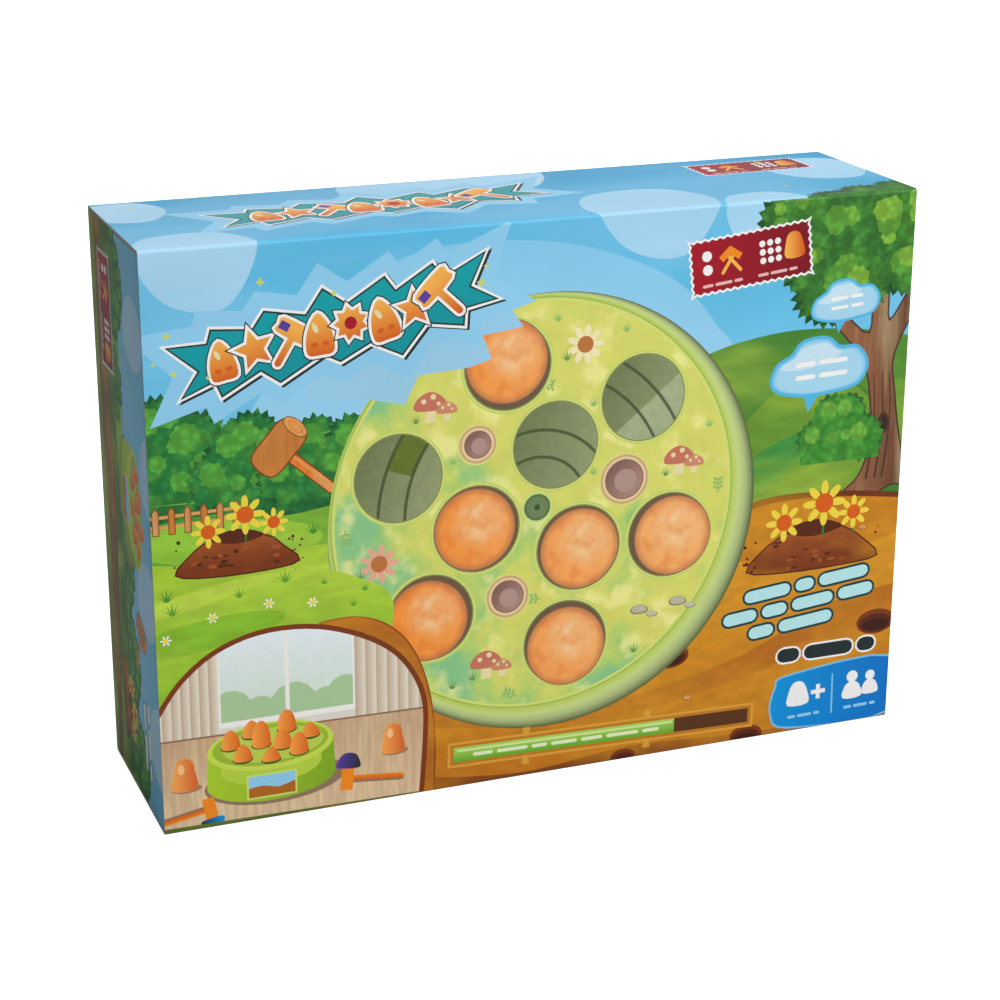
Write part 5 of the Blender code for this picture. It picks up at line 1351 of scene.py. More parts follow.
@dataclass(frozen=True)
class Badge(Art):
    """The red stamp with toy hammers, moles and pips."""

    half_width: float = 28.0
    half_height: float = 11.5
    notch: float = 0.9
    notch_step: float = 3.4

    def lay(self) -> None:
        """Lays the stamp, its notches and its signs."""
        brush, edge, half = self.brush, self.edge(), self.half_width
        brush.fill(outset(edge, 0.9), Tone.WHITE)
        brush.fill(edge, Wash((-half, 0), (half, 0), Tone.RED, Tone.RED_DEEP))
        for turn in (-38, 38):
            sign = brush.at(-9.5, 1.5, 0.42, 90 + turn)
            sign.fill(capsule((-16, 0), (6, 0), 3.6), Tone.ORANGE_PALE)
            sign.fill(oblong(4, -8, 11, 8), Tone.ORANGE)
        dome = curve([(-4.4, -4.6), (4.4, -4.6), (4.0, 2), (2.6, 5.4), (0, 6.4), (-2.6, 5.4), (-4.0, 2)], 3)
        brush.at(20.5, 1.6).fill(dome, Wash((-4, 0), (4, 0), Tone.ORANGE_PALE, Tone.ORANGE_DEEP))
        for z in (-1.4, 4.6):
            brush.disc((-20.5, z), 2.3, Tone.WHITE, 14)
        for index in range(9):
            brush.disc((5.4 + 3.7 * (index % 3), -2.2 + 3.7 * (index // 3)), 1.45, Tone.WHITE, 12)
        for x in (-14, 12):
            strokes(brush.at(x, -8.2), (5, 8, 4), 0.9, 1.3, (238, 190, 186))

    def edge(self) -> list[Point]:
        """Notches the stamp's edge.

        Returns:
            The outline.
        """
        across, up = self.half_width, self.half_height
        corners = [Vector(corner) for corner in oblong(-across, -up, across, up)]
        points = []
        for start, end in zip(corners, [*corners[1:], corners[0]]):
            way = end - start
            count = max(3, round(way.length / self.notch_step))
            inwards = Vector((-way.y, way.x)).normalized() * self.notch
            for index in range(count):
                points.append(tuple(start + way * index / count))
                points.append(tuple(start + way * (index + 0.5) / count + inwards))
        return points


@dataclass(frozen=True)
class InfoTile(Art):
    """The blue tile with a mole sign and two player signs."""

    def lay(self) -> None:
        """Lays the tile and its white signs."""
        brush = self.brush
        outline = curve([(-29, -5), (-27, 7), (-20, 12), (30, 13), (30, -13), (-20, -12.5)], 4)
        brush.fill(outset(outline, 0.9), (120, 200, 240))
        brush.fill(outline, Wash((-29, 0), (30, 0), (0, 150, 226), Tone.BLUE_DEEP))
        brush.fill(oblong(0.6, -9.5, 1.4, 9.5), (130, 206, 244))
        dome = curve([(-5, -4), (5, -4), (4.6, 2), (2.8, 6), (0, 7.2), (-2.8, 6), (-4.6, 2)], 3)
        brush.at(-16, 1.5).fill(dome, Tone.WHITE)
        for wide, tall in ((3.5, 1), (1, 3.5)):
            brush.fill(oblong(-6 - wide, 2.2 - tall, -6 + wide, 2.2 + tall), Tone.WHITE)
        for x, size in ((11, 1.0), (20, 0.85)):
            player = brush.at(x, 1.5, size)
            player.fill(curve([(-4.6, -5), (4.6, -5), (3.4, 1), (0, 2.6), (-3.4, 1)], 3), Tone.WHITE)
            player.disc((0, 5), 2.8, Tone.WHITE, 14)
        for x in (-13, 15):
            strokes(brush.at(x, -8), (4, 7, 3), 1, 1.4, Tone.SKY_PALE)


Hill = tuple[Sequence[Point], Colour, Colour, float]


@dataclass(frozen=True)
class Garden(Art):
    """Artwork with a printed landscape."""

    ROUND = ((-1, 0), (-0.62, 0.9), (0.5, 1), (1, 0.1), (0.46, -0.92), (-0.5, -0.8))
    TRUNK = (
        (-15, -3), (-8, 4), (-4, 18), (-5, 34), (-9, 50), (-24, 68), (-21, 71), (-7, 60), (-6, 82), (0, 84),
        (1, 64), (12, 80), (16, 77), (4, 52), (5, 36), (8, 18), (12, 6), (20, -3), (7, -1), (-2, -4),
    )
    CROWN = (
        (-26, 80, 13), (-12, 84, 13), (6, 90, 14), (20, 82, 13), (-36, 92, 11), (-24, 100, 13), (-4, 104, 14),
        (14, 106, 14), (-44, 106, 10), (-34, 116, 12), (-16, 118, 13),
    )

    def lay_sky(self, half: float, tall: float) -> None:
        """Lays the sky over a panel of a half width and a height."""
        wash = Wash((0, tall * 0.62), (0, tall), (122, 206, 242), Tone.SKY)
        self.brush.fill(oblong(-half, -2, half, tall + 4), wash, Ink.SKY)

    def lay_rounds(self, *places: Triple) -> None:
        """Lays soft pale rounds in the sky.

        Args:
            places: Each round's middle and radius.
        """
        for x, z, radius in places:
            outline = [(x + radius * across, z + radius * up) for across, up in self.ROUND]
            self.brush.fill(curve(outline, 8), Tone.CLOUD, Ink.SKY)

    def lay_hills(self, ink: Ink, *hills: Hill) -> None:
        """Lays ground below some crests.

        Args:
            ink: The ground's ink.
            hills: Each hill's crest from left to right, its colour there, its colour further down and
                how far down that is.
        """
        for crest, top, foot, fall in hills:
            line = curve(crest, 8, False)
            high = max(z for _, z in line)
            outline = [(line[0][0], -2), *line, (line[-1][0], -2)]
            self.brush.fill(outline, Wash((0, high - fall), (0, high), foot, top), ink)

    def lay_fence(self, x: float, z: float, count: int, step: float) -> None:
        """Lays a small wooden fence.

        Args:
            x: The middle of its first post.
            z: Its foot.
            count: How many posts it has.
            step: The distance between two posts.
        """
        for low in (z + 3.0, z + 7.0):
            rail = capsule((x - 2, low), (x + step * (count - 1) + 2, low + 0.6), 1.3, 3)
            self.brush.fill(rail, Tone.TIMBER_PALE)
        half = 1.1
        for index in range(count):
            spot = x + step * index
            left, right = spot - half, spot + half
            post = [(left, z), (right, z), (right, z + 9), (spot, z + 10.6), (left, z + 9)]
            self.brush.edged(post, Tone.TIMBER, Tone.SOIL, 0.35, Ink.TIMBER)

    def lay_tree(self, x: float, z: float, size: float) -> None:
        """Lays a broad old tree.

        Args:
            x: The middle of its trunk.
            z: The trunk's foot.
            size: Its size.
        """
        brush = self.brush.at(x, z, size)
        bark = Wash((-8, 0), (10, 0), (150, 98, 66), (104, 62, 44))
        brush.edged(curve(self.TRUNK, 4), bark, Tone.BARK_DARK, 0.7, Ink.TIMBER)
        for offset in (-3.2, 0.4, 3.6):
            line = curve([(offset - 2, 2), (offset - 0.5, 16), (offset, 30), (offset - 1, 44)], 5, False)
            brush.fill(ribbon(line, 0.9, 0.4), Tone.BARK_DARK)
        brush.fill(ellipse((1, 24), (2.6, 4.4), 14), Tone.BARK_DARK)
        brush.fill(ellipse((1.3, 24), (1.6, 3.2), 12), (60, 38, 30))
        dice = random.Random(11)
        for grow, tones in ((1.18, (Tone.LEAF_DARK,)), (1.0, (Tone.LEAF, (52, 118, 42)))):
            for cx, cz, radius in self.CROWN:
                brush.fill(leafy((cx, cz), radius * grow, dice), dice.choice(tones), Ink.LEAVES)
        for cx, cz, radius in self.CROWN:
            for _ in range(3):
                spot = (cx + dice.uniform(-0.5, 0.5) * radius, cz + dice.uniform(-0.3, 0.6) * radius)
                outline = leafy(spot, radius * dice.uniform(0.22, 0.4), dice)
                brush.fill(outline, dice.choice((Tone.LEAF_PALE, (96, 160, 52))), Ink.LEAVES)


@dataclass(frozen=True)
class FrontArt(Garden):
    """The carton's front: the drum picture in a printed garden, from the left edge at x = -165."""

    def lay(self) -> None:
        """Lays the front from its sky to its foreground."""
        self.lay_distance()
        self.lay_garden()
        self.lay_earth()
        mound(self.brush.at(-131, 112), 44, 5)
        mound(self.brush.at(124, 80), 56, 8)
        mallet(self.brush.at(-113, 158, 0.86, -42))
        DrumPicture(self.brush.at(-4.7, 120.2)).lay()
        flash = [(-100, 176), (-76, 173.6), (-61.4, 170), (-55.4, 181.4), (-34.4, 182.4), (-24.6, 185)]
        flash += [(-28.5, 195), (-11.2, 197), (-18.9, 208.7), (-26, 214), (-60, 224), (-110, 204)]
        self.brush.fill(flash, (160, 212, 241), Ink.SKY)
        Banner(self.brush.at(-89.5, 203, 0.83, 10)).lay()
        self.sparks((-118.6, 224.4, 1.9), (-89.7, 217.6, 1.5), (-155.6, 206.5, 1.7), (-29, 216.5, 2.2))
        self.sparks((-153.4, 191.5, 1.6), (-27, 223, 1.2), (-161, 196, 1.1), (-140, 189, 1.2))
        Badge(self.brush.at(89, 216.5, 0.97, 6.2)).lay()
        self.lay_bubbles()
        self.lay_lawn()
        self.lay_panels()

    def lay_distance(self) -> None:
        """Lays the sky, its rounds and the hills."""
        self.lay_sky(165, 240)
        swoosh = [(-120, 150), (-108, 196), (-86, 218), (-58, 230), (-30, 233), (4, 230), (34, 221)]
        swoosh += [(58, 208), (74, 190), (84, 172), (80, 120), (0, 90)]
        self.brush.fill(curve(swoosh, 8), Wash((0, 150), (0, 234), (164, 219, 250), (134, 208, 244)), Ink.SKY)
        self.lay_rounds((-143, 238, 24), (48, 248, 29), (96, 236, 19))
        self.lay_hills(
            Ink.LAWN,
            ([(66, 176), (84, 181), (110, 184), (140, 182), (165, 177)], (72, 136, 50), (96, 152, 50), 30),
            ([(72, 172), (96, 172), (126, 166), (150, 152), (165, 140)], (58, 126, 46), (88, 144, 50), 40),
            ([(76, 132), (100, 156), (122, 165), (140, 158), (165, 132)], (114, 160, 52), (98, 146, 42), 50),
            ([(78, 108), (104, 132), (132, 142), (150, 128), (165, 112)], (82, 146, 46), (64, 124, 40), 40),
        )
        dell = curve([(80, 118), (100, 134), (124, 140), (116, 128), (96, 114)], 6)
        self.brush.fill(dell, (64, 148, 62), Ink.LAWN)

    def lay_garden(self) -> None:
        """Lays the lawn, the hedge, the fence and the tree."""
        brush, plants = self.brush, Plants(self.brush, 3)
        self.lay_hills(Ink.LAWN, ([(-165, 150), (-120, 152), (-60, 148)], (120, 190, 70), Tone.LAWN_DEEP, 40))
        row = [(-165, 140), (-130, 139), (-100, 142), (-60, 138)]
        self.lay_hills(Ink.LEAVES, (row, Tone.HEDGE, Tone.HEDGE_DARK, 16))
        for bush in ((-158, 140, 44, 42), (-124, 138, 34, 34), (-98, 138, 34, 30), (-80, 136, 26, 32)):
            plants.bush(*bush)
        strip = [(-165, 132), (-140, 134), (-112, 130), (-80, 133), (-50, 130)]
        self.lay_hills(
            Ink.LAWN,
            (strip, (84, 160, 52), (104, 178, 50), 20),
            ([(-165, 116), (-132, 112), (-100, 116), (-60, 112)], Tone.LAWN, Tone.LAWN_PALE, 60),
        )
        brush.fill(ellipse((-136, 122), (40, 9), 40, -3), (150, 204, 60), Ink.LAWN)
        brush.fill(ellipse((-118, 96), (58, 11), 40, 4), Tone.LAWN_PALE, Ink.LAWN)
        brush.fill(ellipse((-150, 84), (44, 8), 40, 8), (140, 196, 46), Ink.LAWN)
        for x, z, size in ((-100, 121, 6), (-160, 100, 6), (-88, 112, 5), (-150, 144, 5), (-108, 103, 5)):
            plants.tuft(x, z, size, (70, 148, 44))
        self.lay_fence(-163, 128, 6, 6.4)
        self.lay_tree(154, 112, 1.12)
        replace(plants, tones=((34, 106, 40), (62, 144, 48), (112, 178, 62))).bush(134, 124, 30, 30)

    def lay_earth(self) -> None:
        """Lays the dug ground at the lower right and its burrows."""
        bank = [(-74, 88), (-40, 72), (20, 80), (70, 98), (96, 110.5), (130, 111), (165, 106.5)]
        face = [(-74, 84), (-40, 69), (20, 77), (70, 95), (96, 107.5), (130, 108.4), (165, 104)]
        middle = [(-56, 44), (-20, 34), (30, 28), (90, 40), (130, 58), (165, 64)]
        self.lay_hills(
            Ink.EARTH,
            (bank, Tone.SOIL_DARK, Tone.SOIL, 10),
            (face, Tone.EARTH, Tone.EARTH_DEEP, 130),
            ([(40, 66), (80, 84), (120, 78), (165, 88)], Tone.EARTH_PALE, Tone.EARTH, 60),
            (middle, Tone.CLAY, Tone.EARTH_DEEP, 60),
            ([(-56, 30), (0, 22), (60, 24), (110, 34), (165, 46)], Tone.EARTH, (200, 122, 26), 40),
            ([(-56, 7), (-10, 2), (40, 6), (100, 3), (165, 6)], (150, 84, 26), Tone.SOIL, 10),
        )
        for x, z, size in ((157, 47, 9.5), (57, 45, 9), (95, 2, 8), (36, 1.4, 6)):
            self.brush.fill(ellipse((x, z), (size, size * 0.62)), Tone.SOIL)
            self.brush.fill(ellipse((x, z - 0.8), (size * 0.86, size * 0.46)), Tone.SOIL_DARK)
            self.brush.fill(ellipse((x, z - 1.6), (size * 0.7, size * 0.3)), (64, 24, 12))
        pebbles = [(-36, 40, 2.2), (72, 60, 2.6), (100, 66, 2.0), (66, 24, 2.4), (148, 92, 2.2)]
        for x, z, size in (*pebbles, (-10, 30, 1.8), (116, 60, 2.0), (150, 70, 1.6)):
            rock(self.brush.at(x, z, size), (224, 160, 92), (150, 90, 50))

    def lay_bubbles(self) -> None:
        """Lays the two cloud bubbles with their strokes."""
        for x, z, scale, turn, widths in ((134, 193, 0.74, 4, (11, 8)), (123, 164.5, 1.05, 2, (9, 13))):
            bubble = self.brush.at(x, z, scale, turn)
            bubble.fill([(-8, -5), (2, -6), (-5, -16)], Tone.SKY)
            bubble.edged(cloud(), Tone.SKY_PALE, Tone.SKY, 1.4)
            number = bubble.at(0, 0, 0.93).fill(cloud(), (172, 222, 246))
            bubble.inside(number).fill(ellipse((-4, 7), (15, 4.6), 20, 8), (206, 236, 250))
            for level in (4.2, -1.2):
                strokes(bubble.at(1, level), widths, 1.6, 2.0, Tone.WHITE)

    def lay_lawn(self) -> None:
        """Lays the near lawn, which hides the drum's lower left."""
        crest = [(-170, 92), (-148, 96), (-124, 102), (-104, 107), (-90, 103.5), (-80, 99), (-71, 94)]
        outline = [*curve([*crest, (-67, 86), (-68, 76)], 5, False), (-78, 60), (-170, 40)]
        self.brush.fill(outline, Wash((0, 66), (0, 106), (150, 198, 48), (178, 214, 64)), Ink.LAWN)
        self.brush.fill(ellipse((-146, 84), (34, 6.5), 40, 7), (140, 194, 46), Ink.LAWN)
        plants = Plants(self.brush, 5)
        tufts = ((-158, 94, 6), (-131, 98, 5), (-112, 102, 6), (-96, 99, 4), (-79, 94, 4.5), (-84, 88, 4))
        for x, z, size in tufts:
            plants.tuft(x, z, size, (96, 164, 44))
        for spot in ((-142, 91), (-119, 94), (-101, 92), (-161, 84)):
            plants.flower(spot, 2.4, Tone.WHITE, Tone.YELLOW, 6)

    def lay_panels(self) -> None:
        """Lays the table picture, the strokes, the blue tile and the gauge."""
        brush = self.brush
        arch = [(-98, 82.5), (-84, 83), (-72, 79), (-62, 70), (-55, 56), (-51, 38), (-50, 18), (-51, -2)]
        rim = [*curve(arch, 5, False), (-62, -2), (-62, 50), (-80, 76)]
        brush.fill(outset(rim, 0.6), Tone.SOIL, Ink.EARTH)
        brush.fill(rim, Tone.EARTH_DEEP, Ink.EARTH)
        TablePicture(brush).lay()
        brush.fill([(-166, -2), (-57, -2), (-57, 1.2), (-166, 2.6)], (96, 116, 44), Ink.EARTH)
        for z, widths in ((69.5, (22, 9, 24)), (60.6, (16, 12, 20, 17)), (51.6, (12, 26))):
            line = brush.at(118 + (z - 60) * 0.4, z, 1, 5.5)
            strokes(line, widths, 2.6, 5.4, (188, 236, 240), (8, 66, 72), 1.1)
        strokes(brush.at(133, 37), (11, 24, 9), 2.2, 6.4, Tone.INK, Tone.WHITE)
        InfoTile(brush.at(136, 15.4, 1.0, 1.0)).lay()
        self.lay_gauge(brush.at(27, 13.2, 1, -1.4))

    def lay_gauge(self, brush: Brush) -> None:
        """Lays the long gauge, filled for three quarters of its length.

        Args:
            brush: Where to lay it.
        """
        rim = (226, 164, 60)
        brush.edged(oblong(-70, -4.6, 70, 4.6), (198, 126, 30), rim, 1.1)
        brush.fill(oblong(-68.5, -3.3, 33, 3.3), Wash((0, -3.4), (0, 3.4), (96, 172, 40), (178, 222, 96)))
        brush.fill(oblong(33, -3.3, 68.5, 3.3), (92, 52, 26))
        brush.fill(oblong(-67, 1.2, 32, 2.3), (214, 240, 160))
        strokes(brush.at(-17, -0.6), (9, 14, 7, 12, 10, 15, 8), 1.8, 1.6, (232, 246, 200))
        for x, z in ((-36, 5.2), (-36, -5.2), (20, 5.4), (20, -5.4)):
            for turn in (-24, 0, 24):
                leaf = brush.at(x, z, 0.8, turn if z > 0 else 180 + turn)
                leaf.fill(ellipse((0, 1.6), (1.1, 3.0), 10), rim)


@dataclass(frozen=True)
class TopArt(Garden):
    """The carton's top: sky with a long burst and a badge, read from the front edge at z = 0."""

    def lay(self) -> None:
        """Lays the top panel."""
        brush = self.brush
        brush.fill(oblong(-166, -2, 166, 90), Wash((0, 0), (0, 88), (64, 180, 226), (50, 164, 214)), Ink.SKY)
        self.lay_rounds((-143, -2, 24), (48, 8, 29), (96, -4, 19), (-30, 70, 34), (4, 82, 26))
        self.lay_rounds((146, 52, 22), (-156, 66, 18))
        dice = random.Random(4)
        dark, lit = ((126, -3, 12), (144, 0, 15), (162, 2, 17)), ((130, -4, 9), (147, -2, 12), (163, 0, 14))
        for crowns, tone in ((dark, Tone.LEAF_DARK), (lit, Tone.LEAF)):
            for x, z, radius in crowns:
                brush.fill(leafy((x, z), radius, dice), tone, Ink.LEAVES)
        Banner(brush.at(-56, 46, 0.88, 4)).lay()
        Badge(brush.at(120, 66, 0.92, 2)).lay()
        self.sparks((-150, 76, 1.9), (-20, 30, 1.5), (24, 70, 1.7), (128, 74, 2.0), (116, 24, 1.4))


@dataclass(frozen=True)
class EndArt(Garden):
    """A closure flap's garden, laid on its side: z runs from the carton's back to the tongue."""

    def lay(self) -> None:
        """Lays the end panel."""
        brush = self.brush
        self.lay_sky(121, 106)
        self.lay_rounds((-84, 70, 15), (-30, 92, 19), (24, 74, 16), (84, 86, 18))
        far = [(-121, 40), (-60, 46), (0, 42), (60, 48), (121, 44)]
        self.lay_hills(Ink.LAWN, (far, Tone.MEADOW, Tone.MEADOW_DEEP, 20))
        bushes = ((-98, 34, 44, 22), (-56, 32, 30, 16), (20, 34, 40, 20), (62, 30, 50, 26), (104, 30, 40, 34))
        for bush in bushes:
            Plants(brush, 9).bush(*bush)
        near = [(-121, 36), (-50, 33), (30, 35), (121, 30)]
        self.lay_hills(Ink.LAWN, (near, (60, 112, 38), (92, 140, 40), 26))
        self.lay_hills(
            Ink.EARTH,
            ([(-121, 20), (-60, 22), (0, 25), (70, 18), (121, 12)], Tone.SOIL_DARK, (84, 62, 26), 8),
            ([(-121, 18), (-60, 20), (0, 23), (70, 16), (121, 10)], (128, 92, 34), (112, 100, 34), 20),
        )
        front = [(-121, 9), (-40, 7), (20, 10), (121, 6)]
        self.lay_hills(Ink.LAWN, (front, (132, 150, 44), (104, 132, 36), 10))
        Badge(brush.at(-82, 24, 0.84)).lay()
        SmallDrum(brush.at(-10, 62, 0.94)).lay()
        mallet(brush.at(42, 62, 0.62, -30))
        mound(brush.at(84, 26), 34, 13)
        for z, widths in ((68, (9, 14, 8)), (61, (12, 16))):
            strokes(brush.at(88, z), widths, 1.8, 3.2, Tone.WHITE, Tone.TEAL_DARK, 0.6)


@dataclass(frozen=True)
class BackArt(Garden):
    """The carton's back: a garden with three tiles that show how the game is played."""

    def lay(self) -> None:
        """Lays the back panel."""
        brush = self.brush
        self.lay_sky(165, 240)
        self.lay_rounds((-120, 226, 26), (30, 236, 28), (128, 214, 22), (-40, 196, 20))
        far = [(-165, 150), (-100, 162), (-20, 150), (60, 160), (165, 148)]
        self.lay_hills(Ink.LAWN, (far, Tone.MEADOW, Tone.MEADOW_DEEP, 40))
        for index in range(9):
            Plants(brush, 12).bush(-152 + 38 * index, 138, 46, 30 + 8 * (index % 3))
        near = [(-165, 134), (-60, 140), (60, 132), (165, 138)]
        self.lay_hills(Ink.LAWN, (near, Tone.LAWN, Tone.LAWN_PALE, 70))
        self.lay_hills(
            Ink.EARTH,
            ([(-165, 66), (-60, 74), (40, 62), (165, 72)], Tone.SOIL_DARK, Tone.SOIL, 10),
            ([(-165, 63), (-60, 71), (40, 59), (165, 69)], Tone.EARTH, Tone.EARTH_DEEP, 60),
            ([(-165, 30), (0, 38), (165, 26)], Tone.CLAY, Tone.EARTH_DEEP, 40),
        )
        self.lay_fence(-160, 130, 12, 7)
        for index, x in enumerate((-104, 0, 104)):
            self.lay_tile(brush.at(x, 108), index)
        Banner(brush.at(0, 206, 0.92, 0)).lay()
        for z, widths in ((50, (26, 12, 30, 18, 24)), (41, (18, 22, 16, 28, 12)), (32, (30, 14, 20, 26))):
            strokes(brush.at(-40, z), widths, 2.4, 3.6, Tone.CREAM)
        InfoTile(brush.at(128, 30, 1.0)).lay()
        self.lay_lines(brush.at(84, 26))

    def lay_tile(self, brush: Brush, index: int) -> None:
        """Lays one step of play: hang the hammers up, switch on, strike.

        Args:
            brush: Where to lay it.
            index: The step's number, from 0 to 2.
        """
        outline = curve([(-44, -30), (0, -31), (44, -30), (46, 0), (44, 30), (0, 31), (-44, 30), (-46, 0)], 6)
        brush.fill(outset(outline, 2.2), Tone.SOIL)
        inside = brush.inside(brush.fill(outline, Wash((0, -30), (0, 30), (250, 240, 214), (236, 246, 250))))
        inside.fill([(-50, -34), (50, -34), (50, -6), (-50, -4)], Tone.TABLE, Ink.TIMBER)
        SmallDrum(inside.at(0, 3, 0.95)).lay()
        if index == 0:
            toy_hammer(inside.at(-34, -16, 0.8, 18), Tone.BLUE)
            toy_hammer(inside.at(20, -20, 0.8, 8), Tone.VIOLET)
        elif index == 1:
            inside.fill(curve([(18, -14), (34, -8), (34, 6), (30, 5), (30, -5), (17, -9)], 4), Tone.RED)
            inside.fill([(26, 4), (32, 14), (38, 4)], Tone.RED)
        else:
            toy_hammer(inside.at(10, 12, 0.9, 40), Tone.VIOLET)
        for spot in range(index + 1):
            brush.disc((-36 + 6 * spot, 23), 2.2, Tone.RED, 14)

    def lay_lines(self, brush: Brush) -> None:
        """Lays a white field of upright lines.

        Args:
            brush: Where to lay it.
        """
        brush.fill(oblong(-15, -10, 15, 10), Tone.WHITE)
        dice = random.Random(2)
        x = -12.5
        while x < 12:
            width = dice.choice([0.4, 0.6, 0.9])
            brush.fill(oblong(x, -6.5, x + width, 8), Tone.INK)
            x += width + dice.choice([0.5, 0.7, 1.1])


@dataclass(frozen=True)
class BottomArt(Art):
    """The carton's bottom: plain ground with a few strokes."""

    def lay(self) -> None:
        """Lays the bottom panel."""
        ground = Wash((0, 0), (0, 88), Tone.CLAY, (176, 100, 26))
        self.brush.fill(oblong(-166, -2, 166, 90), ground, Ink.EARTH)
        for z, widths in ((50, (26, 12, 30)), (41, (18, 22, 16))):
            strokes(self.brush.at(-90, z), widths, 2.4, 3.6, Tone.CREAM)


BOARD = 1.2
CREASE = 1.4
CREASE_STEPS = 5
HALF_CREASE = CREASE * math.pi / 4
TRIM = CREASE - HALF_CREASE
HALF_WIDTH = 165.0
HALF_DEPTH = 44.0
HEIGHT = 240.0


@dataclass(frozen=True)
class Path:
    """The line that a board follows through its creases, as straight runs joined by round bends."""

    start: Vector
    heading: float
    bends: tuple[Triple, ...]

    def steps(self) -> list[float]:
        """Finds where along the path the board needs a line of points.

        Returns:
            The distances from the path's start.
        """
        found, reach = [], 0.0
        for run, turn, radius in self.bends:
            reach += run
            arc = radius * math.radians(abs(turn))
            found += [reach + arc * step / CREASE_STEPS for step in range(CREASE_STEPS + 1)]
            reach += arc
        return found

    def at(self, reach: float) -> tuple[Vector, Vector]:
        """The place and the outward direction at some distance along the path.

        Args:
            reach: The distance from the path's start.

        Returns:
            The point and the direction to the left of travel.
        """
        spot, angle, left = self.start.copy(), self.heading, reach
        for run, turn, radius in self.bends:
            step = min(run, left)
            spot += Vector((math.cos(angle), math.sin(angle))) * step
            left -= step
            arc = radius * math.radians(abs(turn))
            if left <= 0:
                continue
            share = min(1.0, left / arc)
            side = math.copysign(1.0, turn)
            centre = spot + Vector((-math.sin(angle), math.cos(angle))) * radius * side
            angle += math.radians(turn) * share
            spot = centre - Vector((-math.sin(angle), math.cos(angle))) * radius * side
            left -= arc * share
        spot += Vector((math.cos(angle), math.sin(angle))) * max(0.0, left)
        return spot, Vector((-math.sin(angle), math.cos(angle)))


def finished(name: str, mesh: BMesh, materials: Sequence[Material], sharp: float) -> bpy.types.Object:
    """Turns a mesh into a smooth object in the scene.

    Args:
        name: The object's name.
        mesh: Its mesh, which is freed.
        materials: Its materials.
        sharp: The angle in degrees from which an edge stays sharp.

    Returns:
        The object, at the origin.
    """
    data = bpy.data.meshes.new(name)
    for face in mesh.faces:
        face.smooth = True
    mesh.to_mesh(data)
    mesh.free()
    for material in materials:
        data.materials.append(material)
    data.set_sharp_from_angle(angle=math.radians(sharp))
    item = bpy.data.objects.new(name, data)
    bpy.context.scene.collection.objects.link(item)
    return item


def declare(item: bpy.types.Object, body: str, nodes: Sequence[str]) -> None:
    """Args:
        item: The piece.
        body: The body that it rides on.
        nodes: The CAD nodes that it stands for.
    """
    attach(item, body)
    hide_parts(*nodes)
    LOG.info("%s: %d faces for %s", item.name, len(item.data.polygons), ", ".join(nodes))


@dataclass(frozen=True)
class Skins:
    """The materials of printed board or paper, in the order that its faces count them."""

    prints: dict[Ink, Material]
    back: Material
    cut: Material

    plain: int = len(Ink)
    edge: int = len(Ink) + 1

    def number(self, ink: Ink) -> int:
        """The number of an ink's material."""
        return list(self.prints).index(ink)

    def materials(self) -> list[Material]:
        """The materials in order."""
        return [*self.prints.values(), self.back, self.cut]


@dataclass(frozen=True)
class Panel:
    """A printed panel: its print outside, its plain side behind and its bare cut edge between."""

    name: str

    thickness = BOARD
    axis = 0

    def sheet(self) -> Sheet:
        """The panel laid flat, with its print."""
        raise NotImplementedError

    def lines(self) -> list[float]:
        """Where along its axis the sheet bends."""
        return []

    def fold(self, point: Point) -> tuple[Vector, Vector]:
        """The place in metres and the outward direction of a point of the sheet."""
        raise NotImplementedError

    def build(self, skins: Skins) -> bpy.types.Object:
        """Builds the panel.

        Args:
            skins: The materials of its print, its plain side and its cut edge.

        Returns:
            The panel, at the origin.
        """
        sharp = 40.0
        mesh = bmesh.new()
        ink = mesh.loops.layers.float_color.new("ink")
        motif = mesh.loops.layers.float_vector.new("motif")
        points, triangles, owners = self.sheet().arrange(self.lines(), self.axis)
        places = [self.fold(point) for point in points]
        front = [mesh.verts.new(place) for place, _ in places]
        behind = [mesh.verts.new(place - out * self.thickness * MM) for place, out in places]
        partner = dict(zip(front, behind))
        for triangle, shape in zip(triangles, owners):
            face = mesh.faces.new([front[index] for index in triangle])
            face.material_index = skins.number(shape.ink)
            for loop, index in zip(face.loops, triangle):
                loop[ink] = shape.colour(points[index])
                loop[motif] = shape.place(points[index])
        rim = [bound.link_loops[0] for bound in mesh.edges if bound.is_boundary]
        for triangle in triangles:
            mesh.faces.new([behind[index] for index in reversed(triangle)]).material_index = skins.plain
        for loop in rim:
            first, second = loop.vert, loop.link_loop_next.vert
            wall = mesh.faces.new([second, first, partner[first], partner[second]])
            wall.material_index = skins.edge
        loose = [corner for corner in mesh.verts if not corner.link_faces]
        bmesh.ops.delete(mesh, geom=loose, context="VERTS")
        return finished(self.name, mesh, skins.materials(), sharp)


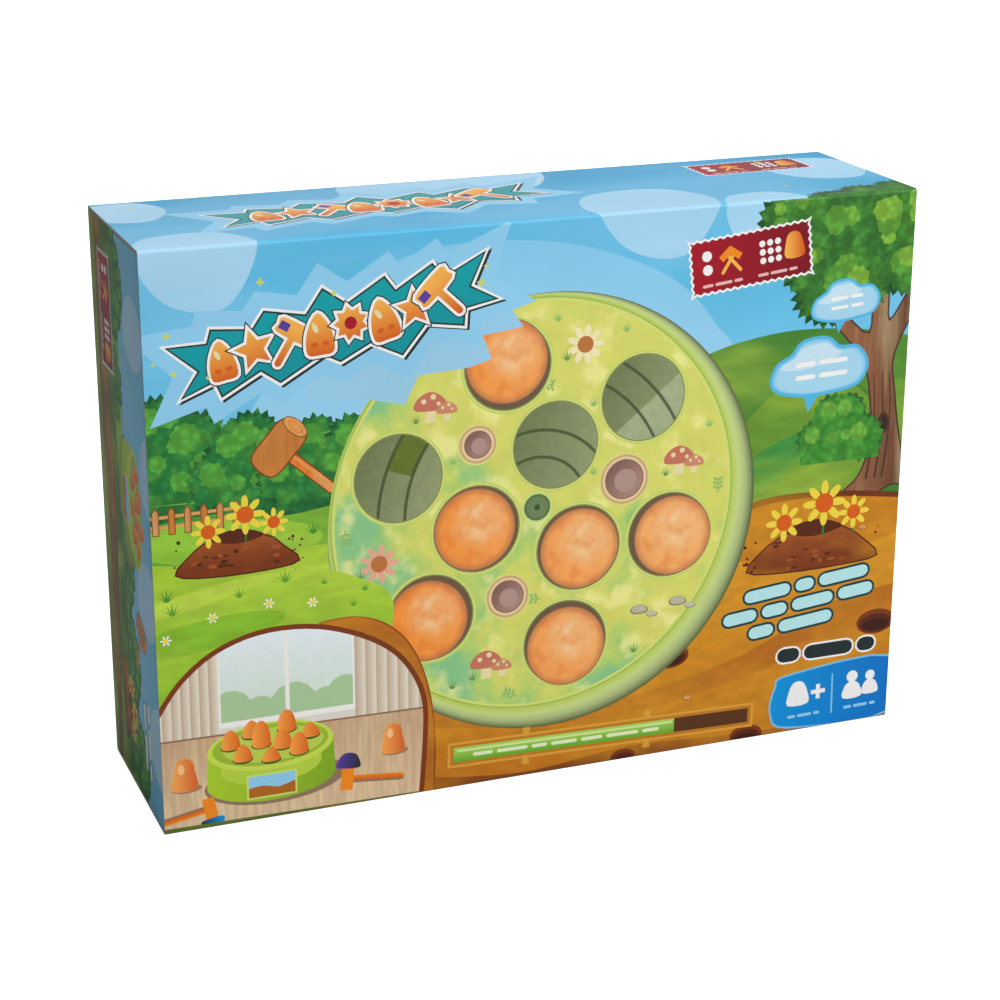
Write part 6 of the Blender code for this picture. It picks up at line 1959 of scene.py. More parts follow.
@dataclass(frozen=True)
class Wall(Panel):
    """One of the sleeve's four panels, from the middle of a crease, round its bends, to its other edge."""

    art: type[Art]
    corner: Point
    heading: float
    bends: tuple[Triple, ...]
    base: float
    high: float
    side: int

    axis = 1

    def path(self) -> Path:
        """Finds the wall's line, from the middle of the crease at its corner of the sleeve.

        Returns:
            The path.
        """
        inset = CREASE * (1 - math.sqrt(0.5))
        across, up = self.corner
        start = Vector((across * (HALF_DEPTH - inset), (HEIGHT if up > 0 else 0.0) - up * inset))
        return Path(start, math.radians(self.heading), self.bends)

    def low(self) -> float:
        """The height in the sheet at which the path starts."""
        return self.base + TRIM

    def sheet(self) -> Sheet:
        """Prints the wall.

        Returns:
            The wall laid flat.
        """
        sheet = Sheet(oblong(-HALF_WIDTH, self.low(), HALF_WIDTH, self.high))
        self.art(Brush(sheet, (0.0, self.base))).lay()
        return sheet

    def lines(self) -> list[float]:
        """The heights in the sheet at which it bends."""
        heights = [self.low() + reach for reach in self.path().steps()]
        return [height for height in heights if self.low() < height < self.high]

    def fold(self, point: Point) -> tuple[Vector, Vector]:
        """The place in metres and the outward direction of a point of the sheet."""
        spot, out = self.path().at(point[1] - self.low())
        return Vector((self.side * point[0], *spot)) * MM, Vector((0, *out)) * self.side


@dataclass(frozen=True)
class Closure(Panel):
    """A closure flap with its tongue, which is folded from the tongue's tip to the flap's back edge."""

    side: int
    start: Point = (-40.9, 149.8)
    tongue: float = 10.444
    lean: float = 35.0
    lean_radius: float = 2.0
    root: float = 1.717
    half: float = 42.5
    low: float = 1.5
    tongue_low: float = 13.5
    chamfer: float = 8.0
    relief: float = 0.6

    def path(self) -> Path:
        """The flap's line: its tongue, the leaning root of that, and the panel after the crease."""
        bends = ((self.tongue, self.lean, self.lean_radius), (self.root, -90 - self.lean, CREASE))
        return Path(Vector(self.start), math.radians(90), bends)

    def tip(self) -> float:
        """The place in the sheet of the tongue's tip."""
        return CREASE - self.half - self.path().steps()[-1]

    def sheet(self) -> Sheet:
        """Prints the flap.

        Returns:
            The flap laid flat.
        """
        root, tip, cut = self.relief - self.half, self.tip(), self.chamfer
        lower = [(self.half, self.low), (root, self.low), (root, self.tongue_low)]
        lower += [(tip + cut, self.tongue_low), (tip, self.tongue_low + cut)]
        outline = [lower[0], *[(across, HEIGHT - up) for across, up in lower], *lower[:0:-1]]
        sheet = Sheet(wound([(self.side * across, up) for across, up in outline]))
        EndArt(Brush(sheet, (self.side * HALF_DEPTH, HEIGHT / 2), turn=self.side * 90.0)).lay()
        return sheet

    def lines(self) -> list[float]:
        """The places in the sheet at which it bends."""
        return [self.side * (self.tip() + reach) for reach in self.path().steps()]

    def fold(self, point: Point) -> tuple[Vector, Vector]:
        """The place in metres and the outward direction of a point of the sheet."""
        spot, out = self.path().at(self.side * point[0] - self.tip())
        return Vector((self.side * spot.y, spot.x, point[1])) * MM, Vector((self.side * out.y, out.x, 0))


@dataclass(frozen=True)
class Carton:
    """The printed sleeve and its two closure flaps, folded out of flat sheets."""

    seam: float = 42.0
    seam_gap: float = 0.1

    def walls(self) -> list[Wall]:
        """Lists the sleeve's four panels.

        Returns:
            The front, the back, the bottom and the top.
        """
        tall, deep = HEIGHT - 2 * CREASE, 2 * HALF_DEPTH - 2 * CREASE
        left, right = (0.0, -45.0, CREASE), (0.0, 45.0, CREASE)
        back_high = HEIGHT - CREASE + 2 * HALF_CREASE + HALF_DEPTH - CREASE - self.seam
        front = (left, (tall, -45.0, CREASE))
        bottom = (left, (deep, -45.0, CREASE))
        return [
            Wall("printed_front", FrontArt, (-1, -1), 135, front, 0.0, HEIGHT - TRIM, 1),
            Wall("printed_back", BackArt, (1, -1), 45, (right, (tall, 90.0, CREASE)), 0.0, back_high, -1),
            Wall("printed_bottom", BottomArt, (1, -1), 225, bottom, -HALF_DEPTH, HALF_DEPTH - TRIM, 1),
            Wall("printed_top", TopArt, (-1, 1), 45, (left,), -HALF_DEPTH, self.seam - self.seam_gap, 1),
        ]

    def build(self, skins: Skins) -> None:
        """Builds and declares every panel.

        Args:
            skins: The board's materials.
        """
        for wall in self.walls():
            node = wall.name.replace("printed", "carton")
            declare(wall.build(skins), "packed_carton", [node])
        for side, name in ((1, "right"), (-1, "left")):
            item = Closure(f"printed_{name}_flap", side).build(skins)
            declare(item, f"{name}_closure", [f"{name}_closure_flap"])


DRUM = Matrix.Translation(Vector((0, 41, 116)) * MM) @ Matrix.Rotation(math.radians(90), 4, "X")
TO_FRONT = Matrix.Rotation(math.radians(90), 4, "X")


@dataclass(frozen=True)
class Turned:
    """A body turned about Z from a profile of radius, level and the rounding of each corner."""

    profile: Sequence[Triple]
    steps: int = 72
    arc_steps: int = 5
    longest: float = 100.0

    def outline(self) -> list[Vector]:
        """Rounds the profile's corners and cuts its long runs up.

        Returns:
            The profile's points.
        """
        found = []
        last, most = len(self.profile) - 1, 0.48
        for index, (radius, level, rounding) in enumerate(self.profile):
            here = Vector((radius, level))
            if index in (0, last) or not rounding:
                found.append(here)
                continue
            ends = []
            for other in (self.profile[index - 1], self.profile[index + 1]):
                way = Vector(other[:2]) - here
                ends.append(here + way.normalized() * min(rounding, most * way.length))
            for step in range(self.arc_steps + 1):
                share = step / self.arc_steps
                found.append(ends[0].lerp(here, share).lerp(here.lerp(ends[1], share), share))
        points = [found[0]]
        for start, end in zip(found, found[1:]):
            count = math.ceil((end - start).length / self.longest)
            points += [start.lerp(end, step / count) for step in range(1, count + 1)]
        return points

    def mesh(self, place: Matrix, lift: Callable[[Vector], Vector] | None = None) -> BMesh:
        """Turns the profile.

        Args:
            place: Where the body goes, from its own millimetres turned to metres.
            lift: What moves a point of it, for features in relief.

        Returns:
            The closed mesh.
        """
        mesh = bmesh.new()
        rings = []
        for radius, level in self.outline():
            count = self.steps if radius > 1e-4 else 1
            turns = [2 * math.pi * step / count for step in range(count)]
            spots = [Vector((*around((0.0, 0.0), radius, turn), level)) for turn in turns]
            rings.append([mesh.verts.new(place @ ((lift(spot) if lift else spot) * MM)) for spot in spots])
        for low, high in zip(rings, rings[1:]):
            for index in range(self.steps):
                quad = ((low, index), (low, index + 1), (high, index + 1), (high, index))
                corners = list(dict.fromkeys(ring[step % len(ring)] for ring, step in quad))
                if len(corners) > 2:
                    mesh.faces.new(corners)
        bmesh.ops.recalc_face_normals(mesh, faces=mesh.faces)
        return mesh


def quarter(steps: int, radius: float, level: float) -> list[Triple]:
    """The profile of a dome in some steps, from its top to its widest ring, which is at the level."""
    turns = [math.pi / 2 * step / steps for step in range(steps + 1)]
    return [(radius * math.sin(turn), level + radius * math.cos(turn), 0) for turn in turns]


@dataclass(frozen=True)
class Mole:
    """A moulded mole cup: a plain skirt, a domed head, a snout with its nose, ears, eyes and cheeks.

    Each bump of the head is given by its azimuth, its polar angle, its reach in degrees and its height.
    """

    height: float = 39.0
    rim: float = 17.3
    skirt: float = 12.0
    head: float = 15.7
    wall: float = 2.0
    ears: float = 130.0
    eyes: float = 38.0
    cheeks: float = 62.0

    def bumps(self) -> list[tuple[float, float, float, float]]:
        """Lists the bumps.

        Returns:
            The snout, the nose, the ears, the eyes, the cheeks and the nape.
        """
        found = [(0.0, 52.0, 26.0, 4.4), (0.0, 58.0, 9.0, 1.5)]
        pairs = ((self.ears, 52.0, 15.0, 3.0), (self.eyes, 40.0, 8.0, -0.9), (self.cheeks, 68.0, 18.0, 1.0))
        for turn, *bump in pairs:
            found += [(turn, *bump), (-turn, *bump)]
        return [*found, (180.0, 8.0, 24.0, 0.9)]

    def lift(self, spot: Vector) -> Vector:
        """Raises or sinks a point of the head by the bumps that it is near.

        Args:
            spot: The point on the plain head.

        Returns:
            The point on the finished head.
        """
        out = spot - Vector((0, 0, self.height - self.head))
        if spot.z < self.skirt + 2 or out.length < self.head - 0.6:
            return spot
        raised = 0.0
        for azimuth, polar, reach, height in self.bumps():
            turn, lean = math.radians(azimuth), math.radians(polar)
            way = Vector((math.sin(lean) * math.cos(turn), math.sin(lean) * math.sin(turn), math.cos(lean)))
            share = max(0.0, 1 - math.degrees(out.angle(way)) / reach)
            raised += height * share * share * (3 - 2 * share)
        return spot + out.normalized() * raised

    def build(self, name: str, place: Matrix, material: Material) -> bpy.types.Object:
        """Builds one mole.

        Args:
            name: The piece's name.
            place: Where it stands.
            material: Its plastic.

        Returns:
            The mole.
        """
        centre = self.height - self.head
        profile = quarter(8, self.head - self.wall, centre)
        profile += [(self.rim - self.wall, self.skirt, 2), (self.rim - self.wall, 0, 0.5), (self.rim, 0, 0.6)]
        profile += [(self.rim, self.skirt - 1, 1), (self.head + 0.6, self.skirt + 1, 1)]
        profile += reversed(quarter(24, self.head, centre))
        return finished(name, Turned(profile, 96, longest=1.6).mesh(place, self.lift), [material], 55)


@dataclass(frozen=True)
class Hammer:
    """A toy hammer that hangs by its head: a ringed handle, a flanged head and a soft striker."""

    middle: Vector
    length: float
    prefix: str

    HEAD = (
        (0, -19, 0), (6.7, -19, 1), (7.5, -17.6, 1), (7.5, -13.6, 1.5), (11, -8, 2), (11, 2, 1),
        (10.3, 3, 0.6), (10.3, 5, 0.6), (11, 6, 1), (11, 12, 3), (16.5, 15.6, 1), (16.5, 19, 0.8), (0, 19, 0),
    )
    STRIKER_FOOT = (
        (8.25, 21.3, 0.4), (8.25, 19.3, 0.6), (19, 19.3, 0.9), (19, 21, 0.5), (18.4, 21.5, 0.5),
        (18.4, 22.4, 0.5), (19, 22.9, 0.5),
    )

    def build(self, plastic: Material, rubber: Material) -> None:
        """Args:
            plastic: The handle's and head's material.
            rubber: The striker's material.
        """
        upright, slot = Matrix.Translation(self.middle * MM), f"{self.prefix}_plastic"
        level = 23.3
        striker = [*self.STRIKER_FOOT, *reversed(quarter(14, 19, level)), *quarter(8, 17, level)]
        striker += [(17, 21.3, 0.5), (8.25, 21.3, 0)]
        self.add("handle", Turned(self.handle(), 48), upright, plastic, slot)
        self.add("head", Turned(self.HEAD), upright @ TO_FRONT, plastic, slot)
        self.add("striker", Turned(striker), upright @ TO_FRONT, rubber, "indigo_rubber")

    def handle(self) -> list[Triple]:
        """Draws the handle, with nine rings above its knob.

        Returns:
            The profile, from its foot up.
        """
        low, wide = -self.length, 6.15
        profile = [(0, low, 0), (6.6, low, 2.5), (7.2, low + 3.4, 1.5)]
        profile += [(7.2, low + 8.6, 1.5), (5.2, low + 12, 2)]
        for ring in range(9):
            foot, waist = low + 17 + 5.2 * ring, 5.5 + 0.05 * ring
            profile += [(waist, foot, 1), (wide, foot + 1.3, 1)]
            profile += [(wide, foot + 2.6, 1), (waist, foot + 3.9, 1)]
        return [*profile, (6.2, low * 0.42, 6), (5.0, -22, 6), (5.0, -11.6, 1), (5.0, 7, 0.6), (0, 7, 0)]

    def add(self, part: str, shape: Turned, place: Matrix, material: Material, slot: str) -> None:
        """Builds and declares one piece."""
        item = finished(f"toy_{self.prefix}_{part}", shape.mesh(place), [material], 50)
        declare(item, "packed_carton", [f"{self.prefix}_hammer_{part}"])


@dataclass(frozen=True)
class DeckSticker(Panel):
    """The sticker on the drum's deck, cut round its holes."""

    radius: float = 91.8
    hole: float = 20.1
    hub: float = 6.1
    front: float = 70.4

    thickness = 0.3

    def sheet(self) -> Sheet:
        """Prints the sticker and cuts its holes.

        Returns:
            The sticker laid flat.
        """
        sheet = Sheet(ellipse((0, 0), (self.radius, self.radius), 128))
        brush = Brush(sheet)
        brush.disc((0, 0), self.radius + 1, Tone.DECK, 96, Ink.DECK)
        picture = DrumPicture(brush, outer_ring=63.5, inner_ring=27.5, dimple_ring=40.0)
        picture.lay_motifs()
        for spot in picture.holes():
            brush.disc(spot, self.hole + 1.6, Tone.RIM, 40)
            sheet.holes.append(ellipse(spot, (self.hole, self.hole), 64))
        for angle, radius in picture.dimples:
            spot = ring_spot(picture.dimple_ring, angle)
            for grow, colour in ((3.4, Tone.SAND), (2.0, Tone.SAND_PALE)):
                brush.disc(spot, radius + grow, colour, 32)
            sheet.holes.append(ellipse(spot, (radius + 0.3, radius + 0.3), 40))
        sheet.holes.append(ellipse((0, 0), (self.hub, self.hub), 32))
        return sheet

    def fold(self, point: Point) -> tuple[Vector, Vector]:
        """The place in metres and the outward direction of a point of the sheet."""
        return DRUM @ (Vector((*point, self.front)) * MM), Vector((0, -1, 0))


@dataclass(frozen=True)
class SideSticker(Panel):
    """The small landscape sticker on the drum's wall, whose radius shrinks from its foot upwards."""

    low: float = 13.13
    high: float = 47.04
    half: float = math.radians(24.0)
    middle_radius: float = 101.0
    foot_radius: float = 102.3
    foot: float = 2.0
    wall_height: float = 52.7
    draft: float = 2.6
    steps: int = 24

    thickness = 0.3

    def sheet(self) -> Sheet:
        """Prints the sticker.

        Returns:
            The sticker laid flat.
        """
        reach = self.half * self.middle_radius
        sheet = Sheet(oblong(-reach, self.low, reach, self.high))
        garden = Garden(Brush(sheet))
        garden.lay_sky(46, 50)
        garden.lay_rounds((-26, 38, 9), (18, 42, 8))
        meadow = ([(-46, 22), (-10, 28), (20, 22), (46, 27)], Tone.MEADOW, Tone.MEADOW_DEEP, 20)
        garden.lay_hills(Ink.LAWN, meadow)
        garden.lay_hills(Ink.EARTH, ([(-46, 12), (0, 17), (46, 11)], Tone.EARTH, Tone.EARTH_DEEP, 16))
        mound(garden.brush.at(-20, 12), 22, 21, False)
        mound(garden.brush.at(20, 10), 26, 22)
        return sheet

    def lines(self) -> list[float]:
        """The places in the sheet at which it bends."""
        reach = self.half * self.middle_radius
        return [-reach + 2 * reach * step / self.steps for step in range(1, self.steps)]

    def fold(self, point: Point) -> tuple[Vector, Vector]:
        """Wraps a point of the sheet round the wall.

        Args:
            point: The point.

        Returns:
            Its place in metres and the outward direction there.
        """
        radius = self.foot_radius - self.draft * (point[1] - self.foot) / self.wall_height
        way = Vector((*around((0.0, 0.0), 1.0, point[0] / self.middle_radius - math.pi / 2), 0))
        return DRUM @ (Vector((way.x * radius, way.y * radius, point[1])) * MM), DRUM.to_3x3() @ way


@dataclass(frozen=True)
class Game:
    """The round game's moles, hammers and stickers."""

    paper: Skins
    seated: tuple[Triple, ...] = (
        (63.5, 102, 20.0), (63.5, 222, -35.0), (63.5, 282, 60.0), (63.5, 342, 150.0), (27.5, 193, -80.0),
        (27.5, 313, 110.0),
    )
    seat: float = 35.5
    spare: tuple[Point, ...] = ((7, 0.0), (8, -1.0), (9, 1.0))
    knob: float = 7.0

    def build(self) -> None:
        orange, rubber, blue = [finish.build() for finish in (ORANGE_MOLE, INDIGO_STRIKER, BLUE_HAMMER)]
        for number, (radius, angle, spin) in enumerate(self.seated, 1):
            spot = Vector((*ring_spot(radius, angle), self.seat))
            self.add_mole(number, f"mole_{number}", DRUM @ Matrix.Translation(spot * MM), spin, orange)
        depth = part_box("mole_9")[1][1] - Mole().rim * MM
        for number, share in self.spare:
            low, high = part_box(f"mole_{number}")
            place = Matrix.Translation(Vector(((low[0] + high[0]) / 2, share * depth, low[2])))
            self.add_mole(number, "packed_carton", place, -90.0, orange)
        for prefix, plastic in (("orange", orange), ("blue", blue)):
            low, high = (Vector(corner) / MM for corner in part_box(f"{prefix}_hammer_handle"))
            middle = Vector(((low.x + high.x) / 2, (low.y + high.y) / 2, high.z - self.knob))
            Hammer(middle, middle.z - low.z, prefix).build(plastic, rubber)
        for kind, place in ((DeckSticker, "deck"), (SideSticker, "side")):
            sticker = kind(f"{place}_sticker").build(self.paper)
            declare(sticker, "packed_carton", [f"{place}_label"])

    def add_mole(self, number: int, body: str, place: Matrix, spin: float, material: Material) -> None:
        """Builds and declares one mole.

        Args:
            number: Its number.
            body: The body that it rides on.
            place: Where it stands.
            spin: How many degrees it is turned on its foot.
            material: Its plastic.
        """
        turned = place @ Matrix.Rotation(math.radians(spin), 4, "Z")
        item = Mole().build(f"toy_mole_{number}", turned, material)
        declare(item, body, [f"mole_{number}"])


class Growth(NodeTree):
    """A Geometry Nodes tree that puts one made piece on every point of a mesh."""

    def __init__(self, name: str, sizes: Sequence[str]) -> None:
        """Makes a tree with its inputs.

        Args:
            name: The tree's name.
            sizes: The names of its sizes.
        """
        super().__init__(bpy.data.node_groups.new(name, "GeometryNodeTree"), "GeometryNode")
        kinds = {"Points": "Geometry", "Turn": "Vector", "Finish": "Material"} | dict.fromkeys(sizes, "Float")
        for label, kind in kinds.items():
            self.tree.interface.new_socket(label, in_out="INPUT", socket_type="NodeSocket" + kind)
        self.tree.interface.new_socket("Mesh", in_out="OUTPUT", socket_type="NodeSocketGeometry")
        self.given = self.add("NodeGroupInput").outputs

    def sum_of(self, operation: str, first: object, second: object) -> Socket:
        """One sum of two sizes, each a socket, a number or the name of an input."""
        values = [self.given[value] if isinstance(value, str) else value for value in (first, second)]
        return self.out("ShaderNodeMath", dict(enumerate(values)), operation=operation)

    def share(self, size: str, part: float) -> Socket:
        """A share of a named size."""
        return self.sum_of("MULTIPLY", size, part)

    def moved(self, piece: Socket, level: object) -> Socket:
        """A piece moved along Z."""
        way = self.out("ShaderNodeCombineXYZ", {"Z": level})
        return self.out("Transform", {"Geometry": piece, "Translation": way})

    def round_bar(self, kind: str, level: object, sides: int, depth: object, **radii: object) -> Socket:
        """A Cylinder with its middle at a level, or a Cone with its foot there, and its radii by name."""
        sizes = {label.replace("_", " "): value for label, value in radii.items()}
        return self.moved(self.out("Mesh" + kind, {"Vertices": sides, "Depth": depth} | sizes), level)

    def coil(self, turns: object, first: object, last: object, height: object, wire: object) -> Socket:
        """Winds a wire up from the ground.

        Args:
            turns: How many turns it makes.
            first: Its radius at the ground.
            last: Its radius at the top.
            height: Its height.
            wire: The wire's radius.

        Returns:
            Its mesh.
        """
        radii = {"Start Radius": first, "End Radius": last}
        line = self.out("CurveSpiral", {"Resolution": 20, "Rotations": turns, "Height": height} | radii)
        ring = self.out("CurvePrimitiveCircle", {"Resolution": 6, "Radius": wire})
        return self.out("CurveToMesh", {"Curve": line, "Profile Curve": ring, "Fill Caps": True})

    def end(self, piece: Socket) -> "Growth":
        """Puts the made piece on the points, in its finish.

        Args:
            piece: The piece's mesh.

        Returns:
            The finished tree.
        """
        points, turn, finish = [self.given[label] for label in ("Points", "Turn", "Finish")]
        spread = self.out("InstanceOnPoints", {"Points": points, "Instance": piece, "Rotation": turn})
        real = self.out("RealizeInstances", {"Geometry": spread})
        self.add("NodeGroupOutput", {"Mesh": self.out("SetMaterial", {"Geometry": real, "Material": finish})})
        return self

    def grow(
        self, spots: Sequence[Vector], turn: Triple, finish: Material, sizes: dict[str, float]
    ) -> bpy.types.Mesh:
        """Grows the tree's pieces.

        Args:
            spots: Where they go, in metres.
            turn: How they are turned.
            finish: Their material.
            sizes: The tree's sizes, in metres or counts.

        Returns:
            Their joined mesh.
        """
        data = bpy.data.meshes.new("points")
        data.from_pydata([tuple(spot) for spot in spots], [], [])
        item = bpy.data.objects.new("points", data)
        bpy.context.scene.collection.objects.link(item)
        modifier = item.modifiers.new("grown", "NODES")
        modifier.node_group = self.tree
        values = {"Turn": turn, "Finish": finish} | sizes
        for socket in self.tree.interface.items_tree:
            if socket.name in values:
                modifier[socket.identifier] = values[socket.name]
        bpy.context.view_layer.update()
        grown = bpy.data.meshes.new_from_object(item.evaluated_get(bpy.context.evaluated_depsgraph_get()))
        item.modifiers.remove(modifier)
        bpy.data.objects.remove(item)
        return grown


def screw_tree() -> Growth:
    """Makes the tree of a pan-head screw with a cross recess and a thread, its head's top on the point.

    Returns:
        The tree.
    """
    tree = Growth("cross_screw", ("Head Radius", "Head Height", "Shank Radius", "Length", "Pitch"))
    radius, under = tree.given["Head Radius"], tree.share("Head Height", -1.0)
    level, depth = tree.share("Head Height", -0.45), tree.share("Head Height", 0.45)
    top = tree.share("Head Radius", 0.68)
    crown = tree.round_bar("Cone", level, 40, depth, Radius_Top=top, Radius_Bottom=radius)
    level, depth = tree.share("Head Height", -0.725), tree.share("Head Height", 0.55)
    brim = tree.round_bar("Cylinder", level, 40, depth, Radius=radius)
    middle, core = tree.sum_of("SUBTRACT", under, tree.share("Length", 0.5)), tree.share("Shank Radius", 0.8)
    shank = tree.round_bar("Cylinder", middle, 24, tree.given["Length"], Radius=core)
    whole = tree.out("MeshBoolean", {"Mesh 2": [crown, brim, shank]}, operation="UNION")
    wide, narrow = tree.share("Head Radius", 1.15), tree.share("Head Radius", 0.26)
    deep = tree.share("Head Height", 1.1)
    slots = []
    for across, along in ((wide, narrow), (narrow, wide)):
        size = tree.out("ShaderNodeCombineXYZ", {"X": across, "Y": along, "Z": deep})
        slots.append(tree.out("MeshCube", {"Size": size}))
    cut = tree.out("MeshBoolean", {"Mesh 1": whole, "Mesh 2": slots}, operation="DIFFERENCE")
    run = tree.share("Length", 0.88)
    first, last, wire = [tree.share("Shank Radius", part) for part in (0.6, 0.82, 0.17)]
    thread = tree.coil(tree.sum_of("DIVIDE", run, "Pitch"), first, last, run, wire)
    thread = tree.moved(thread, tree.sum_of("SUBTRACT", under, tree.share("Length", 0.97)))
    return tree.end(tree.out("JoinGeometry", {0: [cut, thread]}))


def spring_tree() -> Growth:
    """Makes the tree of a battery spring, wound up from the point and narrower at its tip.

    Returns:
        The tree.
    """
    sizes = ("Turns", "Foot Radius", "Tip Radius", "Height", "Wire")
    tree = Growth("battery_spring", sizes)
    return tree.end(tree.coil(*[tree.given[size] for size in sizes]))


@dataclass(frozen=True)
class Hardware:
    """The game's screws, battery contacts and springs."""

    head_height: float = 2.0
    door_head_height: float = 0.75
    shank: float = 1.4
    pitch: float = 1.15
    pivot_head: float = 2.6
    pivot_head_height: float = 1.6
    flange: float = 1.2
    contact: float = 0.5
    spring_length: float = 2.6
    spring_foot: float = 3.3
    spring_tip: float = 2.1
    spring_turns: float = 3.5
    wire: float = 0.28

    def build(self) -> None:
        tree = screw_tree()
        deck_screws = [f"deck_screw_{number}" for number in (1, 2, 3)]
        self.add_screws(tree, "deck_screws", deck_screws, self.head_height)
        self.add_screws(tree, "door_screw", ["battery_door_screw"], self.door_head_height)
        self.add_pivot(tree)
        coils = spring_tree()
        self.add_contact(coils, "right_battery_contact", 1, (0, 2))
        self.add_contact(coils, "left_battery_contact", -1, (1,))

    def add(self, name: str, mesh: BMesh, nodes: Sequence[str]) -> None:
        """Finishes and declares a piece of steel."""
        declare(finished(name, mesh, [self.steel(nodes[0])], 35), "packed_carton", nodes)

    def steel(self, node: str) -> Material:
        """The finish that a CAD node has."""
        return frame["nodes"][node].data.materials[0]

    def screw_sizes(self, radius: float, height: float, length: float) -> dict[str, float]:
        """The screw tree's sizes for a head's radius and height and a length, in metres."""
        sizes = {"Head Radius": radius, "Head Height": height, "Length": length}
        return sizes | {"Shank Radius": self.shank * MM, "Pitch": self.pitch * MM}

    def add_screws(self, tree: Growth, name: str, nodes: Sequence[str], head_height: float) -> None:
        """Builds and declares screws that were driven in from the back.

        Args:
            tree: The screws' tree.
            name: The piece's name.
            nodes: The CAD nodes.
            head_height: The height of their heads.
        """
        spots = []
        for node in nodes:
            low, high = (Vector(corner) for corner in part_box(node))
            spots.append(Vector(((low.x + high.x) / 2, high.y, (low.z + high.z) / 2)))
        height = head_height * MM
        sizes = self.screw_sizes((high.x - low.x) / 2, height, high.y - low.y - height)
        mesh = bmesh.new()
        mesh.from_mesh(tree.grow(spots, (-math.pi / 2, 0, 0), self.steel(nodes[0]), sizes))
        self.add(name, mesh, nodes)

    def add_pivot(self, tree: Growth) -> None:
        """Args:
            tree: The screws' tree.
        """
        low, high = (Vector(corner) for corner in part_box("pivot_screw"))
        under = low.y + self.pivot_head_height * MM
        sizes = self.screw_sizes(self.pivot_head * MM, self.pivot_head_height * MM, high.y - under)
        middle = (low + high) / 2
        half = (high.x - low.x) / 2 / MM
        flange = Turned([(0, 0, 0), (half, 0, 0.4), (half, self.flange, 0.3), (0, self.flange, 0)], 48)
        seat = Vector((middle.x, under + self.flange * MM, middle.z))
        mesh = flange.mesh(Matrix.Translation(seat) @ TO_FRONT)
        spot = Vector((middle.x, low.y, middle.z))
        mesh.from_mesh(tree.grow([spot], (math.pi / 2, 0, 0), self.steel("pivot_screw"), sizes))
        self.add("flanged_screw", mesh, ["pivot_screw"])

    def add_contact(self, coils: Growth, node: str, side: int, cells: Sequence[int]) -> None:
        """Builds and declares a battery contact plate and its springs.

        Args:
            coils: The springs' tree.
            node: The CAD node.
            side: 1 for the right end of the bay, -1 for the left.
            cells: The cells, from 0 to 2, that its springs press on.
        """
        low, high = (Vector(corner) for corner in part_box(node))
        middle, size = (low + high) / 2, high - low
        wall = high.x if side > 0 else low.x
        size.x = self.contact * MM
        face = wall - side * size.x
        plate = Vector(((wall + face) / 2, middle.y, middle.z))
        mesh = bmesh.new()
        bmesh.ops.create_cube(mesh, size=1, matrix=Matrix.Translation(plate) @ Matrix.Diagonal((*size, 1)))
        spots = [Vector((face, middle.y, middle.z + (cell - 1) * size.z / 3)) for cell in cells]
        sizes = {
            "Turns": self.spring_turns,
            "Foot Radius": self.spring_foot * MM,
            "Tip Radius": self.spring_tip * MM,
            "Height": (self.spring_length - self.wire) * MM,
            "Wire": self.wire * MM,
        }
        mesh.from_mesh(coils.grow(spots, (0, -side * math.pi / 2, 0), self.steel(node), sizes))
        self.add(f"{node}_sprung", mesh, [node])


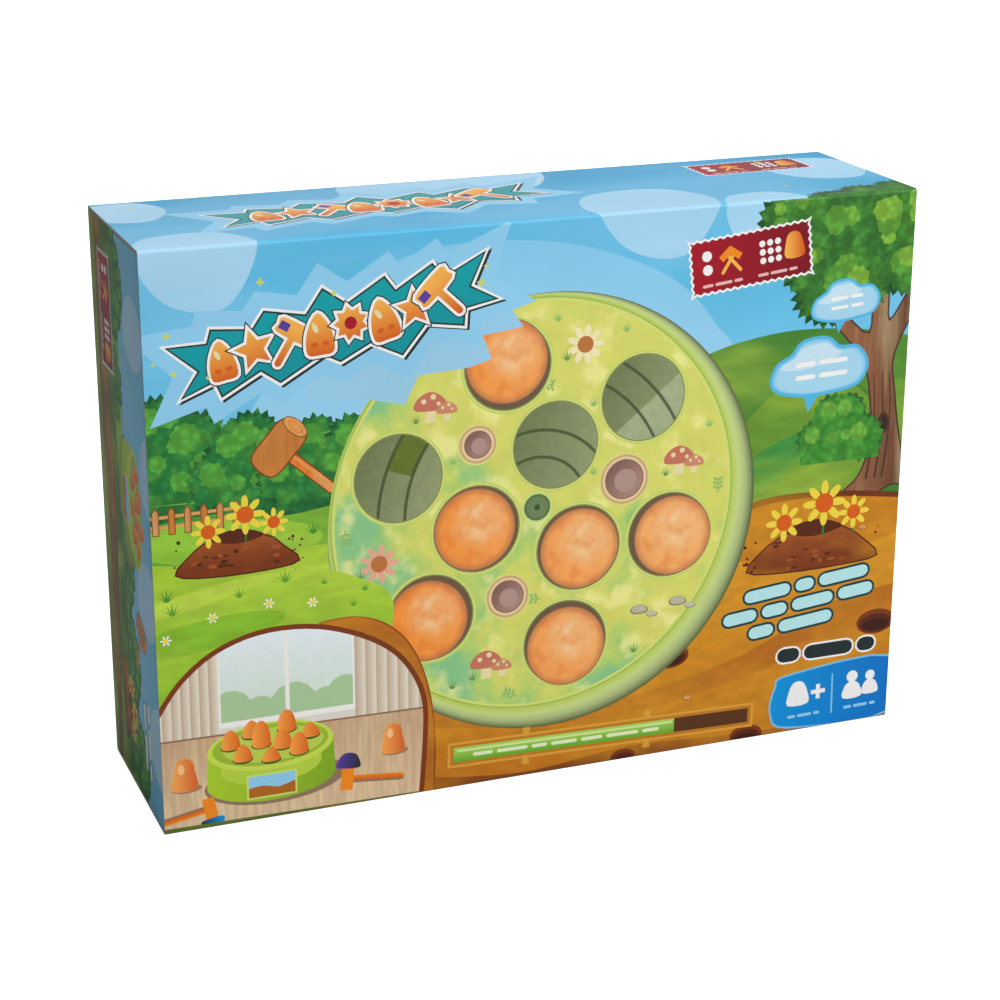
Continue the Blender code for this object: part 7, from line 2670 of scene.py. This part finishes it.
@dataclass(frozen=True)
class Studio:
    """A pale floor, soft lights and the camera."""

    camera_at: Triple = (-0.3509, -0.8944, 0.4408)
    camera_turn: Triple = (math.pi / 2 - 0.33296, -0.00275, -0.36909)
    lens: float = 85.666
    sensor: float = 36.0
    floor_half: float = 6.0
    floor_glow: float = 0.84
    floor_bounce: float = 0.45
    ambient: float = 0.2
    aim: Triple = (0, 0, 0.11)

    LAMPS = (
        ("key", (0.9, -1.8, 1.2), 1.4, 32.0),
        ("fill", (-0.1, -1.7, 0.7), 1.6, 2.4),
        ("top", (0.3, 0.1, 2.2), 1.6, 21.0),
        ("back", (0.5, 1.8, 1.3), 1.4, 4.5),
    )

    def build(self) -> None:
        """Sets the scene round the object."""
        self.lay_floor()
        self.hang_lights()
        self.light_world()
        self.place_camera()

    def add(self, name: str, data: bpy.types.ID) -> bpy.types.Object:
        """Puts an object in the scene.

        Args:
            name: Its name.
            data: Its mesh, light or camera.

        Returns:
            The object.
        """
        item = bpy.data.objects.new(name, data)
        bpy.context.scene.collection.objects.link(item)
        return item

    def lay_floor(self) -> None:
        """Lays the floor, which keeps the object's shadow and is white elsewhere."""
        half, white, bounce = self.floor_half, (0.95, 0.95, 0.95, 1), self.floor_bounce
        data = bpy.data.meshes.new("floor")
        data.from_pydata([(*corner, 0) for corner in oblong(-half, -half, half, half)], [], [(0, 1, 2, 3)])
        tree = Shading("floor_white")
        seen = tree.add("LightPath").outputs["Is Camera Ray"]
        glow = tree.math("MULTIPLY", seen, self.floor_glow)
        colour = tree.mix(seen, (bounce, bounce, bounce, 1), white)
        data.materials.append(tree.surface(colour, 0.9, Emission_Color=white, Emission_Strength=glow))
        self.add("floor", data)

    def hang_lights(self) -> None:
        """Hangs a wide key light, a fill, a top light and a back light."""
        for name, spot, size, energy in self.LAMPS:
            data = bpy.data.lights.new(name, "AREA")
            data.energy = energy
            data.size = size
            lamp = self.add(name, data)
            lamp.location = spot
            lamp.rotation_euler = (Vector(self.aim) - Vector(spot)).to_track_quat("-Z", "Y").to_euler()

    def light_world(self) -> None:
        """Lights the scene from all round and shows white behind it."""
        world = bpy.data.worlds.new("studio")
        bpy.context.scene.world = world
        world.use_nodes = True
        tree = NodeTree(world.node_tree, "ShaderNode")
        seen = tree.add("LightPath").outputs["Is Camera Ray"]
        share = tree.out("Mix", {0: seen, 2: self.ambient, 3: 1.0})
        light = tree.out("Background", {"Color": (1, 1, 1, 1), "Strength": share})
        tree.add("OutputWorld", {0: light})
        bpy.context.scene.view_settings.view_transform = "Standard"

    def place_camera(self) -> None:
        """Places the camera at the photo's view."""
        data = bpy.data.cameras.new("camera")
        data.lens = self.lens
        data.sensor_width = self.sensor
        camera = self.add("camera", data)
        camera.location = self.camera_at
        camera.rotation_euler = self.camera_turn
        bpy.context.scene.camera = camera


def main() -> None:
    """Builds every piece, then the studio round them."""
    finish_nodes()
    prints = {finish.ink: finish.build() for finish in PRINT_FINISHES}
    inside, cut = BOARD_INSIDE.build(), BOARD_EDGE.build()
    Carton().build(Skins(prints, inside, cut))
    paper = LABEL_BACK.build()
    Game(Skins(prints, paper, paper)).build()
    Hardware().build()
    Studio().build()


if __name__ == "__main__":
    main()
